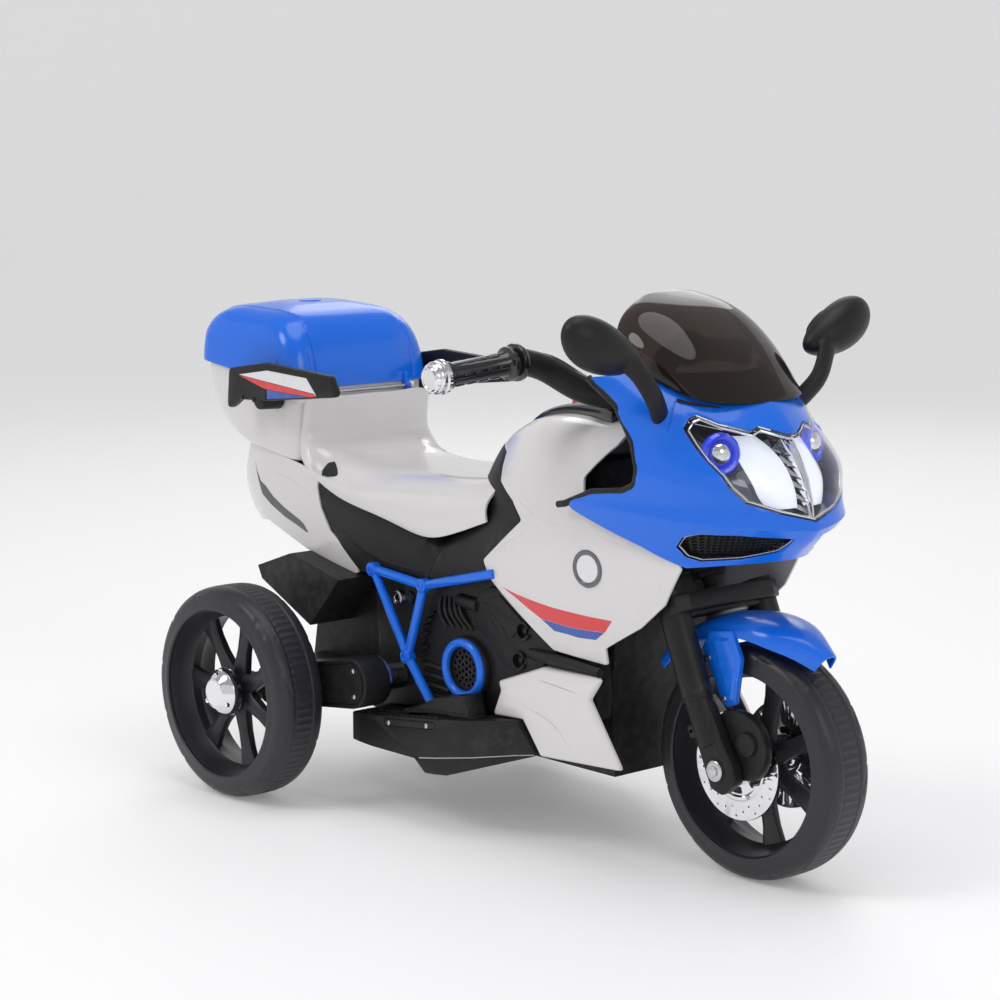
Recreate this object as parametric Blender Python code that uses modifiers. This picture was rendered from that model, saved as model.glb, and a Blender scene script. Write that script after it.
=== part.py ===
"""A child's battery ride-on motorcycle on three wheels, with a lidded top box behind the seat.

Metres, +Z up, +X forward, +Y the rider's left. The wheels stand on z = 0 and the origin is
under the middle of the machine. Run with: blender --background --python part.py
"""
import math

import bmesh
import bpy
from mathutils import Matrix, Vector

# Wheels and stance
WHEEL_RADIUS = 0.140
WHEELBASE = 0.7125
REAR_AXLE_X = -0.300
REAR_TRACK_HALF = 0.235
TYRE_TREAD_HALF = 0.0295
TYRE_BULGE_HALF = 0.0372
RIM_OPENING_RADIUS = 0.1127
RIM_LIP_HALF = 0.0392
RIM_WELL_RADIUS = 0.100
WEB_HALF = 0.009
HUB_RADIUS = 0.022
HUB_HALF = 0.029
SPOKES = 7
SPOKE_WIDTH = 0.020
WHEEL_STEPS = 28

# Shafts and clearances
AXLE_RADIUS = 0.005
RUNNING_CLEARANCE = 0.0006
GAP = 0.0005
SKIN = 0.003

# Front end
RAKE = math.radians(23.0)
FORK_HALF = 0.074
FORK_TUBE_RADIUS = 0.0185
FORK_TOP = 0.196
YOKE_THICKNESS = 0.022
COLUMN_RADIUS = 0.010
COLUMN_TOP = 0.452
HEAD_RADIUS = 0.021
HEAD_BOTTOM = 0.228
HEAD_TOP = 0.360
DISC_RADIUS = 0.065
DISC_THICKNESS = 0.003
DISC_OUTBOARD = 0.0400
DISC_HOLES = 10
DISC_HOLE_RADIUS = 0.0024
GUARD_RADIUS = 0.176
GUARD_HALF = 0.048
BAR_RADIUS = 0.010
GRIP_RADIUS = 0.0175
GRIP_LENGTH = 0.088
BAR_HALF = 0.262

# Body
CHASSIS_HALF = 0.078
CHASSIS_WALL = 0.004
ENGINE_FACE = 0.104
TRELLIS_FACE = 0.1255
TRELLIS_RADIUS = 0.0062
FOOTBOARD_HALF = 0.166
BOX_HALF = 0.119
BOX_WALL = 0.0028
BOX_CORNER = 0.038
HINGE_RADIUS = 0.0025
SWITCH_TRAVEL = 0.0015

FRONT_AXLE_X = REAR_AXLE_X + WHEELBASE
AXLE_Z = WHEEL_RADIUS
STEER_AXIS = Vector((-math.sin(RAKE), 0.0, math.cos(RAKE)))
FRONT_HUB = Vector((FRONT_AXLE_X, 0.0, AXLE_Z))
REAR_HUB = Vector((REAR_AXLE_X, 0.0, AXLE_Z))


def front(dx, dy, dz):
    """A point measured from the middle of the front axle."""
    return Vector((FRONT_AXLE_X + dx, dy, AXLE_Z + dz))


def rear(dx, dy, dz):
    """A point measured from the middle of the rear axle."""
    return Vector((REAR_AXLE_X + dx, dy, AXLE_Z + dz))


def front_line(points):
    """A side-view outline measured from the front axle."""
    return [(FRONT_AXLE_X + dx, AXLE_Z + dz) for dx, dz in points]


def rear_line(points):
    """A side-view outline measured from the rear axle."""
    return [(REAR_AXLE_X + dx, AXLE_Z + dz) for dx, dz in points]


def steer(along, dy=0.0, ahead=0.0):
    """A point on the steering axis, with an offset to the side and square to it forwards."""
    square = Vector((math.cos(RAKE), 0.0, math.sin(RAKE)))
    return FRONT_HUB + STEER_AXIS * along + square * ahead + Vector((0.0, dy, 0.0))


# Scene set-up
for old in list(bpy.data.objects):
    bpy.data.objects.remove(old, do_unlink=True)

PARTS = bpy.data.collections.new("ride_on_motorcycle")
CUTTERS = bpy.data.collections.new("cutters")
bpy.context.scene.collection.children.link(PARTS)
bpy.context.scene.collection.children.link(CUTTERS)


def material(name, colour, roughness, metallic=0.0):
    made = bpy.data.materials.new(name)
    made.use_nodes = True
    shader = made.node_tree.nodes["Principled BSDF"]
    shader.inputs["Base Color"].default_value = (*colour, 1.0)
    shader.inputs["Roughness"].default_value = roughness
    shader.inputs["Metallic"].default_value = metallic
    return made


WHITE = material("gloss_white", (0.78, 0.76, 0.76), 0.18)
BLUE = material("gloss_blue", (0.02, 0.16, 0.78), 0.18)
BLACK = material("satin_black", (0.018, 0.018, 0.020), 0.45)
GLOSS_BLACK = material("gloss_black", (0.012, 0.012, 0.014), 0.15)
RUBBER = material("wheel_black", (0.020, 0.020, 0.021), 0.55)
CHROME = material("chrome", (0.80, 0.80, 0.82), 0.08, 1.0)
STEEL = material("steel", (0.55, 0.55, 0.57), 0.30, 1.0)
SMOKE = material("smoked_clear", (0.06, 0.045, 0.04), 0.10)
CLEAR = material("clear", (0.75, 0.80, 0.85), 0.05)
RED = material("switch_red", (0.75, 0.02, 0.02), 0.30)
YELLOW = material("button_yellow", (0.85, 0.55, 0.03), 0.35)
CELL = material("battery_grey", (0.10, 0.10, 0.11), 0.50)


def put(name, mesh, look=None, collection=None):
    """Make an object of a mesh and put it in its collection."""
    made = bpy.data.objects.new(name, mesh)
    (collection or PARTS).objects.link(made)
    if look is not None:
        mesh.materials.clear()
        mesh.materials.append(look)
    return made


def evaluated_mesh(source):
    bpy.context.view_layer.update()
    graph = bpy.context.evaluated_depsgraph_get()
    return bpy.data.meshes.new_from_object(source.evaluated_get(graph))


def settle(source, weld=0.00001):
    """Apply an object's modifiers and its placement to its mesh."""
    mesh = evaluated_mesh(source)
    mesh.transform(source.matrix_world)
    work = bmesh.new()
    work.from_mesh(mesh)
    bmesh.ops.remove_doubles(work, verts=work.verts, dist=weld)
    bmesh.ops.recalc_face_normals(work, faces=work.faces)
    work.to_mesh(mesh)
    work.free()
    name = source.name
    look = source.data.materials[0] if source.data.materials else None
    home = source.users_collection[0]
    bpy.data.objects.remove(source, do_unlink=True)
    return put(name, mesh, look, home)


def smooth(target, degrees=35.0):
    target.data.shade_smooth()
    target.data.set_sharp_from_angle(angle=math.radians(degrees))
    return target


def from_bmesh(name, work, look=None, collection=None):
    bmesh.ops.recalc_face_normals(work, faces=work.faces)
    mesh = bpy.data.meshes.new(name)
    work.to_mesh(mesh)
    work.free()
    return put(name, mesh, look, collection)


def box(name, low, high, look=None, bevel=0.0):
    """A block between two corners, with its edges rounded."""
    low, high = Vector(low), Vector(high)
    work = bmesh.new()
    bmesh.ops.create_cube(work, size=1.0)
    bmesh.ops.scale(work, vec=high - low, verts=work.verts)
    bmesh.ops.translate(work, vec=(low + high) / 2, verts=work.verts)
    if bevel:
        bmesh.ops.bevel(work, geom=work.edges, offset=bevel, segments=1, affect="EDGES", profile=0.5)
    return from_bmesh(name, work, look)


def rod(name, start, end, radius, look=None, sides=24, end_radius=None):
    """A straight round bar, or a cone, from one point to another."""
    start, end = Vector(start), Vector(end)
    run = end - start
    work = bmesh.new()
    bmesh.ops.create_cone(work, cap_ends=True, segments=sides, radius1=radius,
                          radius2=radius if end_radius is None else end_radius, depth=run.length)
    turn = run.to_track_quat("Z", "Y").to_matrix().to_4x4()
    bmesh.ops.transform(work, matrix=Matrix.Translation((start + end) / 2) @ turn, verts=work.verts)
    return from_bmesh(name, work, look)


def turned(name, centre, profile, look=None, steps=32):
    """A closed profile of (radius, sideways) points turned about a crosswise axle."""
    mesh = bpy.data.meshes.new(name)
    work = bmesh.new()
    ring = [work.verts.new((0.0, side, -radius)) for radius, side in profile]
    for here, after in zip(ring, ring[1:] + ring[:1]):
        if abs(here.co.z) > 0.00001 or abs(after.co.z) > 0.00001:
            work.edges.new((here, after))
    work.to_mesh(mesh)
    work.free()
    made = put(name, mesh, look)
    screw = made.modifiers.new("Screw", "SCREW")
    screw.axis = "Y"
    screw.steps = steps
    screw.render_steps = steps
    screw.use_merge_vertices = True
    screw.merge_threshold = 0.00001
    made.location = centre
    return settle(made)


def plate(name, outline, y_low, y_high, look=None, bevel=0.0):
    """A flat outline in side view (x, z), extruded across from y_low to y_high."""
    curve = bpy.data.curves.new(name, "CURVE")
    curve.dimensions = "2D"
    curve.fill_mode = "BOTH"
    curve.extrude = abs(y_high - y_low) / 2
    spline = curve.splines.new("POLY")
    spline.points.add(len(outline) - 1)
    for point, (x, z) in zip(spline.points, outline):
        point.co = (x, z, 0.0, 1.0)
    spline.use_cyclic_u = True
    made = bpy.data.objects.new(name, curve)
    PARTS.objects.link(made)
    made.rotation_euler = (math.pi / 2, 0.0, 0.0)
    made.location = (0.0, (y_low + y_high) / 2, 0.0)
    made = settle(made, 0.00005)
    if look is not None:
        made.data.materials.clear()
        made.data.materials.append(look)
    if bevel:
        rounding = made.modifiers.new("Bevel", "BEVEL")
        rounding.width = bevel
        rounding.segments = 1
        rounding.limit_method = "ANGLE"
        rounding.angle_limit = math.radians(50)
        made = settle(made)
    return made


def flat_plate(name, outline, z_low, z_high, look=None):
    """A flat outline in plan (x, y), from z_low up to z_high."""
    made = plate(name, outline, 0.0, z_high - z_low, look)
    made.data.transform(Matrix.Rotation(-math.pi / 2, 4, "X"))
    low = min(v.co.z for v in made.data.vertices)
    made.data.transform(Matrix.Translation((0.0, 0.0, z_low - low)))
    return made


def tube(name, points, radius, look=None, resolution=3, smooth_path=True, radii=None):
    """A round bar along points."""
    curve = bpy.data.curves.new(name, "CURVE")
    curve.dimensions = "3D"
    curve.bevel_depth = radius
    curve.bevel_resolution = resolution
    curve.use_fill_caps = True
    curve.resolution_u = 2
    if smooth_path:
        spline = curve.splines.new("BEZIER")
        spline.bezier_points.add(len(points) - 1)
        for place, co in enumerate(points):
            knot = spline.bezier_points[place]
            knot.co = co
            knot.handle_left_type = knot.handle_right_type = "AUTO"
            if radii:
                knot.radius = radii[place]
    else:
        spline = curve.splines.new("POLY")
        spline.points.add(len(points) - 1)
        for place, co in enumerate(points):
            spline.points[place].co = (*co, 1.0)
    made = bpy.data.objects.new(name, curve)
    PARTS.objects.link(made)
    made = settle(made)
    if look is not None:
        made.data.materials.clear()
        made.data.materials.append(look)
    return made


def combine(target, other, operation="DIFFERENCE", keep=False):
    """Apply one exact Boolean; the other object is used up unless keep is set."""
    change = target.modifiers.new("Boolean", "BOOLEAN")
    change.operation = operation
    change.solver = "EXACT"
    change.object = other
    mesh = evaluated_mesh(target)
    target.modifiers.clear()
    if not mesh.polygons:
        raise RuntimeError(f"nothing left of {target.name} after {operation} with {other.name}")
    looks = target.data.materials[0] if target.data.materials else None
    target.data = mesh
    mesh.materials.clear()
    if looks is not None:
        mesh.materials.append(looks)
    for face in mesh.polygons:
        face.material_index = 0
    if not keep:
        bpy.data.objects.remove(other, do_unlink=True)
    return target


def join(target, *others):
    for other in others:
        combine(target, other, "UNION")
    return target


def cut(target, *others):
    for other in others:
        combine(target, other)
    return target


def grown_copy(source, margin):
    """A copy of a piece with its surface moved outwards, to cut its neighbour with a gap."""
    work = bmesh.new()
    work.from_mesh(source.data)
    work.transform(source.matrix_world)
    bmesh.ops.remove_doubles(work, verts=work.verts, dist=0.00002)
    work.normal_update()
    moves = [v.normal * margin * min(v.calc_shell_factor(), 2.0) for v in work.verts]
    for vert, move in zip(work.verts, moves):
        vert.co += move
    mesh = bpy.data.meshes.new(source.name + "_grown")
    work.to_mesh(mesh)
    work.free()
    return put(source.name + "_grown", mesh, None, CUTTERS)


def carve(target, *neighbours, margin=None):
    """Cut a piece back so that it clears its neighbours by the gap."""
    for neighbour in neighbours:
        combine(target, grown_copy(neighbour, GAP if margin is None else margin))
    return target


def largest(target):
    """Drop the offcuts that a cut leaves beside a piece."""
    work = bmesh.new()
    work.from_mesh(target.data)
    unseen = set(work.verts)
    groups = []
    while unseen:
        stack = [unseen.pop()]
        group = set(stack)
        while stack:
            for edge in stack.pop().link_edges:
                for vert in edge.verts:
                    if vert in unseen:
                        unseen.discard(vert)
                        group.add(vert)
                        stack.append(vert)
        groups.append(group)
    groups.sort(key=lambda g: -max_extent(g))
    for group in groups[1:]:
        bmesh.ops.delete(work, geom=list(group), context="VERTS")
    work.to_mesh(target.data)
    work.free()
    return target


def max_extent(group):
    xs = [v.co for v in group]
    spans = [max(c[i] for c in xs) - min(c[i] for c in xs) for i in range(3)]
    return spans[0] * spans[1] + spans[1] * spans[2] + spans[0] * spans[2]


def mirrored(source, name):
    """The same piece on the other side of the machine."""
    mesh = source.data.copy()
    mesh.transform(Matrix.Scale(-1.0, 4, (0.0, 1.0, 0.0)))
    mesh.flip_normals()
    made = put(name, mesh)
    return made


def grid_surface(name, rows, look=None, mirror=False, thickness=SKIN, inward=True):
    """A shell: rows of points make an open surface, which is given its wall."""
    work = bmesh.new()
    lines = [[work.verts.new(point) for point in row] for row in rows]
    for upper, lower in zip(lines, lines[1:]):
        for i in range(len(upper) - 1):
            work.faces.new((upper[i], upper[i + 1], lower[i + 1], lower[i]))
    mesh = bpy.data.meshes.new(name)
    work.to_mesh(mesh)
    work.free()
    made = put(name, mesh, look)
    if mirror:
        other = made.modifiers.new("Mirror", "MIRROR")
        other.use_axis = (False, True, False)
        other.use_mirror_merge = True
        other.merge_threshold = 0.0001
        other.use_clip = True
    if thickness:
        wall = made.modifiers.new("Solidify", "SOLIDIFY")
        wall.thickness = thickness
        wall.offset = -1.0 if inward else 1.0
        wall.use_even_offset = True
    return settle(made)


def ring_outline(x_front, x_rear, half, corner, steps=3):
    """A rounded rectangle in plan, front to the right, as (x, y) points."""
    corners = ((x_front - corner, half - corner, 0), (x_rear + corner, half - corner, 90),
               (x_rear + corner, -half + corner, 180), (x_front - corner, -half + corner, 270))
    points = []
    for cx, cy, start in corners:
        for i in range(steps + 1):
            angle = math.radians(start + 90.0 * i / steps)
            points.append((cx + corner * math.cos(angle), cy + corner * math.sin(angle)))
    return points


def loft(name, rings, look=None):
    """A closed solid through rings of points, with flat ends."""
    work = bmesh.new()
    levels = [[work.verts.new(point) for point in ring] for ring in rings]
    for low, high in zip(levels, levels[1:]):
        for i in range(len(low)):
            j = (i + 1) % len(low)
            work.faces.new((low[i], low[j], high[j], high[i]))
    work.faces.new(levels[0])
    work.faces.new(levels[-1])
    bmesh.ops.triangulate(work, faces=[f for f in work.faces if len(f.verts) > 4])
    return from_bmesh(name, work, look)


def pivot(name, place):
    """An empty that marks a joint's axis; moving pieces are parented to it."""
    made = bpy.data.objects.new(name, None)
    made.location = place
    PARTS.objects.link(made)
    return made


def hang(holder, *pieces):
    """Parent pieces to a joint's empty, leaving them where they are."""
    bpy.context.view_layer.update()
    for piece in pieces:
        piece.parent = holder
        piece.matrix_parent_inverse = holder.matrix_world.inverted()


# Wheels
def wheel_profile():
    """The blow-moulded tyre, rim and hub in one, as (radius, sideways) points."""
    tyre = [(WHEEL_RADIUS, 0.016), (WHEEL_RADIUS - 0.003, TYRE_TREAD_HALF),
            (WHEEL_RADIUS - 0.0177, TYRE_BULGE_HALF)]
    rim = [(RIM_OPENING_RADIUS, RIM_LIP_HALF), (RIM_OPENING_RADIUS - 0.005, RIM_LIP_HALF - 0.001),
           (RIM_WELL_RADIUS, WEB_HALF)]
    hub = [(HUB_RADIUS, WEB_HALF), (HUB_RADIUS, HUB_HALF), (AXLE_RADIUS + RUNNING_CLEARANCE, HUB_HALF)]
    outer = tyre + rim + hub
    return outer + [(radius, -side) for radius, side in reversed(outer)]


def wheel_windows(centre):
    """The cutter for the openings between the spokes."""
    inner = HUB_RADIUS + 0.010
    outer = RIM_WELL_RADIUS - 0.004
    cutter = None
    for spoke in range(SPOKES):
        outline = []
        for radius, order in ((inner, 1), (outer, -1)):
            spread = math.pi / SPOKES - math.asin(SPOKE_WIDTH / 2 / radius)
            steps = (-1.0, 0.0, 1.0) if radius == outer else (-1.0, 1.0)
            for share in steps:
                outline.append((radius, share * spread * order))
        middle = 2 * math.pi * (spoke + 0.5) / SPOKES
        points = [(centre.x + r * math.cos(middle + t), centre.z + r * math.sin(middle + t))
                  for r, t in outline]
        window = plate(f"window_{spoke}", points, centre.y - 0.02, centre.y + 0.02)
        cutter = window if cutter is None else join_loose(cutter, window)
    return cutter


def join_loose(first, second):
    """Put a second, separate cutter's mesh into the first."""
    work = bmesh.new()
    work.from_mesh(first.data)
    work.from_mesh(second.data)
    work.to_mesh(first.data)
    work.free()
    bpy.data.objects.remove(second, do_unlink=True)
    return first


def wheel(name, centre):
    made = turned(name, centre, wheel_profile(), RUBBER, WHEEL_STEPS)
    cut(made, wheel_windows(centre))
    return smooth(made)


left_hub = REAR_HUB + Vector((0.0, REAR_TRACK_HALF, 0.0))
right_hub = REAR_HUB - Vector((0.0, REAR_TRACK_HALF, 0.0))
wheel_left = wheel("wheel_rear_left", left_hub)
wheel_right = wheel("wheel_rear_right", right_hub)
wheel_front = wheel("wheel_front", FRONT_HUB)

CAP_FACE = 0.0424
CAP_RADIUS = 0.031


def hub_cap(name, centre, side):
    """A chrome dome over the end of the axle, open on the wheel's side."""
    base = HUB_HALF + GAP
    profile = [(CAP_RADIUS, base - 0.010), (CAP_RADIUS - 0.001, base + 0.002),
               (CAP_RADIUS - 0.009, CAP_FACE - 0.002), (CAP_RADIUS - 0.012, CAP_FACE), (0.0, CAP_FACE),
               (0.0, CAP_FACE - 0.003), (CAP_RADIUS - 0.013, CAP_FACE - 0.003),
               (CAP_RADIUS - 0.0045, base + 0.001), (CAP_RADIUS - 0.004, base - 0.010)]
    return smooth(turned(name, centre, [(r, side * y) for r, y in profile], CHROME, 20))


cap_left = hub_cap("hub_cap_left", left_hub, 1)
cap_right = hub_cap("hub_cap_right", right_hub, -1)
axle_reach = REAR_TRACK_HALF + HUB_HALF + 0.008
rear_axle = rod("rear_axle", REAR_HUB - Vector((0, axle_reach, 0)), REAR_HUB + Vector((0, axle_reach, 0)),
                AXLE_RADIUS, STEEL, 16)


# Front brake discs, axle and fork
def brake_disc(name, side):
    """A drilled chrome disc on the wheel's face, with a raised carrier."""
    out = DISC_OUTBOARD
    profile = [(DISC_RADIUS, out), (DISC_RADIUS, out + DISC_THICKNESS), (0.040, out + DISC_THICKNESS),
               (0.036, out + DISC_THICKNESS + 0.003), (AXLE_RADIUS + RUNNING_CLEARANCE, out + 0.006),
               (AXLE_RADIUS + RUNNING_CLEARANCE, HUB_HALF + GAP), (0.018, HUB_HALF + GAP), (0.020, out)]
    made = turned(name, FRONT_HUB, [(r, side * y) for r, y in profile], CHROME, 24)
    cutter = None
    for hole in range(DISC_HOLES):
        angle = 2 * math.pi * hole / DISC_HOLES
        reach = DISC_RADIUS - 0.007 - 0.011 * (hole % 2)
        middle = FRONT_HUB + Vector((reach * math.cos(angle), side * out, reach * math.sin(angle)))
        drill = rod(f"drill_{hole}", middle - Vector((0, 0.01, 0)), middle + Vector((0, 0.01, 0)),
                    DISC_HOLE_RADIUS, None, 5)
        cutter = drill if cutter is None else join_loose(cutter, drill)
    return smooth(cut(made, cutter))


disc_left = brake_disc("brake_disc_left", 1)
disc_right = brake_disc("brake_disc_right", -1)

SHOE_HALF_THICK = 0.0075
SHOE_OUTER = FORK_HALF + 0.007
NUT_FACE = 0.0868


def fork_leg(name, side):
    """The upper tube and the flat lower shoe that carries the axle, in one moulding."""
    upper = rod(name, steer(0.060, side * FORK_HALF), steer(FORK_TOP + 0.016, side * FORK_HALF),
                FORK_TUBE_RADIUS, BLACK, 18)
    outline = [(-0.019, 0.074), (0.017, 0.074), (0.021, 0.030), (0.027, 0.000), (0.024, -0.022),
               (-0.002, -0.030), (-0.017, -0.018), (-0.018, 0.030)]
    points = [steer(along, 0.0, ahead) for ahead, along in outline]
    low, high = sorted((side * (SHOE_OUTER - 2 * SHOE_HALF_THICK - 0.004), side * SHOE_OUTER))
    shoe = plate("shoe", [(p.x, p.z) for p in points], low, high, None, 0.003)
    join(upper, shoe)
    bore = rod("bore", front(0, side * 0.04, 0), front(0, side * 0.12, 0),
               AXLE_RADIUS + RUNNING_CLEARANCE, None, 16)
    return smooth(cut(upper, bore))


fork_left = fork_leg("fork_leg_left", 1)
fork_right = fork_leg("fork_leg_right", -1)


def axle_profile():
    """The front axle: a bolt with a domed flange nut on each end."""
    half = [(0.0, NUT_FACE), (0.0065, NUT_FACE), (0.0085, NUT_FACE - 0.002), (0.0085, SHOE_OUTER + 0.0025),
            (0.0125, SHOE_OUTER + 0.002), (0.0125, SHOE_OUTER + GAP), (AXLE_RADIUS, SHOE_OUTER + GAP)]
    return half + [(radius, -side) for radius, side in reversed(half)]


front_axle = smooth(turned("front_axle", FRONT_HUB, axle_profile(), STEEL, 12))


def caliper_cover(name, side):
    """The round black cover between the shoe and the disc."""
    inner = DISC_OUTBOARD + DISC_THICKNESS + 0.0045
    outer = SHOE_OUTER - 2 * SHOE_HALF_THICK - 0.004 - GAP
    outline = []
    for step in range(10):
        angle = math.radians(-50 + 200 * step / 9)
        outline.append((0.014 + 0.046 * math.cos(angle), 0.026 + 0.044 * math.sin(angle)))
    outline += [(-0.026, 0.012), (-0.012, -0.016)]
    made = plate(name, front_line(outline), *sorted((side * inner, side * outer)), BLACK, 0.0015)
    boss_at = front(0.033, side * (outer - 0.002), 0.034)
    boss = rod("boss", boss_at, boss_at + Vector((0, side * 0.008, 0)), 0.014, None, 16)
    clear = rod("clear", front(0, side * 0.03, 0), front(0, side * 0.12, 0), AXLE_RADIUS + 0.004, None, 16)
    return smooth(cut(join(made, boss), clear))


cover_left = caliper_cover("caliper_cover_left", 1)
cover_right = caliper_cover("caliper_cover_right", -1)
for cover, leg in ((cover_left, fork_left), (cover_right, fork_right)):
    largest(carve(cover, leg))

# Steering: yoke, column, head bush
yoke_plan = [(-0.020, -0.091), (0.018, -0.091), (0.028, -0.070), (0.030, 0.000), (0.028, 0.070), (0.018, 0.091),
             (-0.020, 0.091), (-0.028, 0.070), (-0.030, 0.000), (-0.028, -0.070)]
yoke = flat_plate("fork_yoke", yoke_plan, -YOKE_THICKNESS / 2, YOKE_THICKNESS / 2, BLACK)
tilt = Matrix.Rotation(-RAKE, 4, "Y")
yoke.data.transform(Matrix.Translation(steer(FORK_TOP)) @ tilt)
column = rod("steering_column", steer(FORK_TOP - YOKE_THICKNESS / 2), steer(COLUMN_TOP), COLUMN_RADIUS, STEEL, 16)
for leg in (fork_left, fork_right):
    carve(yoke, leg)
carve(yoke, column)
smooth(yoke)
bush = rod("steering_bush", steer(HEAD_BOTTOM), steer(HEAD_TOP), HEAD_RADIUS - 0.006, GLOSS_BLACK, 14)
join(bush, rod("flange", steer(HEAD_BOTTOM - 0.004), steer(HEAD_BOTTOM + 0.002), HEAD_RADIUS - 0.001, None, 14))
cut(bush, rod("hole", steer(HEAD_BOTTOM - 0.01), steer(HEAD_TOP + 0.01), COLUMN_RADIUS + 0.0008, None, 14))
smooth(bush)


# Front mudguard
def mudguard():
    """An arched blade over the tyre, with a leg down each fork tube."""
    rows = []
    for step in range(10):
        angle = math.radians(53 + 87 * step / 9)
        pointed = min(1.0, 0.30 + step * 0.30)
        row = []
        for share, drop in ((0.0, 0.0), (0.45, 0.002), (0.8, 0.008), (1.0, 0.024)):
            reach = GUARD_RADIUS - drop
            row.append(front(reach * math.cos(angle), -share * GUARD_HALF * pointed, reach * math.sin(angle)))
        rows.append(row)
    blade = grid_surface("mudguard_front", rows, BLUE, mirror=True)
    leg_line = [(-0.050, 0.134), (-0.038, 0.156), (0.000, 0.160), (0.012, 0.128), (0.004, 0.072), (-0.010, 0.069),
                (-0.018, 0.074)]
    for side in (-1, 1):
        low, high = sorted((side * 0.0440, side * 0.0545))
        leg = plate("leg", front_line(leg_line), low, high, None, 0.002)
        join(blade, leg)
    return blade


guard = mudguard()


# Handlebar
def bar_point(side, share):
    return front(-0.268 - 0.010 * share, side * (0.140 + (BAR_HALF - 0.140) * share), 0.459 - 0.012 * share)


def handlebar():
    """One bent tube with a clamp over the column."""
    half = [front(-0.188, 0.0, 0.4165), front(-0.206, 0.030, 0.417), front(-0.240, 0.062, 0.429),
            front(-0.262, 0.100, 0.455), bar_point(1, 0.02), bar_point(1, 0.15), bar_point(1, 0.55),
            bar_point(1, 0.97)]
    left = half[1:]
    right = [Vector((p.x, -p.y, p.z)) for p in reversed(left)]
    made = tube("handlebar", right + half[:1] + left, BAR_RADIUS, BLACK, 2)
    clamp = rod("clamp", steer(COLUMN_TOP - 0.022), steer(COLUMN_TOP + 0.012), 0.019, None, 20)
    join(made, clamp)
    return smooth(carve(made, column))


bar = handlebar()


def along_bar(side, distance):
    """A point on the straight end of the bar, a distance in from its tip."""
    tip = bar_point(side, 1.0)
    inner = bar_point(side, 0.0)
    return tip + (inner - tip).normalized() * distance


def grip(name, side):
    """A sleeve with a flange at its inner end."""
    sleeve = rod(name, along_bar(side, 0.010), along_bar(side, GRIP_LENGTH), GRIP_RADIUS, GLOSS_BLACK, 16)
    collar = rod("collar", along_bar(side, GRIP_LENGTH - 0.001), along_bar(side, GRIP_LENGTH + 0.010),
                 GRIP_RADIUS + 0.006, None, 16)
    join(sleeve, collar)
    bore = rod("bore", along_bar(side, -0.01), along_bar(side, GRIP_LENGTH + 0.02),
               BAR_RADIUS + GAP, None, 12)
    return smooth(cut(sleeve, bore))


def bar_cap(name, side):
    """A chrome end weight, stepped like a turned knob."""
    steps = ((0.0095, 0.0205), (0.0030, 0.0210), (0.0020, 0.0195), (-0.0050, 0.0195), (-0.0065, 0.0180),
             (-0.0100, 0.0170), (-0.0130, 0.0135))
    run = (along_bar(side, 1.0) - along_bar(side, 0.0)).normalized()
    across = run.cross(Vector((0, 0, 1))).normalized()
    upward = across.cross(run)
    rings = []
    for distance, radius in steps:
        middle = along_bar(side, distance)
        rings.append([middle + (across * math.cos(angle) + upward * math.sin(angle)) * radius
                      for angle in (math.radians(degrees) for degrees in range(0, 360, 24))])
    return smooth(loft(name, rings, CHROME))


grip_left = grip("grip_left", 1)
grip_right = grip("grip_right", -1)
barcap_left = bar_cap("bar_cap_left", 1)
barcap_right = bar_cap("bar_cap_right", -1)
for cap, side in ((barcap_left, 1), (barcap_right, -1)):
    cut(cap, rod("socket", along_bar(side, 0.03), along_bar(side, 0.0), BAR_RADIUS + GAP, None, 12))


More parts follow.
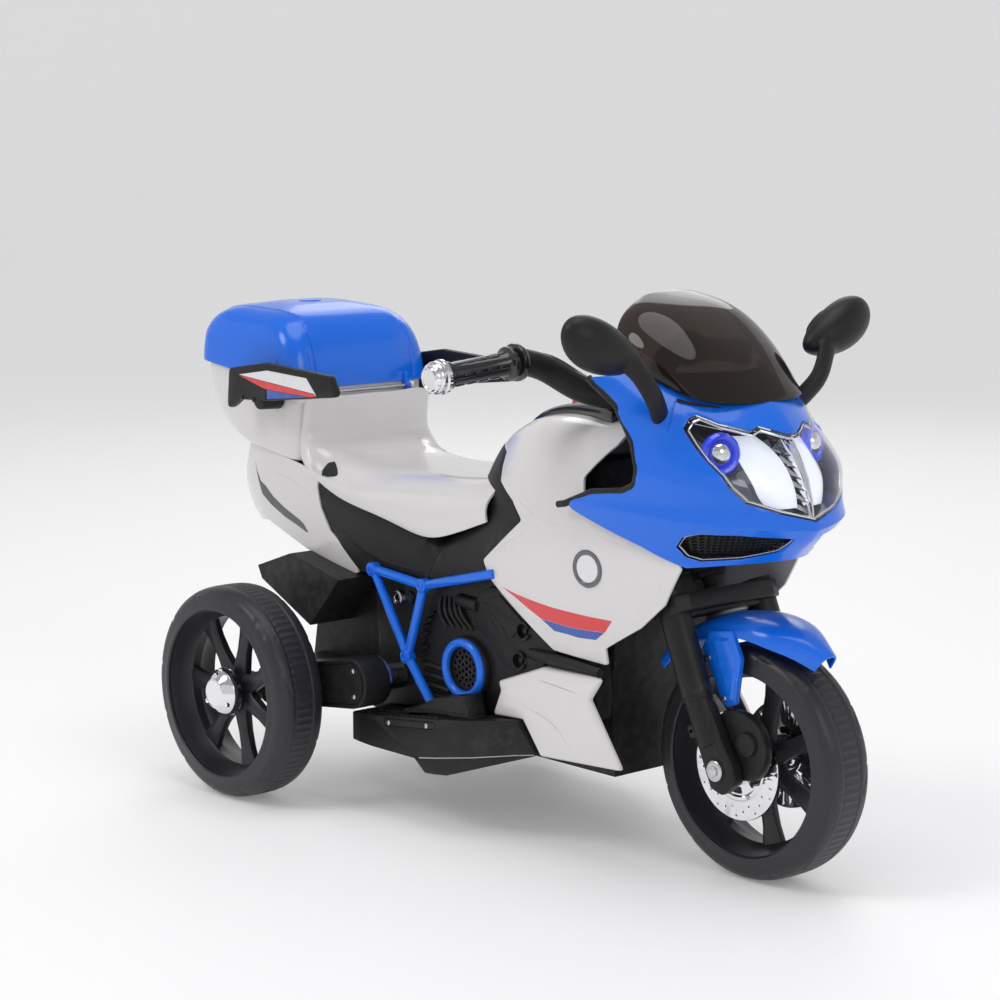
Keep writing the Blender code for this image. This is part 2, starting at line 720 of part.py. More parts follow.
# Body skin: half sections of the tank and flanks, front axle as datum
def body_rows(side=-1):
    """Rows along the machine; each runs from the centre line over the shoulder to the lower edge."""
    deck = [(-0.700, (0.000, 0.290), (0.050, 0.294), (0.088, 0.297), (0.101, 0.296), (0.1185, 0.235),
             (0.1175, 0.185), (0.112, 0.145)),
            (-0.630, (0.000, 0.250), (0.050, 0.256), (0.090, 0.263), (0.111, 0.262), (0.1185, 0.220),
             (0.1175, 0.180), (0.112, 0.140)),
            (-0.545, (0.000, 0.230), (0.050, 0.235), (0.088, 0.240), (0.110, 0.238), (0.1175, 0.205),
             (0.1165, 0.175), (0.111, 0.135)),
            (-0.475, (0.000, 0.222), (0.045, 0.225), (0.082, 0.228), (0.107, 0.225), (0.1165, 0.196),
             (0.1160, 0.170), (0.110, 0.130))]
    tank = [(-0.447, (0.000, 0.300), (0.014, 0.292), (0.032, 0.262), (0.072, 0.232), (0.106, 0.212),
             (0.1150, 0.168), (0.109, 0.125)),
            (-0.430, (0.000, 0.326), (0.028, 0.316), (0.050, 0.286), (0.080, 0.250), (0.108, 0.218),
             (0.1150, 0.168), (0.109, 0.120)),
            (-0.405, (0.000, 0.353), (0.040, 0.341), (0.066, 0.308), (0.090, 0.268), (0.111, 0.225),
             (0.1165, 0.168), (0.109, 0.110)),
            (-0.366, (0.000, 0.374), (0.050, 0.362), (0.080, 0.330), (0.103, 0.285), (0.117, 0.230),
             (0.1200, 0.168), (0.110, 0.100)),
            (-0.311, (0.000, 0.385), (0.060, 0.373), (0.093, 0.340), (0.114, 0.295), (0.1245, 0.235),
             (0.1240, 0.168), (0.110, 0.095)),
            (-0.241, (0.000, 0.388), (0.066, 0.376), (0.100, 0.342), (0.120, 0.297), (0.1290, 0.235),
             (0.1260, 0.168), (0.110, 0.090)),
            (-0.161, (0.000, 0.385), (0.066, 0.372), (0.101, 0.338), (0.120, 0.294), (0.1265, 0.235),
             (0.1190, 0.165), (0.103, 0.088)),
            (-0.081, (0.000, 0.370), (0.064, 0.356), (0.097, 0.324), (0.112, 0.284), (0.1150, 0.232),
             (0.1050, 0.165), (0.093, 0.095)),
            (-0.020, (0.000, 0.350), (0.056, 0.338), (0.086, 0.310), (0.099, 0.275), (0.1010, 0.230),
             (0.0930, 0.175), (0.084, 0.120))]
    rows = []
    for dx, *section in deck + tank:
        rows.append([front(dx, side * max(y, GAP / 2), dz) for y, dz in section])
    return rows


SKIN_Y = 0.17
WHITE_LINE = [(-0.480, 0.450), (-0.458, 0.316), (-0.392, 0.301), (-0.311, 0.257), (-0.366, 0.203),
              (-0.345, 0.186), (-0.236, 0.110), (-0.152, 0.103), (-0.152, 0.124), (-0.097, 0.156),
              (-0.060, 0.188), (-0.034, 0.234), (-0.050, 0.262), (-0.180, 0.300), (-0.190, 0.325),
              (-0.165, 0.363), (-0.170, 0.450)]
BLACK_LINE = [(-0.480, 0.450), (-0.458, 0.316), (-0.392, 0.301), (-0.311, 0.257), (-0.366, 0.203),
              (-0.349, 0.186), (-0.480, 0.153), (-0.579, 0.162), (-0.606, 0.156), (-0.644, 0.188),
              (-0.692, 0.243), (-0.6885, 0.275), (-0.695, 0.330), (-0.560, 0.330)]


def inset(outline, margin):
    """Move a closed outline inwards by a margin, mitring its corners."""
    area = sum(a[0] * b[1] - b[0] * a[1] for a, b in zip(outline, outline[1:] + outline[:1]))
    turn = 1.0 if area > 0 else -1.0
    moved = []
    for before, here, after in zip(outline[-1:] + outline[:-1], outline, outline[1:] + outline[:1]):
        first = Vector((here[0] - before[0], here[1] - before[1])).normalized()
        second = Vector((after[0] - here[0], after[1] - here[1])).normalized()
        normal_one = Vector((-first.y, first.x)) * turn
        normal_two = Vector((-second.y, second.x)) * turn
        middle = (normal_one + normal_two).normalized()
        reach = margin / max(0.35, middle.dot(normal_one))
        moved.append((here[0] + middle.x * reach, here[1] + middle.y * reach))
    return moved


def skin_panel(name, rows, outline, look, thickness=SKIN):
    """A panel cut out of a skin by its side-view outline."""
    made = grid_surface(name, rows, look, thickness=thickness)
    side = -1 if rows[0][1].y < 0 else 1
    low, high = sorted((side * GAP / 2, side * SKIN_Y))
    blank = plate("blank", inset(outline, GAP / 2), low, high)
    combine(made, blank, "INTERSECT")
    return smooth(largest(made))


body_right = skin_panel("body_side_right", body_rows(), front_line(WHITE_LINE), WHITE)
panel_right = skin_panel("side_panel_right", body_rows(), front_line(BLACK_LINE), BLACK)
body_left = mirrored(body_right, "body_side_left")
panel_left = mirrored(panel_right, "side_panel_left")


# Seat
def seat():
    """The saddle and backrest in one shell, open underneath."""
    rows = []
    saddle = ((0.360, 0.306, 0.253), (0.300, 0.301, 0.232), (0.250, 0.297, 0.221), (0.190, 0.294, 0.229),
              (0.130, 0.296, 0.240), (0.076, 0.303, 0.253), (0.040, 0.316, 0.275))
    for dx, top, edge in saddle:
        rows.append([rear(dx, 0.0, top), rear(dx, -0.050, top - 0.001), rear(dx, -0.090, top - 0.006),
                     rear(dx, -0.114, top - 0.022), rear(dx, -0.1215, (top + edge) / 2 - 0.006),
                     rear(dx, -0.1205, edge)])
    back = ((0.014, 0.334, 0.106, 0.292), (-0.004, 0.352, 0.091, 0.322), (-0.012, 0.373, 0.088, 0.373))
    for dx, height, half, low in back:
        rows.append([rear(dx, 0.0, height), rear(dx, -0.045, height), rear(dx - 0.002, -half + 0.012, height),
                     rear(dx - 0.008, -half, height - 0.003), rear(dx - 0.012, -half - 0.001, (height + low) / 2),
                     rear(dx - 0.016, -half - 0.001, low)])
    return grid_surface("seat", rows, WHITE, mirror=True)


saddle = seat()


# Storage box and lid
def box_rings(inner=0.0):
    """Levels of the box from its floor up: height, rear end, half width, corner."""
    levels = ((0.297, -0.130, 0.090, 0.024), (0.303, -0.152, 0.099, 0.030), (0.320, -0.187, 0.108, 0.034),
              (0.345, -0.218, 0.114, 0.036), (0.378, -0.238, 0.118, BOX_CORNER), (0.430, -0.247, BOX_HALF, BOX_CORNER))
    rings = []
    for height, back, half, corner in levels:
        lift = inner if height < 0.30 else 0.0
        ring = ring_outline(REAR_AXLE_X - 0.030 - inner, REAR_AXLE_X + back + inner, half - inner,
                            corner - inner)
        rings.append([Vector((x, y, AXLE_Z + height + lift)) for x, y in ring])
    return rings


JOINT_FRONT = 0.386
JOINT_REAR = 0.415


def joint_height(dx):
    """Height of the lid's joint over the axle, at a place behind the box's front."""
    share = (dx + 0.030) / (-0.253 + 0.030)
    return JOINT_FRONT + (JOINT_REAR - JOINT_FRONT) * share


def storage_box():
    made = loft("storage_box", box_rings(), WHITE)
    cut(made, loft("hollow", box_rings(BOX_WALL)))
    top = [(0.05, joint_height(0.05)), (-0.30, joint_height(-0.30)), (-0.30, 0.5), (0.05, 0.5)]
    cut(made, plate("top", rear_line(top), -0.2, 0.2))
    return smooth(made)


case = storage_box()


def lid_rings(inner=0.0):
    """Levels of the lid from its lip up: lift, front, rear, half width, corner."""
    levels = ((0.000, -0.0245, -0.2525, 0.1245, 0.042), (0.009, -0.0245, -0.2525, 0.1245, 0.042),
              (0.0095, -0.0270, -0.2500, 0.1220, 0.040), (0.040, -0.0350, -0.2470, 0.1195, 0.040),
              (0.066, -0.0520, -0.2350, 0.1100, 0.036), (0.084, -0.0740, -0.2120, 0.0880, 0.034),
              (0.090, -0.1050, -0.1750, 0.0520, 0.030))
    rings = []
    for place, (lift, ahead, back, half, corner) in enumerate(levels):
        ring = ring_outline(REAR_AXLE_X + ahead - inner, REAR_AXLE_X + back + inner, half - inner, corner - inner)
        flatten = lift / 0.090
        drop = inner if place == len(levels) - 1 else 0.0
        points = []
        for x, y in ring:
            slope = joint_height(x - REAR_AXLE_X)
            level = JOINT_FRONT + (JOINT_REAR - JOINT_FRONT) * 0.5
            base = slope * (1 - 0.75 * flatten) + level * 0.75 * flatten
            points.append(Vector((x, y, AXLE_Z + base + lift + GAP - drop)))
        rings.append(points)
    if inner:
        rings[0] = [Vector((p.x, p.y, p.z - 0.01)) for p in rings[0]]
    return rings


def box_lid():
    made = loft("box_lid", lid_rings(), BLUE)
    return smooth(cut(made, loft("hollow", lid_rings(BOX_WALL))))


lid = box_lid()


# Tail cowl
def tail_rows(side=-1):
    """Levels of the tail from the box's seam down; each runs from the flank round to the rear."""
    plan = ((0.125, 0.1175), (0.061, 0.121), (-0.019, 0.119), (-0.099, 0.111), (-0.164, 0.096),
            (-0.198, 0.070), (-0.211, 0.036), (-0.214, 0.0))
    levels = ((0.330, 0.020, 0.95), (0.290, 0.006, 0.985), (0.252, 0.000, 1.0), (0.215, 0.016, 0.99),
              (0.185, 0.050, 0.96), (0.145, 0.085, 0.92))
    rows = []
    for height, pull, width in levels:
        row = []
        for dx, y in plan:
            back_share = max(0.0, -dx / 0.214)
            row.append(rear(dx + pull * back_share, side * max(y * width, GAP / 2), height))
        rows.append(row)
    return rows


TAIL_LINE = [(-0.260, 0.330), (-0.150, 0.302), (-0.030, 0.284), (0.024, 0.275), (0.0205, 0.243), (0.0685, 0.188),
             (0.1065, 0.156), (0.043, 0.166), (-0.030, 0.184), (-0.107, 0.206), (-0.160, 0.196), (-0.260, 0.200)]
tail_right = skin_panel("tail_panel_right", list(reversed(tail_rows())), rear_line(TAIL_LINE), WHITE)
tail_left = mirrored(tail_right, "tail_panel_left")


# Nose fairing
def nose_rows(offset=0.0):
    """Levels of the nose from the lower lip up; each runs from the centre back along the flank."""
    levels = ((0.232, (0.034, 0.0), (0.022, 0.035), (0.000, 0.068), (-0.030, 0.098), (-0.075, 0.117), (-0.130, 0.125),
               (-0.210, 0.127)),
              (0.255, (0.050, 0.0), (0.040, 0.037), (0.014, 0.075), (-0.018, 0.105), (-0.070, 0.124), (-0.130, 0.132),
               (-0.210, 0.134)),
              (0.285, (0.072, 0.0), (0.062, 0.040), (0.038, 0.080), (0.004, 0.110), (-0.060, 0.131), (-0.125, 0.138),
               (-0.210, 0.139)),
              (0.305, (0.081, 0.0), (0.072, 0.042), (0.051, 0.083), (0.017, 0.114), (-0.050, 0.135), (-0.120, 0.142),
               (-0.210, 0.142)),
              (0.340, (0.069, 0.0), (0.061, 0.042), (0.042, 0.083), (0.010, 0.115), (-0.045, 0.137), (-0.100, 0.146),
               (-0.170, 0.148)),
              (0.380, (0.046, 0.0), (0.036, 0.042), (0.014, 0.081), (-0.018, 0.111), (-0.062, 0.134), (-0.105, 0.147),
               (-0.150, 0.150)),
              (0.410, (0.020, 0.0), (0.008, 0.042), (-0.016, 0.080), (-0.044, 0.112), (-0.080, 0.135), (-0.112, 0.147),
               (-0.150, 0.152)),
              (0.435, (-0.012, 0.0), (-0.022, 0.040), (-0.044, 0.075), (-0.072, 0.106), (-0.101, 0.131),
               (-0.130, 0.146), (-0.150, 0.153)),
              (0.465, (-0.052, 0.0), (-0.062, 0.036), (-0.086, 0.068), (-0.112, 0.097), (-0.130, 0.124),
               (-0.145, 0.145), (-0.155, 0.155)))
    rows = []
    for height, *plan in levels:
        rows.append([front(dx + offset, -y, height) for dx, y in plan])
    return rows


NOSE_LINE = [(0.100, 0.246), (0.060, 0.246), (-0.030, 0.236), (-0.080, 0.259), (-0.1925, 0.296), (-0.1375, 0.317),
             (-0.0795, 0.323), (-0.0605, 0.351), (-0.0645, 0.385), (-0.1025, 0.433), (-0.1345, 0.450),
             (-0.100, 0.455), (0.100, 0.455)]
nose = grid_surface("nose_fairing", nose_rows(), BLUE, mirror=True)
combine(nose, plate("blank", front_line(NOSE_LINE), -0.2, 0.2), "INTERSECT")
smooth(largest(nose))


# Windscreen
def windscreen():
    """A smoked bubble, bowed in plan and swept back."""
    centre = ((0.0045, 0.423), (-0.026, 0.462), (-0.066, 0.499), (-0.110, 0.528), (-0.1565, 0.543))
    edge = ((-0.050, 0.092, 0.434), (-0.104, 0.106, 0.458), (-0.140, 0.106, 0.492), (-0.152, 0.086, 0.517),
            (-0.160, 0.045, 0.537))
    rows = []
    for (dx, dz), (ex, ey, ez) in zip(centre, edge):
        row = []
        for step in range(5):
            share = step / 4
            bow = share ** 2.2
            row.append(front(dx + (ex - dx) * bow, -ey * math.sin(share * math.pi / 2), dz + (ez - dz) * bow))
        rows.append(row)
    return smooth(grid_surface("windscreen", rows, SMOKE, mirror=True, thickness=0.0025))


screen = windscreen()


# Mirrors
def mirror_part(name, side):
    """A teardrop head on a swept stem."""
    work = bmesh.new()
    bmesh.ops.create_uvsphere(work, u_segments=12, v_segments=7, radius=1.0)
    bmesh.ops.scale(work, vec=(0.028, 0.0575, 0.031), verts=work.verts)
    for vert in work.verts:
        vert.co.x = max(vert.co.x, -0.006)
        vert.co.z += 0.25 * abs(vert.co.y) * (1 if vert.co.z > 0 else -0.3) * (vert.co.y * side > 0)
    turn = Matrix.Rotation(math.radians(side * 14), 4, "X")
    work.transform(Matrix.Translation(front(-0.072, side * 0.200, 0.492)) @ turn)
    head = from_bmesh(name, work, GLOSS_BLACK)
    stem = tube("stem", [front(-0.056, side * 0.110, 0.396), front(-0.050, side * 0.129, 0.414),
                         front(-0.048, side * 0.146, 0.442), front(-0.055, side * 0.168, 0.472),
                         front(-0.068, side * 0.192, 0.490)], 0.010, None, 2)
    return smooth(join(head, stem), 45)


mirror_left = mirror_part("mirror_left", 1)
mirror_right = mirror_part("mirror_right", -1)
for glass in (mirror_left, mirror_right):
    smooth(largest(carve(glass, nose)))


# Headlight
def front_plate(name, outline, x_low, x_high, look=None):
    """An outline in front view (y, z), extruded from x_low to x_high."""
    made = plate(name, outline, -x_high, -x_low, look)
    made.data.transform(Matrix.Rotation(math.pi / 2, 4, "Z"))
    return made


LENS_HALF = [(0.0, 0.389), (-0.008, 0.389), (-0.037, 0.399), (-0.050, 0.394), (-0.074, 0.402), (-0.089, 0.412),
             (-0.099, 0.408), (-0.108, 0.398), (-0.107, 0.364), (-0.096, 0.333), (-0.082, 0.317), (-0.047, 0.304),
             (0.0, 0.292)]
LENS_BACK = -0.055
BUCKET_WALL = 0.002


def lens_outline():
    near = LENS_HALF[1:-1]
    far = [(-y, dz) for y, dz in reversed(near)]
    ring = [LENS_HALF[0]] + near + [LENS_HALF[-1]] + far
    return [(y, AXLE_Z + dz) for y, dz in ring]


def behind(dx):
    return FRONT_AXLE_X + dx


lens = grid_surface("headlight_lens", nose_rows(), CLEAR, mirror=True, thickness=0.0022)
combine(lens, front_plate("blank", inset(lens_outline(), GAP / 2), behind(-0.08), behind(0.12)), "INTERSECT")
smooth(largest(lens))
cut(nose, front_plate("opening", inset(lens_outline(), -GAP / 2), behind(-0.08), behind(0.12)))
bucket = front_plate("headlight_reflector", inset(lens_outline(), 0.0012), behind(LENS_BACK), behind(0.12), CHROME)
cut(bucket, front_plate("inside", inset(lens_outline(), 0.0012 + BUCKET_WALL), behind(LENS_BACK + BUCKET_WALL),
                        behind(0.13)))
for side in (1, -1):
    lamp_at = front(LENS_BACK + BUCKET_WALL / 2, side * 0.078, 0.362)
    join(bucket, rod("lamp", lamp_at, lamp_at + Vector((0.042, side * 0.004, 0.0)), 0.017, None, 16),
         rod("bulb", lamp_at + Vector((0.040, side * 0.004, 0)), lamp_at + Vector((0.054, side * 0.004, 0)), 0.014,
             None, 16, 0.006))
carve(bucket, lens, margin=0.0008)


def rear_part(target):
    """Keep the piece of a cut body that lies furthest back."""
    work = bmesh.new()
    work.from_mesh(target.data)
    start = min(work.verts, key=lambda v: v.co.x)
    group = {start}
    stack = [start]
    while stack:
        for edge in stack.pop().link_edges:
            for vert in edge.verts:
                if vert not in group:
                    group.add(vert)
                    stack.append(vert)
    bmesh.ops.delete(work, geom=[v for v in work.verts if v not in group], context="VERTS")
    work.to_mesh(target.data)
    work.free()
    return target


smooth(rear_part(bucket))


# Intake grilles under the lens
GRILLE = [(-0.117, 0.276), (-0.096, 0.281), (-0.060, 0.278), (-0.014, 0.273), (-0.036, 0.254), (-0.073, 0.249),
          (-0.101, 0.246), (-0.114, 0.262)]
grille_outline = [(y, AXLE_Z + dz) for y, dz in GRILLE]
grille_right = grid_surface("intake_grille_right", nose_rows(-0.009), BLACK, mirror=True, thickness=0.0018)
combine(grille_right, front_plate("blank", inset(grille_outline, -0.0025), behind(-0.08), behind(0.12)), "INTERSECT")
largest(grille_right)
grille_left = mirrored(grille_right, "intake_grille_left")
for side in (1, -1):
    mouth = [(-side * y, z) for y, z in grille_outline]
    cut(nose, front_plate("mouth", mouth, behind(-0.06), behind(0.12)))
largest(nose)
for grille in (grille_left, grille_right):
    largest(carve(grille, nose))
    smooth(grille)

# Cover the seams between the nose and the flanks
for flank in (body_right, body_left):
    largest(carve(flank, nose))
    smooth(flank)
flanks = loft("flanks", [right + [Vector((p.x, -p.y, p.z)) for p in reversed(right)] for right in body_rows()])
carve(saddle, flanks, margin=0.0008)
bpy.data.objects.remove(flanks, do_unlink=True)
smooth(largest(saddle))
largest(carve(nose, screen))
smooth(nose)


# Dashboard and its switches: place, half width and top of each section
DASH_ROWS = ((-0.402, 0.005, 0.360), (-0.385, 0.010, 0.372), (-0.350, 0.016, 0.388), (-0.300, 0.024, 0.398),
             (-0.260, 0.034, 0.4025), (-0.225, 0.044, 0.403), (-0.208, 0.047, 0.402))
DASH_DEPTH = 0.022


def dashboard():
    """A gloss tongue over the tank, with its end short of the handlebar clamp."""
    rings = []
    for dx, half, top in DASH_ROWS:
        edge = [(half, -DASH_DEPTH), (half * 0.95, -0.005), (half * 0.5, 0.0)]
        edge += [(-y, dz) for y, dz in reversed(edge)]
        rings.append([front(dx, y, top + dz) for y, dz in edge])
    return loft("dashboard", rings, GLOSS_BLACK)


def dash_top(dx):
    for (low, _, first), (high, _, second) in zip(DASH_ROWS, DASH_ROWS[1:]):
        if low <= dx <= high:
            return first + (second - first) * (dx - low) / (high - low)
    return DASH_ROWS[-1][2]


dash = dashboard()
for flank in (body_left, body_right):
    largest(carve(flank, dash))
    smooth(flank)

POWER_AT = (-0.312, 0.0)
DIRECTION_AT = (-0.272, -0.014)
HORN_AT = (-0.272, 0.014)
ROCKER_HALF_LENGTH = 0.0085
ROCKER_HALF_WIDTH = 0.0060
ROCKER_PROUD = 0.0035
ROCKER_DEPTH = 0.0070
HORN_RADIUS = 0.0060


def on_dash(place, lift=0.0):
    """A point over the middle of the dashboard's top, at a switch's place."""
    dx, dy = place
    return front(dx, dy, dash_top(dx) + lift)


def rocker(name, place, look):
    """A rocker switch, with the pocket that it sits in cut from the dashboard."""
    made = box(name, on_dash(place, -ROCKER_DEPTH) - Vector((ROCKER_HALF_LENGTH, ROCKER_HALF_WIDTH, 0)),
               on_dash(place, ROCKER_PROUD) + Vector((ROCKER_HALF_LENGTH, ROCKER_HALF_WIDTH, 0)), look, 0.001)
    room = Vector((ROCKER_HALF_LENGTH + 0.0015, ROCKER_HALF_WIDTH + 0.0008, 0))
    cut(dash, box("pocket", on_dash(place, -ROCKER_DEPTH - 0.005) - room, on_dash(place, 0.02) + room))
    return made


power = rocker("power_switch", POWER_AT, RED)
direction = rocker("direction_switch", DIRECTION_AT, BLACK)
horn = rod("horn_button", on_dash(HORN_AT, -0.005), on_dash(HORN_AT, SWITCH_TRAVEL + 0.0025), HORN_RADIUS, YELLOW, 16)
cut(dash, rod("pocket", on_dash(HORN_AT, -0.005 - 2 * SWITCH_TRAVEL), on_dash(HORN_AT, 0.02), HORN_RADIUS + 0.0008,
              None, 16))
smooth(largest(dash))
smooth(horn)
for flank in (body_left, body_right):
    largest(carve(flank, column, margin=0.002))
    smooth(flank)

# Chassis: one hollow moulding with the axle beam, the wheel gussets and the steering head
HULL_REAR = [(-0.036, 0.060), (0.000, 0.160), (-0.150, 0.232), (-0.150, 0.290), (-0.010, 0.290), (0.008, 0.250)]
HULL_FRONT = [(-0.630, 0.230), (-0.545, 0.209), (-0.475, 0.207), (-0.4425, 0.215), (-0.4125, 0.245), (-0.380, 0.295),
              (-0.340, 0.322), (-0.190, 0.340), (-0.166, 0.300), (-0.1625, 0.190), (-0.1725, 0.060),
              (-0.1665, -0.040)]
HULL_BELOW = [(0.150, -0.040), (0.070, -0.030), (-0.050, -0.022)]
GUSSET = [(-0.072, 0.147), (0.000, 0.172), (0.104, 0.150), (0.042, 0.081), (-0.063, 0.130)]
GUSSET_HALF = 0.150
BEAM_LEFT = 0.190
BEAM_RIGHT = 0.1450

hull_line = rear_line(HULL_REAR) + front_line(HULL_FRONT) + rear_line(HULL_BELOW)
chassis = plate("chassis", hull_line, -CHASSIS_HALF, CHASSIS_HALF, BLACK)
join(chassis, plate("gusset", rear_line(GUSSET), -GUSSET_HALF, GUSSET_HALF),
     box("beam", rear(-0.024, -BEAM_RIGHT, -0.020), rear(0.024, BEAM_LEFT, 0.026)))
inside = CHASSIS_HALF - CHASSIS_WALL
cut(chassis, plate("hollow", inset(hull_line, CHASSIS_WALL), -inside, inside),
    plate("gusset_hollow", inset(rear_line(GUSSET), CHASSIS_WALL), -GUSSET_HALF + CHASSIS_WALL,
          GUSSET_HALF - CHASSIS_WALL),
    box("battery_hatch", rear(0.030, -0.055, 0.150), rear(0.200, 0.055, 0.300)),
    rod("axle_bore", rear(0, -0.25, 0), rear(0, 0.25, 0), AXLE_RADIUS + RUNNING_CLEARANCE, None, 16))
web = front_line([(-0.210, 0.300), (-0.210, 0.210), (-0.160, 0.195)])
for along in (HEAD_BOTTOM + 0.008, HEAD_TOP - 0.008):
    on_axis = steer(along)
    web.append((on_axis.x, on_axis.z))
join(chassis, plate("web", web, -0.012, 0.012),
     rod("head_tube", steer(HEAD_BOTTOM + 0.0025), steer(HEAD_TOP), HEAD_RADIUS, None, 24))
cut(chassis, rod("head_bore", steer(HEAD_BOTTOM - 0.01), steer(HEAD_TOP + 0.02), HEAD_RADIUS - 0.006 + GAP, None, 20))
smooth(largest(chassis))

# Battery under the seat, with its two terminals
battery = box("battery", rear(0.157, -0.0325, -0.036 + GAP), rear(0.308, 0.0325, 0.0580), CELL, 0.002)
for side in (1, -1):
    join(battery, box("terminal", rear(0.165, side * 0.022 - 0.003, 0.0570), rear(0.172, side * 0.022 + 0.003, 0.0635)))

# Drive: gearbox on the right of the axle, and the motor behind its inner plate
MOTOR_AT = (0.175, 0.030)
GEARBOX_RADIUS = 0.033
GEARBOX_TAIL = 0.026
GEARBOX_OUT = 0.190
PLATE_IN = 0.1455
PLATE_OUT = 0.1485


def gearbox_outline(margin=0.0):
    """A round case over the motor, narrowing to the axle."""
    points = []
    for (cx, cz), radius, start in (((0.0, 0.0), GEARBOX_TAIL, 100), (MOTOR_AT, GEARBOX_RADIUS, -80)):
        for step in range(7):
            angle = math.radians(start + 27.0 * step)
            points.append((cx + (radius - margin) * math.cos(angle), cz + (radius - margin) * math.sin(angle)))
    return rear_line(points)


def axle_hole():
    return rod("axle_hole", rear(0, -0.25, 0), rear(0, -0.10, 0), AXLE_RADIUS + RUNNING_CLEARANCE, None, 16)


gearbox = plate("gearbox_housing", gearbox_outline(), -GEARBOX_OUT, -PLATE_OUT - GAP, BLACK, 0.003)
cut(gearbox, plate("hollow", gearbox_outline(0.003), -GEARBOX_OUT + 0.003, -PLATE_OUT + 0.01), axle_hole())
smooth(gearbox)
motor = plate("drive_motor", gearbox_outline(0.001), -PLATE_OUT, -PLATE_IN, STEEL)
motor_x, motor_z = MOTOR_AT
join(motor, rod("can", rear(motor_x, -PLATE_IN - 0.001, motor_z), rear(motor_x, -ENGINE_FACE - 0.003, motor_z),
                0.0175, None, 24),
     rod("shaft", rear(motor_x, -PLATE_OUT + 0.001, motor_z), rear(motor_x, -PLATE_OUT - 0.018, motor_z), 0.0025,
         None, 12))
smooth(cut(motor, axle_hole()))

# Footboard: a tray on both sides, joined under the chassis
BOARD_SIDE = [(0.135, -0.018), (0.135, -0.050), (0.190, -0.053), (0.275, -0.053), (0.295, -0.068), (0.333, -0.065),
              (0.457, -0.023), (0.426, 0.017)]
BOARD_HOLLOW = [(0.139, -0.0225), (0.139, -0.100), (0.452, -0.100), (0.452, -0.024), (0.4235, 0.0125)]
BOARD_HALF_PLAN = [(0.135, 0.150), (0.148, 0.164), (0.165, FOOTBOARD_HALF), (0.270, FOOTBOARD_HALF), (0.372, 0.155),
                   (0.425, 0.132), (0.457, 0.125)]
BOARD_WALL = 0.004
plan = [(REAR_AXLE_X + dx, y) for dx, y in BOARD_HALF_PLAN]
plan += [(x, -y) for x, y in reversed(plan)]
board = plate("footboard", rear_line(BOARD_SIDE), -0.2, 0.2, BLACK)
combine(board, flat_plate("plan", plan, 0.0, 0.3), "INTERSECT")
hollow = plate("hollow", rear_line(BOARD_HOLLOW), -0.2, 0.2)
combine(hollow, flat_plate("plan", inset(plan, BOARD_WALL), -0.1, 0.3), "INTERSECT")
cut(board, hollow)
join(board, box("strap", rear(0.185, -0.100, -0.053), rear(0.275, 0.100, -0.0405)))
carve(board, chassis)

# Accelerator pedal on the right board
PEDAL_SIDE = [(0.235, -0.004), (0.294, 0.025), (0.352, 0.038), (0.361, 0.010), (0.294, 0.006)]
PEDAL_HINGE = (0.240, -0.002)
PEDAL_OUT = 0.1500
PEDAL_IN = 0.1205
pedal = plate("accelerator_pedal", rear_line(PEDAL_SIDE), -PEDAL_OUT, -PEDAL_IN, BLACK, 0.001)
join(pedal, rod("knuckle", rear(PEDAL_HINGE[0], -PEDAL_OUT, PEDAL_HINGE[1]),
                rear(PEDAL_HINGE[0], -PEDAL_IN, PEDAL_HINGE[1]), 0.0050, None, 16))
cut(board, box("pedal_well", rear(0.262, -PEDAL_OUT - 0.002, -0.030), rear(0.368, -PEDAL_IN + 0.002, 0.050)),
    rod("seat", rear(PEDAL_HINGE[0], -PEDAL_OUT - 0.001, PEDAL_HINGE[1]),
        rear(PEDAL_HINGE[0], -PEDAL_IN + 0.001, PEDAL_HINGE[1]), 0.0057, None, 16))
largest(board)


# Engine covers, each a tray on the chassis side
COVER_LINE = [(-0.592, 0.182), (-0.480, 0.176), (-0.365, 0.196), (-0.255, 0.150), (-0.190, 0.122), (-0.172, 0.108),
              (-0.172, 0.032), (-0.2865, 0.019), (-0.5770, -0.0160)]
SPEAKER_AT = (0.309, 0.062)


def engine_cover(name, side):
    """The black moulding with cooling fins and the round speaker housing."""
    made = plate(name, front_line(COVER_LINE), *sorted((side * (CHASSIS_HALF + GAP), side * ENGINE_FACE)), BLACK)
    cut(made, plate("hollow", inset(front_line(COVER_LINE), 0.003),
                    *sorted((side * (CHASSIS_HALF - 0.01), side * (ENGINE_FACE - 0.003)))))
    x, z = SPEAKER_AT
    join(made, rod("speaker", rear(x, side * (ENGINE_FACE - 0.001), z), rear(x, side * 0.112, z), 0.0400, None, 24))
    cut(made, rod("grille_recess", rear(x, side * 0.1085, z), rear(x, side * 0.13, z), 0.0270, None, 20))
    for fin in range(5):
        low = rear(0.262 + 0.008 * fin, side * (ENGINE_FACE - 0.001), 0.112)
        high = rear(0.2655 + 0.008 * fin, side * 0.112, 0.146 - 0.002 * fin)
        join(made, box("fin", [min(a, b) for a, b in zip(low, high)], [max(a, b) for a, b in zip(low, high)]))
    return smooth(made)


cover_engine_left = engine_cover("engine_cover_left", 1)
cover_engine_right = engine_cover("engine_cover_right", -1)
speaker_x, speaker_z = SPEAKER_AT
ring = turned("speaker_ring", rear(speaker_x, 0.0, speaker_z),
              [(0.0390, -0.1125), (0.0390, -0.1150), (0.0370, -0.1180), (0.0320, -0.1190), (0.0285, -0.1170),
               (0.0280, -0.1125)], BLUE, 24)
smooth(ring)

